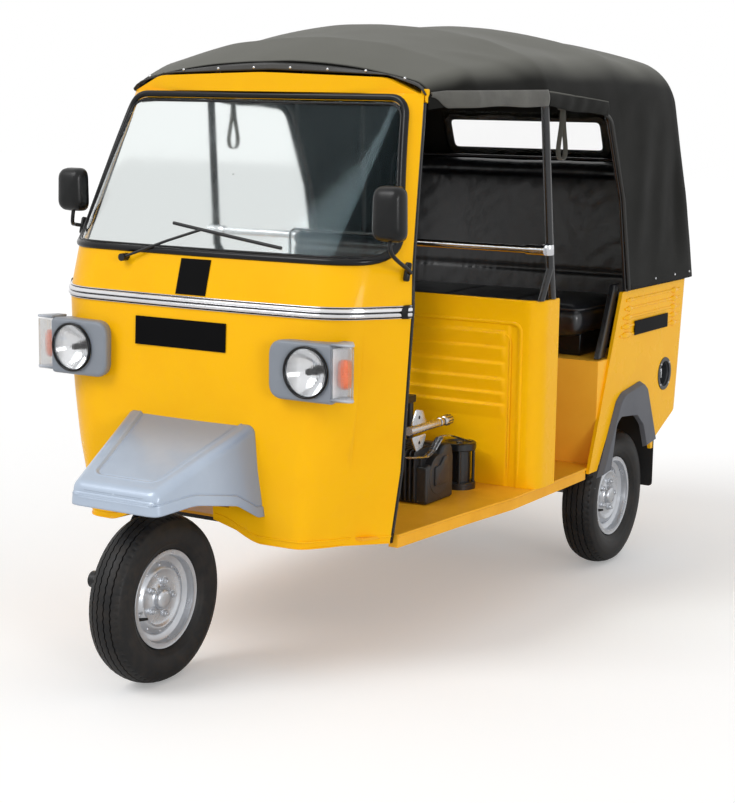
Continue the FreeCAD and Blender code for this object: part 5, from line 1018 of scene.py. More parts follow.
# ================================================================ wheels
@dataclass
class RoadWheel:
    """A ribbed tyre on a pressed steel wheel, with its studs, nuts, hub cap and valve."""
    name: str
    body: str
    nodes: tuple[str, str]  # the tyre's and the rim's
    centre: Point
    side: int  # +1 where the dished face looks to the left
    half: float = 0.059
    radius: float = 0.243
    bead: float = 0.1276
    groove_depth: float = 0.0055
    zigzag: float = 0.0016
    teeth: int = 64
    grooves: Sequence[float] = (-0.03, -0.0105, 0.0105, 0.03)

    def section(self) -> tuple[Array, Array, Array]:
        """Tyre section from bead to bead and back inside.

        Returns:
            x, radius, and the tread share (1 on the tread, 0 elsewhere) of each point.
        """
        shoulder, widest = self.radius - 0.0151, self.radius - 0.0577
        lower = arc_through((0.0368, 0.141), (self.half, widest), (self.half * 0.86, shoulder), 22)
        edges = [0.0019 * s + g for g in self.grooves for s in (-1.0, -0.55, 0.55, 1.0)]
        ribs = np.linspace(-self.half * 0.86, self.half * 0.86, 27)
        tread_x = np.sort(np.concatenate([ribs, edges]))[1:-1][::-1]
        arc = arc_through((self.half * 0.86, shoulder), (0.0, self.radius), (-self.half * 0.86, shoulder), 60)[::-1]
        tread = xyz(tread_x, np.interp(tread_x, arc[:, 0], arc[:, 1]))
        left = np.concatenate([[(0.0368, self.bead)], lower])
        right = left[::-1] * row((-1, 1))
        inner = row([(-0.028, self.bead), (-0.028, 0.146), (-0.049, widest), (-0.042, shoulder - 0.009),
                     (0.0, self.radius - 0.014),
                     (0.042, shoulder - 0.009), (0.049, widest), (0.028, 0.146), (0.028, self.bead)])
        outline = np.concatenate([left, tread, right, inner])
        mark = np.concatenate([np.zeros(len(left)), np.ones(len(tread)), np.zeros(len(right) + len(inner))])
        return outline[:, 0], outline[:, 1], mark

    def tyre(self) -> Object:
        """Tyre: the section carried round, its grooves sunk and swung from side to side like a saw blade."""
        x, r, mark = self.section()
        steps = self.teeth * 6
        around = turns(steps)[:, None]
        tooth = (around * self.teeth / (math.tau)) % 1
        saw = np.abs(tooth * 2 - 1) * 2 - 1
        gap = np.min(np.abs(x[:, None] - row(self.grooves)), axis=1)
        near = bell(gap, 0.006) * mark
        depth = (gap < 0.0015) * mark * self.groove_depth
        sipe = (tooth < 0.17) * (np.abs(np.abs(x) - 0.046) < 0.0052) * mark * 0.0025
        wide = x + self.zigzag * saw * near
        out = r - depth - sipe
        rings = np.zeros_like(r)
        for at, high in ((0.222, 0.0012), (0.2085, 0.0016), (0.162, 0.0014), (0.149, 0.0018)):
            rings = rings + high * bell(r - at, 0.0018) * (1 - mark) * (np.abs(x) > 0.036)
        wide = wide + np.sign(x) * rings
        points = xyz(wide, out * np.cos(around), out * np.sin(around)) + row(self.centre)
        return Shape().add(points, wrap_rows=True, wrap_columns=True).build(self.name + "_tyre_casing", smooth=34)

    def rim(self) -> Object:
        """Rim, dished disc, wheel nuts on studs, hub cap and slots, all turned about the axle."""
        s, origin = self.side, self.centre
        axis = (float(s), 0.0, 0.0)
        outer = [(0.0405, 0.1275), (0.0405, 0.1385), (0.0412, 0.1402), (0.04, 0.1412), (0.0384, 0.1405),
                 (0.037, 0.1385),
                 (0.0365, 0.1262), (0.029, 0.1235), (0.0205, 0.1225), (0.0165, 0.115), (0.014, 0.1065),
                 (0.008, 0.1045),
                 (0.013, 0.0985), (0.0195, 0.0925), (0.024, 0.088), (0.0252, 0.085), (0.024, 0.0815),
                 (0.02, 0.0765),
                 (0.0183, 0.072), (0.0183, 0.056), (0.019, 0.04), (0.0215, 0.0372), (0.024, 0.035),
                 (0.0215, 0.0325),
                 (0.0205, 0.03), (0.032, 0.029), (0.037, 0.0245), (0.0382, 0.015), (0.0385, 0.001),
                 (0.014, 0.001), (0.014, 0.071), (0.019, 0.086), (0.004, 0.103), (0.01, 0.108), (0.015, 0.119),
                 (0.024, 0.126), (0.033, 0.1275)]
        shape = Shape().lathe(outer, origin, axis, 96, closed=True)
        inboard = [(-0.041, 0.141), (-0.037, 0.1405), (-0.037, 0.127), (-0.0205, 0.127), (-0.015, 0.109),
                   (0.01, 0.109),
                   (0.01, 0.104), (-0.016, 0.104), (-0.0215, 0.1225), (-0.041, 0.1225)]
        shape.lathe(inboard, origin, axis, 72, closed=True)
        for k in range(5):
            at = circle_of(origin, 0.05, math.tau * k / 5)
            shape.lathe([(0.017, 0.0125), (0.02, 0.012), (0.0205, 0.01)], at, axis, 20)
            shape.lathe([(0.019, 0.0098), (0.028, 0.0098), (0.03, 0.008)], at, axis, 6)
            shape.lathe([(0.029, 0.0052), (0.0345, 0.0052), (0.0352, 0.0044)], at, axis, 12)
        for k in range(10):
            at = circle_of(origin, 0.0955, math.tau * (k + 0.5) / 10)
            shape.lathe([(0.0145, 0.0048), (0.0175, 0.0044), (0.0185, 0.003)], at, axis, 12)
        return shape.build(self.name + "_wheel_disc", smooth=50)

    def valve(self) -> Object:
        """Rubber valve stem through the rim's dish."""
        s = self.side
        turn = math.radians(200)
        foot = row(circle_of(self.centre, 0.113, turn)) + row((s * 0.017, 0, 0))
        tip = foot + row(circle_of((s * 0.03, 0, 0), -0.014, turn))
        path = foot + np.linspace(0, 1, 6)[:, None] * (tip - foot)
        shape = Shape().tube(path, row([0.0062, 0.0055, 0.0045, 0.0045, 0.004, 0.0034]), sides=10)
        return shape.build(self.name + "_valve")

    def build(self) -> None:
        """The wheel, on its own turning body."""
        place(self.tyre(), self.body, "tyre_rubber", TYRE, self.nodes[0])
        place(self.rim(), self.body, "wheel_silver", WHEEL, self.nodes[1])
        place(self.valve(), self.body, "tyre_rubber", HOSE)


WHEELS = [RoadWheel("front", "front_wheel", ("front_tyre", "front_rim"), (0.0, 0.0, TYRE_RADIUS), 1)] + [
    RoadWheel(f"rear_{label}", f"rear_wheel_{label}", (f"rear_tyre_{label}", f"rear_rim_{label}"),
              (side * HALF_TRACK, WHEELBASE, TYRE_RADIUS), side) for label, side in (("left", 1), ("right", -1))]


# ================================================================ cowl
@dataclass(frozen=True)
class CowlRow:
    """Plan of the cowl at one height: a bowed front, a round corner and a straight side."""
    z: float
    front: float
    bow: float
    corner_x: float
    side_x: float
    side_y: float
    radius: float


@dataclass
class Cowl:
    """The cowl's outer skin as a surface, with what is fixed along it."""
    rows: Sequence[CowlRow] = (
        CowlRow(0.395, 0.165, 0.014, 0.446, 0.541, 0.383, 0.18),
        CowlRow(0.608, 0.158, 0.014, 0.452, 0.572, 0.383, 0.19),
        CowlRow(1.062, 0.178, 0.016, 0.466, 0.603, 0.376, 0.2),
        CowlRow(1.19, 0.216, 0.02, 0.47, 0.588, 0.402, 0.19),
        CowlRow(1.655, 0.54, 0.008, 0.474, 0.514, 0.582, 0.04))
    arc_share: float = 0.95  # part of the front that is bowed
    notch: tuple[float, float] = (-0.146, 0.09)  # the wheel's gap in the lower edge
    trim_z: float = 1.062
    trim_height: float = 0.036
    trim_proud: float = 0.0078

    def line(self, z: float, proud: float = 0.0, steps: int = 16) -> Array:
        """The skin's plan at a height, from the vehicle's right to its left.

        Two corner arcs and a bowed front arc are tangent to one another; the loop is then moved out along
        its own normals.

        Args:
            z: height.
            proud: distance outside the skin.
            steps: points in each arc.

        Returns:
            Points (n, 3).
        """
        heights = [r.z for r in self.rows]
        front, bow, corner_x, side_x, side_y, radius = (
            float(np.interp(z, heights, [getattr(r, name) for r in self.rows]))
            for name in ("front", "bow", "corner_x", "side_x", "side_y", "radius"))
        side_angle = math.atan2(side_y - front - bow, side_x - corner_x)
        reach = radius * math.tan((side_angle - math.atan2(bow, corner_x)) / 2)
        share = self.arc_share * (1 - reach / corner_x)
        middle = front - bow * share / (2 - share)
        bow_angle = math.atan2(front + bow - middle, corner_x)
        run = math.hypot(corner_x, front + bow - middle) - radius * math.tan((side_angle - bow_angle) / 2)
        corners = [(-side_x, side_y), (-corner_x, front + bow), (0.0, middle), (corner_x, front + bow),
                   (side_x, side_y)]
        flat = rounded(corners, [0, radius, run * self.arc_share / math.tan(bow_angle), radius, 0], steps=steps)
        tangent = unit(np.gradient(flat, axis=0))
        flat = flat + proud * xyz(tangent[:, 1], -tangent[:, 0])
        return resample(xyz(*flat.T, z), 900)

    def band(self, profile: Array, first: float = -1.0, last: float = 1.0, count: int = 170) -> Array:
        """A closed profile of (proud, height) carried along the skin between two x places.

        Args:
            profile: distance outside the skin and height above the floor.
            first: x where it starts.
            last: x where it ends.
            count: stations along it.

        Returns:
            Grid (count, profile points, 3).
        """
        strings = []
        for proud, z in profile:
            line = self.line(z, proud)
            inside = line[(line[:, 0] >= first) & (line[:, 0] <= last)]
            strings.append(resample(inside, count))
        return np.stack(strings, 1)

    def trim(self) -> None:
        """Bright belt trim of two rolled beads and two lips, with dark infill in its grooves.

        The profile's height above the skin is a sum of bells over the trim's height.
        """
        t = np.linspace(-0.5, 0.5, 41)
        beads = bell(t + 0.2, 0.155, 6) + bell(t - 0.2, 0.155, 6)
        lips = bell(t + 0.46, 0.035, 4) + bell(t - 0.46, 0.035, 4)
        ground, seat, lip = 0.0016, 0.0003, 0.003        # the valley's height, the strip's back, the lips' height
        proud = ground + (self.trim_proud - ground) * np.clip(beads, 0, 1) + lip * np.clip(lips, 0, 1)
        face = xyz(proud, self.trim_z + t * self.trim_height)
        back = xyz(seat, self.trim_z + row((0.5, -0.5)) * self.trim_height)
        shape = Shape().rings(self.band(np.concatenate([face, back])))
        shape.fit("belt_strip", "trim_bright", TRIM, "belt_trim", smooth=60)
        infill = Shape()
        for at, half in ((0.0, 0.035), (0.385, 0.022), (-0.385, 0.022)):
            low, high = self.trim_z + (at - half) * self.trim_height, self.trim_z + (at + half) * self.trim_height
            infill.rings(self.band(row([(0.0008, low), (0.0032, low), (0.0032, high), (0.0008, high)])))
        infill.fit("belt_strip_infill", "seal_black", SEAL)
        cap = row([(seat, 0.5), (0.009, 0.46), (0.01, 0.0), (0.009, -0.46), (seat, -0.5)])
        cap *= row((1, self.trim_height + 0.003))
        cap[:, 1] += self.trim_z
        shape = Shape()
        for first, last in ((-0.601, -0.59), (0.59, 0.601)):
            shape.rings(self.band(cap, first, last, 6))
        shape.fit("belt_strip_ends", "seal_black", SEAL)

    def edge_bead(self) -> None:
        """Rolled bead just above the cowl's lower edge, either side of the wheel's gap."""
        turn = turns(12)
        shape = Shape()
        for z, size in ((0.4165, 0.003), (0.3975, 0.0022)):
            profile = xyz(size * 0.9 * np.cos(turn), z + size * np.sin(turn))
            shape.rings(self.band(profile, self.notch[1], 1.0, 90))
            shape.rings(self.band(profile, -1.0, self.notch[0], 90))
        shape.points = [tuck_cowl(p) for p in shape.points]
        shape.fit("cowl_edge_bead", "body_yellow", YELLOW)

    def ear(self) -> None:
        """Folded tab at the header's left end, where the hood's front strap hooks on."""
        shape = Shape().box((0.5, 0.586, 1.628), (0.523, 0.6, 1.668), 0.0035)
        shape.box((0.516, 0.58, 1.63), (0.523, 0.622, 1.65), 0.003)
        shape.fit("header_tab", "body_yellow", YELLOW)

    def build(self) -> None:
        """Everything along the cowl."""
        self.trim()
        self.edge_bead()
        self.ear()


COWL = Cowl()


@dataclass
class Windscreen:
    """Laminated pane and the moulded seal round it, both lying along the cowl's raked surface."""
    low: float = 1.187
    high: float = 1.648
    low_half: float = 0.577
    high_half: float = 0.487
    corner: float = 0.072
    seal_half: float = 0.0105

    def loop(self, inset: float, count: int = 240) -> Array:
        """The opening's outline in front view, moved in by inset: an upright trapezium with round corners."""
        slope = (self.low_half - self.high_half) / (self.high - self.low)
        low, high = self.low + inset, self.high - inset
        side = [self.low_half - slope * (z - self.low) - inset * 0.74 for z in (low, high)]
        corners = [(-side[0], low), (side[0], low), (side[1], high), (-side[1], high)]
        path = rounded(corners, [self.corner - inset] * 4, closed=True, steps=14)
        return even_loop(path, count)

    def on_skin(self, flat: Array, proud: float) -> Array:
        """Front-view points laid on the cowl's surface: y read between the plans of two heights."""
        heights = np.linspace(self.low - 0.03, self.high + 0.02, 26)
        lines = [COWL.line(float(z)) for z in heights]
        depth = np.stack([np.interp(flat[..., 0], line[:, 0], line[:, 1]) for line in lines])
        place_up = (flat[..., 1] - heights[0]) / (heights[1] - heights[0])
        k = np.clip(place_up.astype(int), 0, len(heights) - 2)
        share = place_up - k
        low, high = (np.take_along_axis(depth, (k + step)[None], 0)[0] for step in (0, 1))
        return xyz(flat[..., 0], low + (high - low) * share - proud, flat[..., 1])

    def build(self) -> None:
        """Seal and pane."""
        loop = self.loop(0.0125)
        loop[:, 1] += 0.008 * smoothstep(loop[:, 1], 1.4, self.high)
        path = self.on_skin(loop, 0.002)
        seal = Shape().tube(path, self.seal_half, sides=16, up=(0.0, 1.0, -0.72), closed=True, flat=0.95)
        seal.fit("screen_seal", "seal_black", SEAL, "windscreen_seal", smooth=80)
        lip = Shape().tube(self.on_skin(self.loop(0.0235), 0.0), 0.004, sides=10, up=(0.0, 1.0, -0.72), closed=True)
        lip.fit("screen_seal_lip", "seal_black", SEAL, smooth=80)
        edge = self.loop(0.017)
        middle = row((0.0, (self.low + self.high) / 2))
        share = np.linspace(1, 0.004, 26)[:, None, None]
        flat = middle + (edge - middle) * share
        pane = np.concatenate([self.on_skin(flat, -0.001), self.on_skin(flat[::-1], -0.006)])
        Shape().add(pane, wrap_columns=True, wrap_rows=True).fit("windscreen_pane", "screen_glass", SCREEN,
                                                                 "windscreen_glass", smooth=30)


# ================================================================ mudguard
@dataclass
class Mudguard:
    """Pressed guard over the front wheel, with a sunk top panel and a step round its skirt."""
    nose_y: float = -0.182
    rear_y: float = 0.168
    junction: float = 0.1635
    nose_half: float = 0.156
    nose_top: float = 0.591
    rear_top: float = 0.733
    rear_half_top: float = 0.222
    rear_half_low: float = 0.262
    base_z: float = 0.378
    corner: float = 0.026
    nose_round: float = 0.018
    recess: float = 0.0048
    border: float = 0.026  # between the sunk panel and the guard's corner
    recess_start: float = 0.052  # its front edge, behind the nose
    step_rise: float = 0.03  # height of the step above the lower edge
    step_out: float = 0.0026
    sheet: float = 0.004
    level_columns: int = 36  # grid columns on the level top, each side

    def lower_edge(self, y: Array) -> Array:
        """Height of the arched lower edge: rounded runs from the nose over the wheel to the rear tip."""
        corners = [(self.nose_y - 0.01, 0.527), (self.nose_y + 0.126, 0.542), (self.nose_y + 0.265, 0.52),
                   (self.nose_y + 0.33, 0.478), (self.rear_y + 0.02, 0.478)]
        line = rounded(corners, [0, 0.15, 0.04, 0.01, 0], steps=12)
        return np.interp(y, line[:, 0], line[:, 1])

    def half_section(self, y: Array, inset: Array) -> tuple[Array, Array, Array]:
        """One side of the cross-sections, from the middle over the corner to the lower edge.

        Each section is a level top, an arc and a straight side; places on it are found from the distance
        run along it, and the columns crowd where the panel's edge and the step lie.

        Args:
            y: stations.
            inset: how far each section is drawn in.

        Returns:
            x and z of the grid (rows, columns), and each point's distance from the corner.
        """
        back = y - self.nose_y
        length = self.junction - self.nose_y
        low_half = self.nose_half + 0.006 + (self.rear_half_low - self.nose_half) / length * back - inset
        top_half = self.nose_half - 0.012 + (self.rear_half_top - self.nose_half + 0.012) / length * back - inset
        top = self.nose_top + (self.rear_top - self.nose_top) / length * back - inset
        turn = math.pi / 2 - np.arctan2(low_half - top_half, top - self.base_z)
        tangent = self.corner * np.tan(turn / 2)
        level = top_half - tangent
        slope = xyz(low_half - top_half, self.base_z - top)
        slope = slope / np.linalg.norm(slope, axis=-1, keepdims=True)
        start = xyz(top_half, top) + tangent[:, None] * slope
        side = (start[:, 1] - self.lower_edge(y)) / -slope[:, 1]
        arc = self.corner * turn
        w = 0.007
        marks = [0 * level, level - self.border - w, level - self.border + w, level, level + arc,
                 level + arc + side - self.step_rise - w, level + arc + side - self.step_rise + w,
                 level + arc + side]
        counts = [14, 16, 6, 9, 14, 16, 5]
        run = np.concatenate([a[:, None] + (b - a)[:, None] * np.linspace(0, 1, n, endpoint=False)
                              for a, b, n in zip(marks, marks[1:], counts)] + [marks[-1][:, None]], 1)
        angle = np.clip((run - level[:, None]) / self.corner, 0, turn[:, None])
        beyond = np.clip(run - (level + arc)[:, None], 0, None)
        x = np.minimum(run, level[:, None]) + self.corner * np.sin(angle) + beyond * slope[:, :1]
        z = top[:, None] - self.corner * (1 - np.cos(angle)) + beyond * slope[:, 1:]
        from_end = marks[-1][:, None] - run
        return x, z, from_end

    def step(self, from_end: Array) -> Array:
        """The skirt's pressed step: a smooth step and a groove over the distance from the lower edge."""
        rise = np.clip(0.5 - (from_end - self.step_rise) / 0.006, 0, 1)
        groove = bell(from_end - self.step_rise - 0.001, 0.0022)
        return self.step_out * rise ** 2 * (3 - 2 * rise) - 0.0022 * groove

    def relief(self, x: Array, y: Array, from_end: Array, facing_up: Array) -> Array:
        """Height of the pressed forms above the plain guard.

        The panel is a rounded rectangle's signed distance through a smooth step, with a fine groove inside
        it and a ridge outside.
        """
        back = y - self.nose_y
        half = self.nose_half - 0.012 - self.border - 0.012 + 0.2258 * (back - self.recess_start)
        round_corner = 0.024
        qx = np.abs(x) - (half - round_corner)
        qy = (self.recess_start + round_corner) - back
        outside = np.hypot(np.maximum(qx, 0), np.maximum(qy, 0)) + np.minimum(np.maximum(qx, qy), 0) - round_corner
        fall = np.clip(0.5 - outside / 0.008, 0, 1)
        panel = -self.recess * fall ** 2 * (3 - 2 * fall)
        groove = 0.0016 * bell(outside + 0.004, 0.0018)
        brim = 0.0012 * bell(outside - 0.006, 0.003)
        return (panel - groove + brim) * facing_up + self.step(from_end) * (1 - facing_up)

    def build(self) -> None:
        """The guard, on the chassis."""
        a = np.linspace(math.pi / 2, 0, 9)[:-1]
        marks = [self.nose_y + self.nose_round, self.nose_y + 0.04, self.nose_y + 0.064, self.rear_y]
        behind = [np.linspace(p, q, n, endpoint=False) for p, q, n in zip(marks, marks[1:], (6, 20, 46))]
        y = np.concatenate([self.nose_y + self.nose_round * (1 - np.sin(a)), *behind, row([self.rear_y])])
        inset = np.zeros(len(y))
        inset[:len(a)] = self.nose_round * (1 - np.cos(a))
        x, z, from_end = self.half_section(y, inset)
        points = xyz(x, y[:, None], z)
        full = np.concatenate([points[:, ::-1] * row((-1, 1, 1)), points[:, 1:]], 1)
        from_end = np.concatenate([from_end[:, ::-1], from_end[:, 1:]], 1)
        normal = normals_of(full)
        normal = normal * np.sign(normal[-1, normal.shape[1] // 2, 2])
        up = np.clip((normal[..., 2] - 0.35) / 0.4, 0, 1)
        full = full + normal * self.relief(full[..., 0], full[..., 1], from_end, up)[..., None]
        shape = Shape().add(full)
        # The flat nose: level strips between the first section's two sides.
        count = x.shape[1] - self.level_columns
        left, right = full[0, :count], full[0, ::-1][:count]
        share = np.linspace(0, 1, 25)
        face = left + (right - left) * share[:, None, None]
        inner = np.where((share > 0) & (share < 1), 1.0, 0.0)[:, None]
        from_end = face[..., 2] - face[..., :1, 2]
        face[..., 1] -= inner * self.step(from_end)
        shape.add(face)
        piece = shape.build("front_guard_panel", smooth=50)
        thicken(piece, self.sheet)
        place(piece, "chassis", "guard_silver", SILVER, "front_mudguard")


# ================================================================ lamps' housings
@dataclass
class LampPod:
    """Housing of one headlamp and its indicator: a rounded body that narrows towards the cowl."""
    x: float = 0.412
    z: float = 0.905
    face_y: float = 0.14
    hole: float = 0.0705
    half: float = 0.083
    step_y: float = 0.2045  # the indicator's notch ends here
    back_y: float = 0.33

    def ring(self, y: float, inner: float, outer: float, half: float, radii: Sequence[float],
             count: int = 128) -> Array:
        """One cross-section: a rounded rectangle between two x places."""
        corners = [(inner, self.z - half), (outer, self.z - half), (outer, self.z + half), (inner, self.z + half)]
        line = even_loop(rounded(corners, radii, closed=True, steps=10), count)
        return xyz(line[:, 0], y, line[:, 1])

    def circle(self, angle: Array, radius: float) -> Array:
        """Points of a circle about the lamp's axis, in the housing's face."""
        x, z = self.x + radius * np.cos(angle), self.z + radius * np.sin(angle)
        return xyz(x, self.face_y, z)

    def build(self) -> None:
        """Lamp body with its hole, and the broader base behind the indicator."""
        shape = Shape()
        rows = []
        for y, inset in ((0.14, 0.018), (0.1403, 0.01), (0.1425, 0.005), (0.147, 0.0016), (0.154, 0.0),
                         (0.17, 0.001),
                         (0.2045, 0.004), (0.33, 0.014)):
            inner = 0.283 + inset + (y - 0.14) * 0.3
            rows.append(self.ring(y, inner, 0.4905 - min(inset, 0.001), self.half - inset * 0.8,
                                  [0.046 - inset, 0.006, 0.006, 0.046 - inset]))
        rows = np.stack(rows)
        angle = np.arctan2(rows[0, :, 2] - self.z, rows[0, :, 0] - self.x)
        dish = self.circle(angle, self.hole) + row((0.0, 0.0025, 0.0))
        deep = np.stack([dish, dish + row((0.0, 0.055, 0.0))])
        brim = self.circle(angle, self.hole + 0.006)
        shape.add(np.concatenate([deep[::-1], brim[None], rows]), wrap_rows=True, wrap_columns=True)
        base = [self.ring(y, 0.36, outer, half, [0.02, 0.024, 0.024, 0.02]) for y, outer, half in (
            (self.step_y, 0.512, 0.072), (self.step_y + 0.001, 0.517, 0.076), (self.step_y + 0.006, 0.5175, 0.0775),
            (self.step_y + 0.03, 0.503, 0.077), (0.29, 0.47, 0.073), (self.back_y, 0.45, 0.068))]
        shape.rings(np.stack(base))
        for sign in (1.0, -1.0):
            eave = rounded([(0.4885, 0.1412), (0.547, 0.144), (0.557, 0.156), (0.5205, 0.2085), (0.4885, 0.2085)],
                           [0.002, 0.014, 0.012, 0.002, 0.002], closed=True, steps=6)
            z = self.z + sign * 0.0755
            shape.plate(eave, (0.0, 0.0, z + 0.0035), X_AXIS, Y_AXIS, 0.007, 0.003)
        shape.both_sides().fit("lamp_housings", "pod_grey", POD, "headlamp_pods", smooth=50)


@dataclass
class CornerLamps:
    """Indicators on the pods' outer corners: clear fluted cover, amber bulb, pale tray behind."""
    z: float = 0.905

    def build(self) -> None:
        """Trays, bulbs and covers on both corners."""
        tray = Shape().box((0.491, 0.148, self.z - 0.07), (0.4935, 0.203, self.z + 0.07), 0.0008)
        tray.box((0.491, 0.201, self.z - 0.07), (0.515, 0.204, self.z + 0.07), 0.0008)
        tray.both_sides().fit("indicator_trays", "lamp_bowl", TRAY_WHITE)
        height = np.linspace(-0.041, 0.041, 45)
        radius = 0.0165 * (1 - (height / 0.0425) ** 4) ** 0.5 + 0.0006 * np.cos(height * 900)
        bulb = Shape().lathe(xyz(height, radius), (0.516, 0.174, self.z), Z_AXIS, 32)
        bulb.both_sides().fit("indicator_bulbs", "lamp_clear", BULB)
        plan = rounded([(0.4915, 0.203), (0.4915, 0.142), (0.5455, 0.145), (0.555, 0.1565), (0.5205, 0.203)],
                       [0.0, 0.003, 0.012, 0.01, 0.0], steps=8)
        plan = resample(plan, 90)
        flutes = 0.0006 * np.abs(np.sin(np.arange(90) * 0.62))
        inside = unit(row((0.51, 0.195)) - plan)
        outer, inner = plan + inside * flutes[:, None], plan + inside * 0.003
        loop = np.concatenate([outer, inner[::-1]])
        heights = self.z + np.linspace(-0.0735, 0.0735, 9)
        cover = Shape().rings(np.stack([xyz(*loop.T, z) for z in heights]))
        cover = cover.both_sides().build("indicator_covers", smooth=60)
        place(cover, "chassis", "lamp_clear", CLEAR_LENS, "indicator_lenses")


# ================================================================ headlamps
@dataclass
class Headlamp:
    """Glass, reflector, bulb and rubber ring of one headlamp."""
    side: int  # +1 on the vehicle's left
    x: float = 0.412
    z: float = 0.905
    face_y: float = 0.14
    glass: float = 0.068

    def lathe(self, profile: Sequence[Sequence[float]], name: str, steps: int = 64, closed: bool = False) -> Object:
        """A part turned about the lamp's own axis, distances measured forwards from the housing's face."""
        origin = (self.side * self.x, self.face_y, self.z)
        return Shape().lathe(profile, origin, (0.0, -1.0, 0.0), steps, closed).build(f"{name}_{self.label}")

    @property
    def label(self) -> str:
        """left or right."""
        return "left" if self.side > 0 else "right"

    def lens(self) -> Object:
        """Pressed glass: an outer and an inner dome that meet at the rim."""
        r = np.linspace(self.glass, 0.0008, 22)
        dome = 0.004 + 0.008 * (1 - (r / self.glass) ** 2)
        outer = xyz(dome, r)
        inner = xyz(dome - 0.0035, r)[::-1]
        return self.lathe(np.concatenate([outer, inner]), "headlamp_glass", closed=True)

    def reflector(self) -> Object:
        """Bowl: depth falls as the square of the radius, with a collar for the bulb."""
        r = np.linspace(self.glass - 0.002, 0.013, 20)
        depth = -0.046 + 0.045 * (r / self.glass) ** 2
        face = xyz(depth, r)
        back = xyz(depth - 0.0022, r + 0.0006)[::-1]
        return self.lathe(np.concatenate([face, back]), "reflector_bowl", closed=True)

    def bulb(self) -> Object:
        """Bulb with its dark glare cap on a stem."""
        profile = [(-0.048, 0.0125), (-0.04, 0.0125), (-0.0395, 0.007), (-0.03, 0.0068), (-0.024, 0.0085),
                   (-0.018, 0.01),
                   (-0.011, 0.0098), (-0.006, 0.007), (-0.0042, 0.003), (-0.004, 0.0008)]
        return self.lathe(profile, "headlamp_bulb", 28)

    def ring(self) -> Object:
        """Black rubber ring round the glass."""
        turn = turns(14)
        profile = xyz(0.0045 + 0.0045 * np.sin(turn), self.glass + 0.0012 + 0.0036 * np.cos(turn))
        return self.lathe(profile, "headlamp_ring", 72, closed=True)

    def build(self) -> None:
        """The lamp, on the chassis."""
        for made, slot, finish, *nodes in (
                (self.lens(), "lamp_clear", LENS, "headlamp_lenses"),
                                           (self.reflector(), "lamp_bowl", BOWL, "headlamp_reflectors"),
                (self.bulb(), "mirror_black", STEEL), (self.ring(), "seal_black", SEAL)):
            place(made, "chassis", slot, finish, *nodes)


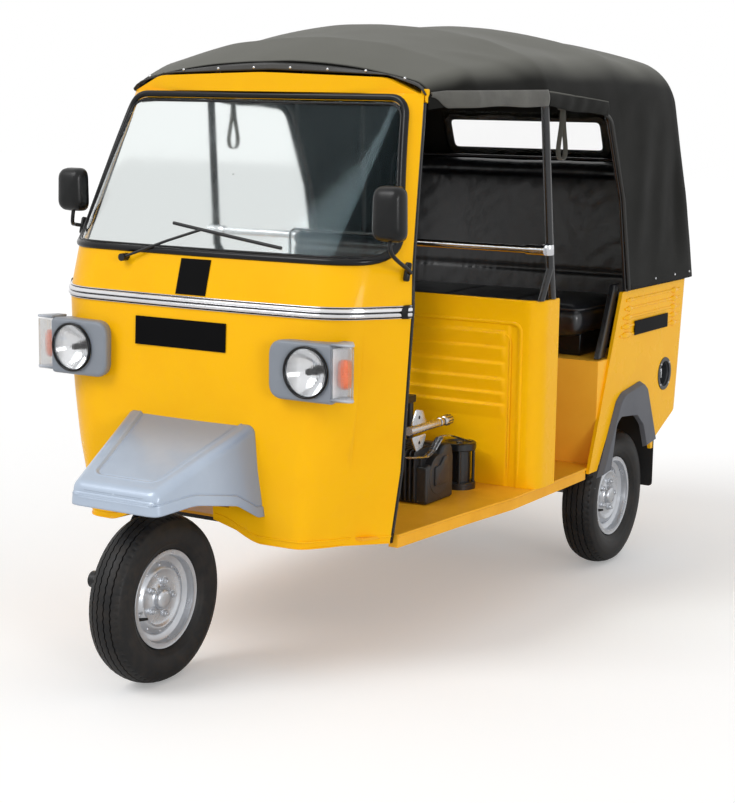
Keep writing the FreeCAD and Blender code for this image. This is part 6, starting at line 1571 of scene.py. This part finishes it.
# ================================================================ seats
@dataclass
class Cushion:
    """A foam cushion in leathercloth: swollen by simulation, then seamed and piped."""
    name: str
    low: Point
    high: Point
    corner: float
    lean: float = 0.0  # how far the top leans back, per metre of height
    voxel: float = 0.008
    swell: float = 0.012  # furthest that a point may move
    start: float = 0.01  # the pad starts this much smaller all round
    channels: Sequence[float] = ()  # sewn channels, as x
    cross_seams: Sequence[float] = ()  # sewn seams across, as a share of the height or depth
    upright: bool = False

    def block(self) -> Object:
        """Rounded block, sheared by its lean."""
        low, high = row(self.low) + self.start, row(self.high) - self.start
        shape = Shape().box(low, high, self.corner, steps=5)
        for points in shape.points:
            points[:, 1] += (points[:, 2] - self.low[2]) * self.lean
        return shape.build(self.name)

    def swollen(self, pad: Object) -> None:
        """Blows the pad up like foam under a tight cover, no point further than the cap."""
        remesh = pad.modifiers.new("even", "REMESH")
        remesh.mode = "VOXEL"
        remesh.voxel_size = self.voxel
        self.apply(pad)
        before = vertices_of(pad)
        cloth = pad.modifiers.new("foam", "CLOTH")
        cloth.settings.use_pressure = True
        cloth.settings.uniform_pressure_force = 4.0
        cloth.settings.quality = 4
        cloth.settings.effector_weights.gravity = 0.0
        cloth.settings.tension_stiffness = 12.0
        cloth.settings.compression_stiffness = 12.0
        cloth.point_cache.frame_start, cloth.point_cache.frame_end = 1, 20
        for step in range(1, 21):
            bpy.context.scene.frame_set(step)
        self.apply(pad)
        bpy.context.scene.frame_set(1)
        after = vertices_of(pad)
        move = after - before
        length = np.linalg.norm(move, axis=1, keepdims=True)
        after = before + move * np.minimum(1, self.swell / np.maximum(length, 1e-9))
        move_vertices(pad, after)

    @staticmethod
    def apply(pad: Object) -> None:
        """Turns the modified mesh into the pad's own."""
        graph = bpy.context.evaluated_depsgraph_get()
        made = bpy.data.meshes.new_from_object(pad.evaluated_get(graph))
        pad.modifiers.clear()
        pad.data = made

    def seamed(self, pad: Object) -> None:
        """Sinks the seams and gathers the cover: each seam is a bell-shaped groove with short puckers beside it."""
        points = vertices_of(pad)
        low, high = points.min(0), points.max(0)
        share = (points - low) / (high - low)
        push = np.zeros(len(points))
        for x in self.channels:
            near = bell(points[:, 0] - x, 0.007)
            pucker = bell(points[:, 0] - x, 0.03) * np.sin(points[:, 1] * 260 + points[:, 2] * 260)
            push -= 0.0075 * near + 0.0006 * pucker
        axis = 2 if self.upright else 1
        for at in self.cross_seams:
            place_at = low[axis] + at * (high[axis] - low[axis])
            near = bell(points[:, axis] - place_at, 0.007)
            pucker = bell(points[:, axis] - place_at, 0.035) * np.sin(points[:, 0] * 210)
            push -= 0.007 * near + 0.0007 * pucker
        push += crumple(points, len(self.name), 10, 0.16, 0.0016) + crumple(points, 3, 10, 0.05, 0.0005)
        front = np.clip(1 - share[:, 1] * 6, 0, 1) * (0.25 if self.upright else 1.0)
        push += 0.0022 * front * np.sin(points[:, 0] * 95 + 3 * np.sin(points[:, 0] * 17)) * (1
                                                                                              - share[:, 2]) ** 0.5
        move_vertices(pad, points + vertices_of(pad, "normal") * push[:, None])

    def piping(self) -> Optional[Object]:
        """Welted seam round the cushion's top or face."""
        inset = self.corner * 0.42
        low, high = row(self.low) + inset, row(self.high) - inset
        second = 2 if self.upright else 1  # the seam's loop lies in x and this axis
        across, along = rounded_box((low[0], low[second]), (high[0], high[second]), self.corner, 8).T
        if self.upright:
            path = xyz(across, low[1] + (along - self.low[2]) * self.lean, along)
        else:
            path = xyz(across, along, high[2])
        path = even_loop(path, 199)
        up = Y_AXIS if self.upright else Z_AXIS
        return Shape().tube(path, 0.0042, sides=8, up=up, closed=True).build(self.name + "_piping")

    def build(self) -> tuple[Object, Object]:
        """The finished cushion and its piping."""
        pad = self.block()
        self.swollen(pad)
        self.seamed(pad)
        pad.data.shade_smooth()
        fine = pad.modifiers.new("fine", "SUBSURF")
        fine.levels = fine.render_levels = 1
        return pad, self.piping()


@dataclass
class Seats:
    """Driver's seat and passenger bench, each a cushion and a backrest."""

    def build(self) -> None:
        """Both seats, on the chassis."""
        seat_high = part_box("driver_seat")[1]
        bench_low, bench_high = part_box("passenger_seat")
        x = seat_high.x
        driver = Cushion("driver_cushion", (-x, 0.68, 0.7005), (x, 1.038, 0.7955), 0.03, voxel=0.006,
                         channels=(-0.08, 0.08))
        back = Cushion("driver_backrest", (-x, 1.008, 0.89), (x, 1.066, seat_high.z), 0.026, voxel=0.006,
                       swell=0.01,
                       upright=True, cross_seams=(0.86,))
        b = bench_high.x
        base = Cushion("bench_cushion", (-b, 1.6, bench_low.z + 0.07), (b, 2.1, bench_low.z + 0.184), 0.036,
                       voxel=0.009,
                       swell=0.012, channels=(-0.28, 0.0, 0.28))
        # Seat pan set back under the bench cushion, in near-black as painted shade for the recess beneath it.
        pan = Shape().box((-b + 0.05, 1.705, bench_low.z), (b - 0.05, 2.09, bench_low.z + 0.078), 0.006)
        pan.fit("bench_pan", "seal_black", SEAL)
        rest = Cushion("bench_backrest", (-b, 2.102, 0.7735), (b, 2.192, bench_high.z), 0.036, lean=0.128,
                       voxel=0.01, swell=0.014,
                       upright=True, cross_seams=(0.36, 0.92))
        for parts, node in (((driver, back), "driver_seat"), ((base, rest), "passenger_seat")):
            for cushion in parts:
                pad, piping = cushion.build()
                place(pad, "chassis", "seat_vinyl", VINYL, node)
                place(piping, "chassis", "seat_vinyl", VINYL)


# ================================================================ fittings
@dataclass
class Partition:
    """Pressed partition behind the driver: a face with stepped slats and two round returns."""
    half: float = 0.625
    face_y: float = 1.15
    corner: float = 0.06
    depth: float = 0.133
    low: float = 0.4183
    high: float = 1.02
    wall: float = 0.012
    slat_half: float = 0.5
    slat_tops: Sequence[float] = (0.918, 0.868, 0.818, 0.768, 0.722, 0.684)
    slat_depth: float = 0.0085

    def relief(self, x: Array, z: Array) -> Array:
        """How far the face stands forward: each slat steps out under its top edge and runs back in to the next."""
        tops = row(self.slat_tops)
        below = tops[:, None, None] - z
        fall = np.append(-np.diff(tops), 0.048)[:, None, None]
        slat = smoothstep(below, -0.001,
                          0.007) * (1 - np.clip((below - 0.007) / (fall - 0.007), 0, 1)) * (below < fall)
        across = 1 - smoothstep(np.abs(x), self.slat_half - 0.004, self.slat_half + 0.006)
        tab = smoothstep(np.abs(x), 0.512, 0.519) - smoothstep(np.abs(x), 0.545, 0.553)
        tab = 0.0045 * tab * (1 - smoothstep(z, 0.93, 0.945))
        return self.slat_depth * slat.sum(0) * across - tab

    def build(self) -> None:
        """The panel as one closed skin: outer face, top, inner face and lower edge."""
        def plan(inset: float) -> Array:
            """Plan line moved in by inset, evenly spaced."""
            side, face, back = self.half - inset, self.face_y + inset, self.face_y + self.depth
            return rounded([(-side, back), (-side, face), (side, face), (side, back)],
                           [0, self.corner - inset, self.corner - inset, 0], steps=14)
        outer, inner = (resample(plan(inset), 300) for inset in (0.0, self.wall))
        z = np.linspace(self.low, self.high - 0.004, 220)
        x = np.broadcast_to(outer[:, 0], (len(z), 300))
        flat = (np.abs(x) < self.half - self.corner) & (outer[:, 1] < self.face_y + 0.02)
        y = outer[:, 1] - self.relief(x, z[:, None] + 0 * x) * flat
        front = xyz(x, y, z[:, None])
        def at(line: Array, height: float) -> Array:
            """A plan line at a height."""
            return xyz(*line.T, height)
        rim = [at(outer + (inner - outer) * share, height) for share, height in
               ((0.1, self.high - 0.0012), (0.35, self.high), (0.65, self.high), (0.9, self.high - 0.0012),
                (1.0, self.high - 0.004),
                (1.0, self.low))]
        grid = np.concatenate([front, np.stack(rim)])
        shape = Shape().add(grid, wrap_rows=True)
        for end in (0, -1):
            strip = grid[:, end]
            shape.add(np.stack([strip[:len(z)], np.linspace(strip[len(z) + 5], strip[len(z) + 4], len(z))]))
        shape.fit("bulkhead_panel", "body_yellow", YELLOW, "bulkhead", smooth=60)


@dataclass
class SideRibs:
    """Ribs rolled into the rear body's sides, and the plates that close the seat riser against them."""
    top: float = 0.962
    pitch: float = 0.03
    count: int = 5
    x: float = 0.625
    half: float = 0.011
    plate: tuple[float, float] = (1.87, 2.22)  # the ribs lie flatter under the blank plate

    def build(self) -> None:
        """Ribs as flattened bars that run out at both ends, then the plates."""
        shape = Shape()
        ends = np.clip(np.minimum(np.arange(60), np.arange(60)[::-1]) / 5, 0.12, 1)
        for k in range(self.count):
            z = self.top - k * self.pitch
            start = 1.553 + (1.788 - 1.553) * (z - 0.4) / 0.584 + 0.035
            path = np.linspace((self.x, start, z), (self.x, 2.3, z), 60)
            under = smoothstep(path[:, 1], self.plate[0] - 0.03,
                               self.plate[0]) - smoothstep(path[:, 1], self.plate[1], self.plate[1] + 0.03)
            shape.tube(path, self.half * ends * (1 - 0.54 * under), sides=12, up=X_AXIS, flat=0.75)
        shape.both_sides().fit("body_side_ribs", "body_yellow", YELLOW, smooth=60)
        outline = row([(1.6225, 0.414), (1.664, 0.414), (1.738, 0.771), (1.6225, 0.771)])
        plate = Shape().plate(outline, (0.6122, 0.0, 0.0), Y_AXIS, Z_AXIS, 0.003, 0.0008)
        plate.both_sides().fit("riser_end_plates", "riser_orange", RISER)


@dataclass
class BulkheadBeads:
    """Rolled beads that frame the slats on the partition's face."""
    face_y: float = 1.15
    frame_x: float = 0.557
    frame_top: float = 0.945
    frame_low: float = 0.436
    bead: float = 0.0065

    def build(self) -> None:
        """Frame bead round the slats and a finer one inside it."""
        x, top, low = self.frame_x, self.frame_top, self.frame_low
        shape = Shape()
        for inset, size in ((0.0, self.bead), (0.036, self.bead * 0.55)):
            corners = [(-x + inset, low), (-x + inset, top - inset), (x - inset, top - inset), (x - inset, low)]
            line = resample(rounded(corners, [0, 0.03, 0.03, 0], steps=8), 160)
            path = xyz(line[:, 0], self.face_y, line[:, 1])
            taper = np.clip(np.minimum(np.arange(160), np.arange(160)[::-1]) / 6, 0.15, 1)
            shape.tube(path, size * taper, sides=10, up=Y_AXIS, flat=0.6)
        shape.fit("bulkhead_beads", "body_yellow", YELLOW)


@dataclass
class SillBeads:
    """Rolled bead along each edge of the floor."""
    plan: Sequence[Point] = ((0.404, 0.556, 0.0), (0.69, 0.579, 0.0), (0.76, 0.585, 0.0), (1.02, 0.613, 0.0),
                             (1.548, 0.613, 0.0))
    z: float = 0.415
    bead: float = 0.0046

    def build(self) -> None:
        """Both beads: a bar along the floor's plan line."""
        plan = row(self.plan)
        path = resample(xyz(plan[:, 1] - 0.001, plan[:, 0], self.z), 80)
        shape = Shape().tube(path, self.bead, sides=10)
        shape.both_sides().fit("sill_beads", "floor_paint", FLOOR)


@dataclass
class AirCleaner:
    """Open canister beside the engine: two round flanges on posts, with a dark core between them."""
    x: float = 0.398
    y: float = 1.058
    low: float = 0.4155
    height: float = 0.152
    flange: float = 0.052
    core: float = 0.036
    posts: int = 5

    def build(self) -> None:
        """The canister, on the chassis."""
        top = self.height
        profile = [(0.0, 0.001), (0.0, self.flange - 0.003), (0.003, self.flange), (0.022, self.flange),
                   (0.025, self.flange - 0.004),
                   (0.026, self.core), (top - 0.027, self.core), (top - 0.026, self.flange - 0.004),
                   (top - 0.023, self.flange),
                   (top - 0.004, self.flange), (top - 0.001, self.flange - 0.003),
                   (top - 0.001, self.flange - 0.01),
                   (top - 0.006, self.flange - 0.014), (top - 0.006, 0.012), (top, 0.009), (top, 0.001)]
        shape = Shape().lathe(profile, (self.x, self.y, self.low), Z_AXIS, 64)
        for k in range(self.posts):
            turn = math.tau * (k + 0.12) / self.posts
            x, y = self.x + (self.flange - 0.006) * math.cos(turn), self.y + (self.flange - 0.006) * math.sin(turn)
            shape.tube(np.linspace((x, y, self.low + 0.02), (x, y, self.low + top - 0.02), 3), 0.0052, sides=10,
                       up=X_AXIS)
        shape.fit("air_canister", "canister_black", CANISTER, "air_cleaner", smooth=30)


@dataclass
class EngineFittings:
    """Starting lever, bracket strap, lug plates and bolts about the engine."""
    x: float = 0.405

    def lever(self) -> None:
        """Bright hand lever: a turned shank with collars and a ribbed knob."""
        profile = [(0.0, 0.001), (0.0, 0.0135), (0.18, 0.0135), (0.182, 0.0105), (0.188, 0.0105), (0.19, 0.014),
                   (0.202, 0.014),
                   (0.204, 0.0105), (0.216, 0.0105), (0.218, 0.014), (0.226, 0.0155), (0.244, 0.016),
                   (0.258, 0.0145), (0.266, 0.0095),
                   (0.268, 0.001)]
        start = row((self.x, 0.716, 0.652))
        shape = Shape().lathe(profile, start, Y_AXIS, 32)
        shape.fit("starting_lever", "engine_alloy", ZINC, smooth=35)
        ribs = Shape()
        size = 0.0112
        for at in (0.185, 0.21):
            ribs.lathe([(at - 0.003, 0.001), (at - 0.003, size), (at + 0.003, size), (at + 0.003, 0.001)], start,
                       Y_AXIS, 24)
        for k in range(10):
            turn = math.tau * k / 10
            edge = start + row((0.0155 * math.cos(turn), 0.226, 0.0155 * math.sin(turn)))
            ribs.tube(np.linspace(edge, edge + row((0.0, 0.026, 0.0)), 3), 0.0018, sides=6)
        ribs.fit("lever_ribs", "mirror_black", STEEL)

    def strap(self) -> None:
        """Bent flat strap over the gearbox: a strip along a rounded side-view line."""
        corners = [(0.674, 0.581), (0.775, 0.566), (0.82, 0.582), (0.866, 0.616), (0.925, 0.612), (1.05, 0.574)]
        line = rounded(corners, [0, 0.04, 0.03, 0.04, 0.06, 0], steps=6)
        path = xyz(self.x + 0.026, line[:, 0], line[:, 1])
        Shape().tube(path, 0.013, sides=8, up=Z_AXIS, flat=0.22).fit("gearbox_strap", "engine_alloy", ZINC)

    def casing(self) -> None:
        """Cast gearbox casing in front of the fins: a humped side view with round edges and a parting rib."""
        hump = rounded([(0.762, 0.42), (0.93, 0.42), (0.93, 0.55), (0.915, 0.59), (0.872, 0.592), (0.822, 0.546),
                        (0.762, 0.538)],
                       [0.012, 0.012, 0.016, 0.016, 0.03, 0.03, 0.014], closed=True, steps=6)
        shape = Shape().plate(hump, (0.445, 0.0, 0.0), Y_AXIS, Z_AXIS, 0.15, 0.008)
        shape.points = [p - row((0.15, 0.0, 0.0)) for p in shape.points]
        rib = hump * 0.5 + hump.mean(0) * 0.5
        shape.plate(rib, (0.443, 0.0, 0.0), Y_AXIS, Z_AXIS, 0.008, 0.003)
        shape.fit("gearbox_casing", "engine_alloy", ALLOY, smooth=50)

    def lugs(self) -> None:
        """Two folded lug plates that carry the lever, and their bolts."""
        outline = rounded([(0.0, 0.0), (0.092, 0.0), (0.066, 0.04), (0.03, 0.048)], [0.006] * 4, closed=True,
                          steps=3)
        shape = Shape()
        for z, lift in ((0.668, 1.0), (0.634, -1.0)):
            shape.plate(outline * row((1.0, lift)), (self.x + 0.006, 0.716, z), Y_AXIS, Z_AXIS, 0.006, 0.001)
        for y, z in ((0.76, 0.69), (0.762, 0.612)):
            shape.lathe([(0.0, 0.001), (0.0, 0.008), (0.005, 0.008), (0.006, 0.006), (0.006, 0.001)],
                        (self.x + 0.006, y, z),
                        X_AXIS, 6)
        shape.fit("lever_lugs", "engine_alloy", ZINC, smooth=25)

    def build(self) -> None:
        """All of them, on the chassis."""
        self.lever()
        self.casing()
        self.strap()
        self.lugs()


@dataclass
class QuarterLiners:
    """Black liner panels inside the rear quarters, ahead of the body's slanting front edge."""
    slant: float = 0.4024  # along Y for each metre up
    edge_y: float = 1.7005  # the body's front edge at the seat deck
    deck_z: float = 0.776
    top_z: float = 1.022
    width: float = 0.056
    x: float = 0.587

    def build(self) -> None:
        """Both liners with their piped edges."""
        rise = self.top_z - self.deck_z
        low, high = self.edge_y, self.edge_y + self.slant * rise
        outline = rounded([(low - self.width, self.deck_z), (low, self.deck_z), (high, self.top_z),
                           (high - self.width * 0.72, self.top_z)],
                          [0.002, 0.002, 0.006, 0.012], closed=True, steps=4)
        panel = Shape().plate(outline, (self.x + 0.018, 0, 0), Y_AXIS, Z_AXIS, 0.018, 0.003)
        panel.points = [p - row((0.018, 0, 0)) for p in panel.points]
        panel.both_sides().fit("quarter_liners", "seat_vinyl", VINYL)
        path = np.array([(self.x + 0.018, low - self.width, self.deck_z + 0.004),
                         (self.x + 0.018, high - self.width * 0.75, self.top_z - 0.008)])
        pipe = Shape().tube(resample(path, 12), 0.003, sides=8)
        pipe.both_sides().fit("liner_piping", "seat_vinyl", HOOD_BAND)


@dataclass
class PoleFittings:
    """Clamps that hold the grab rail to the side poles."""
    x: float = 0.6192
    y: float = 1.112
    rail_z: float = 1.182

    def build(self) -> None:
        """Both clamps."""
        def centre(z: float) -> Point:
            """The pole's own centre at a height."""
            return tuple(row((self.x, self.y, z)) + pole_shift(z))
        lean = unit(row(centre(1.372)) - row(centre(1.206)))
        joint = centre(self.rail_z)
        clamp = Shape().lathe([(-0.016, 0.0126), (-0.016, 0.017), (-0.013, 0.0182), (0.013, 0.0182), (0.016, 0.017),
                               (0.016, 0.0126)],
                              joint, tuple(lean), 32, closed=True)
        x, y, z = joint
        clamp.lathe([(-0.062, 0.0122), (-0.062, 0.015), (-0.056, 0.016), (-0.024, 0.016), (-0.012, 0.0122)],
                    (x, y - 0.0245, z),
                    X_AXIS, 28, closed=True)
        clamp.both_sides().fit("rail_clamps", "rail_bright", NICKEL, smooth=35)


@dataclass
class GrabStraps:
    """Webbing loops that hang from the roof rail: a band along a drop-shaped line."""
    width: float = 0.0085  # half the band's width
    belly: float = 0.026

    def build(self) -> None:
        """Both loops, in the room of their CAD solids."""
        low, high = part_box("grab_straps")
        x = high.x - self.width + 0.006
        y = (low.y + high.y) / 2 - AXLE_Y + 0.015
        t = np.linspace(0, 1, 49)[:, None]
        drop = np.sin(math.pi * t) ** 0.62
        down = high.z - (high.z - low.z + 0.03) * drop
        out = (3.5 * self.belly * drop ** 2.5 * np.sqrt(1 - drop) + 0.0028) * np.sign(t - 0.5)
        path = np.concatenate([np.full_like(t, x), y + out, down], 1)
        band = Shape().tube(path, self.width, sides=10, up=X_AXIS)
        ring = band.points[0].reshape(len(t), 10, 3)
        tangent = unit(np.gradient(path, axis=0))
        normal = unit(np.cross(tangent, row(X_AXIS)))
        off = ring - path[:, None]
        along_normal = (off * normal[:, None]).sum(-1, keepdims=True) * normal[:, None]
        band.points[0] = (path[:, None] + off - along_normal * 0.87).reshape(-1, 3)
        band.box((x - 0.015, y - 0.01, high.z - 0.016), (x + 0.013, y + 0.01, high.z - 0.001), 0.003)
        band.both_sides().fit("grab_straps_webbing", "strap_web", WEB, "grab_straps", smooth=50)


@dataclass
class SmallFittings:
    """Filler cap, tail lamp bezels and the mirrors."""
    # side, x, y, z and height of each mirror's head, and where its arm is bolted on
    heads: Sequence[tuple[float, ...]] = ((1, 0.596, 0.252, 1.336, 0.15, 1.172),
                                          (-1, 0.562, 0.322, 1.354, 0.13, 1.24))

    def filler(self) -> None:
        """Vented cap with a latch bar and screws round the surround."""
        x, y, z = 0.611, 2.192, 0.662
        cap = Shape().lathe([(-0.008, 0.001), (-0.008, 0.0215), (-0.003, 0.023), (0.0, 0.0205), (0.001, 0.001)],
                            (x - 0.004, y, z),
                            X_AXIS, 32)
        cap.box((x - 0.003, y - 0.004, z - 0.018), (x + 0.004, y + 0.004, z + 0.018), 0.002)
        for k in range(4):
            at = circle_of((SIDE_X + 0.003, y, z), 0.053, math.pi * (k / 2 + 0.25))
            cap.lathe([(0.0, 0.001), (0.0, 0.0042), (0.002, 0.0036), (0.0024, 0.001)], at, X_AXIS, 14)
        cap.fit("filler_cap", "rail_bright", ZINC, smooth=35)

    def bezels(self) -> None:
        """Black rims round the tail lamps, with a bar between their two fields."""
        low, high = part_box("tail_lamps")
        y = high.y - AXLE_Y - 0.004
        loop = rounded_box((0.428, low.z - 0.003), (0.512, high.z + 0.003), 0.012)
        middle = (low.z + high.z) / 2
        path = xyz(loop[:, 0], y, loop[:, 1])
        shape = Shape().tube(path, 0.0042, sides=8, up=Y_AXIS, closed=True)
        shape.tube(np.linspace((0.43, y, middle + 0.02), (0.51, y, middle + 0.02), 3), 0.003, sides=8)
        shape.both_sides().fit("tail_lamp_bezels", "mirror_black", MIRROR_BLACK)

    def mirror_shells(self) -> None:
        """Domed heads on bent arms: each head's section shrinks forwards as a quarter ellipse."""
        shape = Shape()
        for side, x, y, z, height, foot in self.heads:
            rows = []
            for share, depth in ((0.1, -0.0225), (0.45, -0.0215), (0.72, -0.018), (0.88, -0.011), (0.965, -0.001),
                                 (1.0, 0.012),
                                 (1.0, 0.024), (0.965, 0.0265), (0.9, 0.0265), (0.88, 0.024), (0.2, 0.024)):
                h, v, bend = 0.049 * share, height / 2 * share, 0.03 * share
                loop = rounded([(-h, -v), (h, -v), (h * 0.93, v), (-h * 0.93, v)], [bend] * 4, closed=True, steps=8)
                rows.append(xyz(side * x + loop[:, 0], y + depth, z + loop[:, 1]))
            shape.rings(np.stack(rows))
            share = (foot - 1.19) / (1.655 - 1.19)
            foot_x, foot_y = 0.588 + (0.514 - 0.588) * share, 0.402 + (0.582 - 0.402) * share - 0.024
            path = [(foot_x - 0.002, foot_y, foot), (foot_x + 0.018, foot_y - 0.018, foot + 0.004),
                    (x + 0.008, y + 0.013, z - height / 2 - 0.034),
                    (x, y + 0.01, z - height / 2 + 0.012)]
            arm = spline(path, 60) * row((side, 1, 1))
            shape.tube(arm, 0.0058, sides=12, up=(0.3, 1.0, 0.2))
            shape.lathe([(-0.026, 0.001), (-0.026, 0.007), (-0.022, 0.0095), (0.022, 0.0095), (0.026, 0.007),
                         (0.026, 0.001)],
                        (side * foot_x, foot_y, foot), (0.0, 0.3, 1.0), 20)
        shape.fit("mirror_shells", "mirror_black", MIRROR_BLACK, "mirrors", smooth=50)

    def mirror_glass(self) -> None:
        """Silvered glass in the rear face of each mirror."""
        shape = Shape()
        for side, x, y, z, height, _ in self.heads:
            h, v = 0.04, height / 2 - 0.009
            outline = rounded_box((-h, -v), (h, v), 0.014, 5)
            shape.plate(outline, (side * x, y + 0.0256, z), (-1.0, 0.0, 0.0), Z_AXIS, 0.0012, 0.0004)
        shape.fit("mirror_glass", "mirror_black", MIRROR_FACE)

    def build(self) -> None:
        """All of them, on the chassis."""
        self.filler()
        self.bezels()
        self.mirror_shells()
        self.mirror_glass()


# ================================================================ camera, light, floor
@dataclass(frozen=True)
class Studio:
    """A pale floor, soft light from above and the left front, and the camera."""
    camera_at: Point = (3.055, -3.901, 1.662)  # along Y from the front axle
    turn: float = math.radians(31.195)  # camera's heading, from the vehicle's own length
    dip: float = math.radians(9.807)
    roll: float = math.radians(0.771)
    lens_mm: float = 80.7
    floor_half: float = 30.0

    def camera(self) -> None:
        """Sets the camera square to its heading, dip and roll."""
        ahead = Vector((-math.sin(self.turn) * math.cos(self.dip), math.cos(self.turn) * math.cos(self.dip),
                        -math.sin(self.dip)))
        right = Vector((math.cos(self.turn), math.sin(self.turn), 0.0))
        up = right.cross(ahead)
        right, up = (right * math.cos(self.roll) + up * math.sin(self.roll),
                     up * math.cos(self.roll) - right * math.sin(self.roll))
        data = bpy.data.cameras.new("camera")
        data.lens = self.lens_mm
        data.sensor_width = 36.0
        data.clip_end = 200.0
        holder = bpy.data.objects.new("camera", data)
        turn = Matrix((right, up, -ahead)).transposed().to_4x4()
        x, y, z = self.camera_at
        holder.matrix_world = Matrix.Translation((x, y + AXLE_Y, z)) @ turn
        bpy.context.scene.collection.objects.link(holder)
        bpy.context.scene.camera = holder

    def sun(self, name: str, towards: Point, strength: float, spread: float) -> None:
        """A wide soft sun that shines along a direction."""
        data = bpy.data.lights.new(name, "SUN")
        data.energy = strength
        data.angle = math.radians(spread)
        holder = bpy.data.objects.new(name, data)
        holder.rotation_euler = Vector(towards).to_track_quat("-Z", "Y").to_euler()
        bpy.context.scene.collection.objects.link(holder)

    def world(self) -> None:
        """An even sky that lights at a plain level and shows as white."""
        world = bpy.data.worlds.new("studio_sky")
        bpy.context.scene.world = world
        tree = blank(world)
        path = add_node(tree, "LightPath")
        seen = path["Is Camera Ray"]
        for ray in ("Is Transmission Ray", "Is Glossy Ray"):
            seen = add_node(tree, "Math", {0: seen, 1: path[ray]}, operation="MAXIMUM")[0]
        level = add_node(tree, "MapRange", {0: seen, 3: 0.62, 4: 1.0})[0]
        sky = add_node(tree, "Background", {0: linear("#FFFFFF"), 1: level})[0]
        add_node(tree, "OutputWorld", {0: sky})

    def floor(self) -> None:
        """A white studio floor that keeps the vehicle's shadow."""
        h = self.floor_half
        shape = Shape().add(row([[(-h, -h, 0), (h, -h, 0)], [(-h, h, 0), (h, h, 0)]]))
        floor = shape.build("studio_floor", outward=False)
        made = bpy.data.materials.new("matt_white_floor")
        tree = blank(made)
        skin = add_node(tree, "BsdfDiffuse", {0: linear("#F1F1F1")})[0]
        seen = add_node(tree, "LightPath")["Is Camera Ray"]
        lift = add_node(tree, "MapRange", {0: seen, 3: 0.0, 4: 0.24})[0]
        glow = add_node(tree, "Emission", {0: linear("#FFFFFF"), 1: lift})[0]
        both = add_node(tree, "AddShader", {0: skin, 1: glow})[0]
        add_node(tree, "OutputMaterial", {0: both})
        floor.data.materials.append(made)

    def build(self) -> None:
        """Camera, lights, sky and floor."""
        self.camera()
        self.sun("key", (0.45, 0.75, -0.85), 1.15, 30.0)
        self.sun("side", (-0.86, 0.47, -0.16), 0.75, 16.0)
        self.world()
        self.floor()
        bpy.context.scene.view_settings.view_transform = "Standard"
        LOG.info("studio: camera, two soft suns, floor")


def main() -> None:
    """Builds the assemblies in order."""
    carry_forms()
    Hood().build()
    for wheel in WHEELS:
        wheel.build()
    for side in (1, -1):
        Headlamp(side).build()
    COWL.build()
    Mudguard().build()
    CornerLamps().build()
    Seats().build()
    for assembly in (Windscreen, LampPod, Partition, SideRibs, BulkheadBeads, SillBeads, AirCleaner, EngineFittings,
                     QuarterLiners, PoleFittings, GrabStraps, SmallFittings):
        assembly().build()
    Studio().build()
    bpy.context.view_layer.update()


if __name__ == "__main__":
    main()
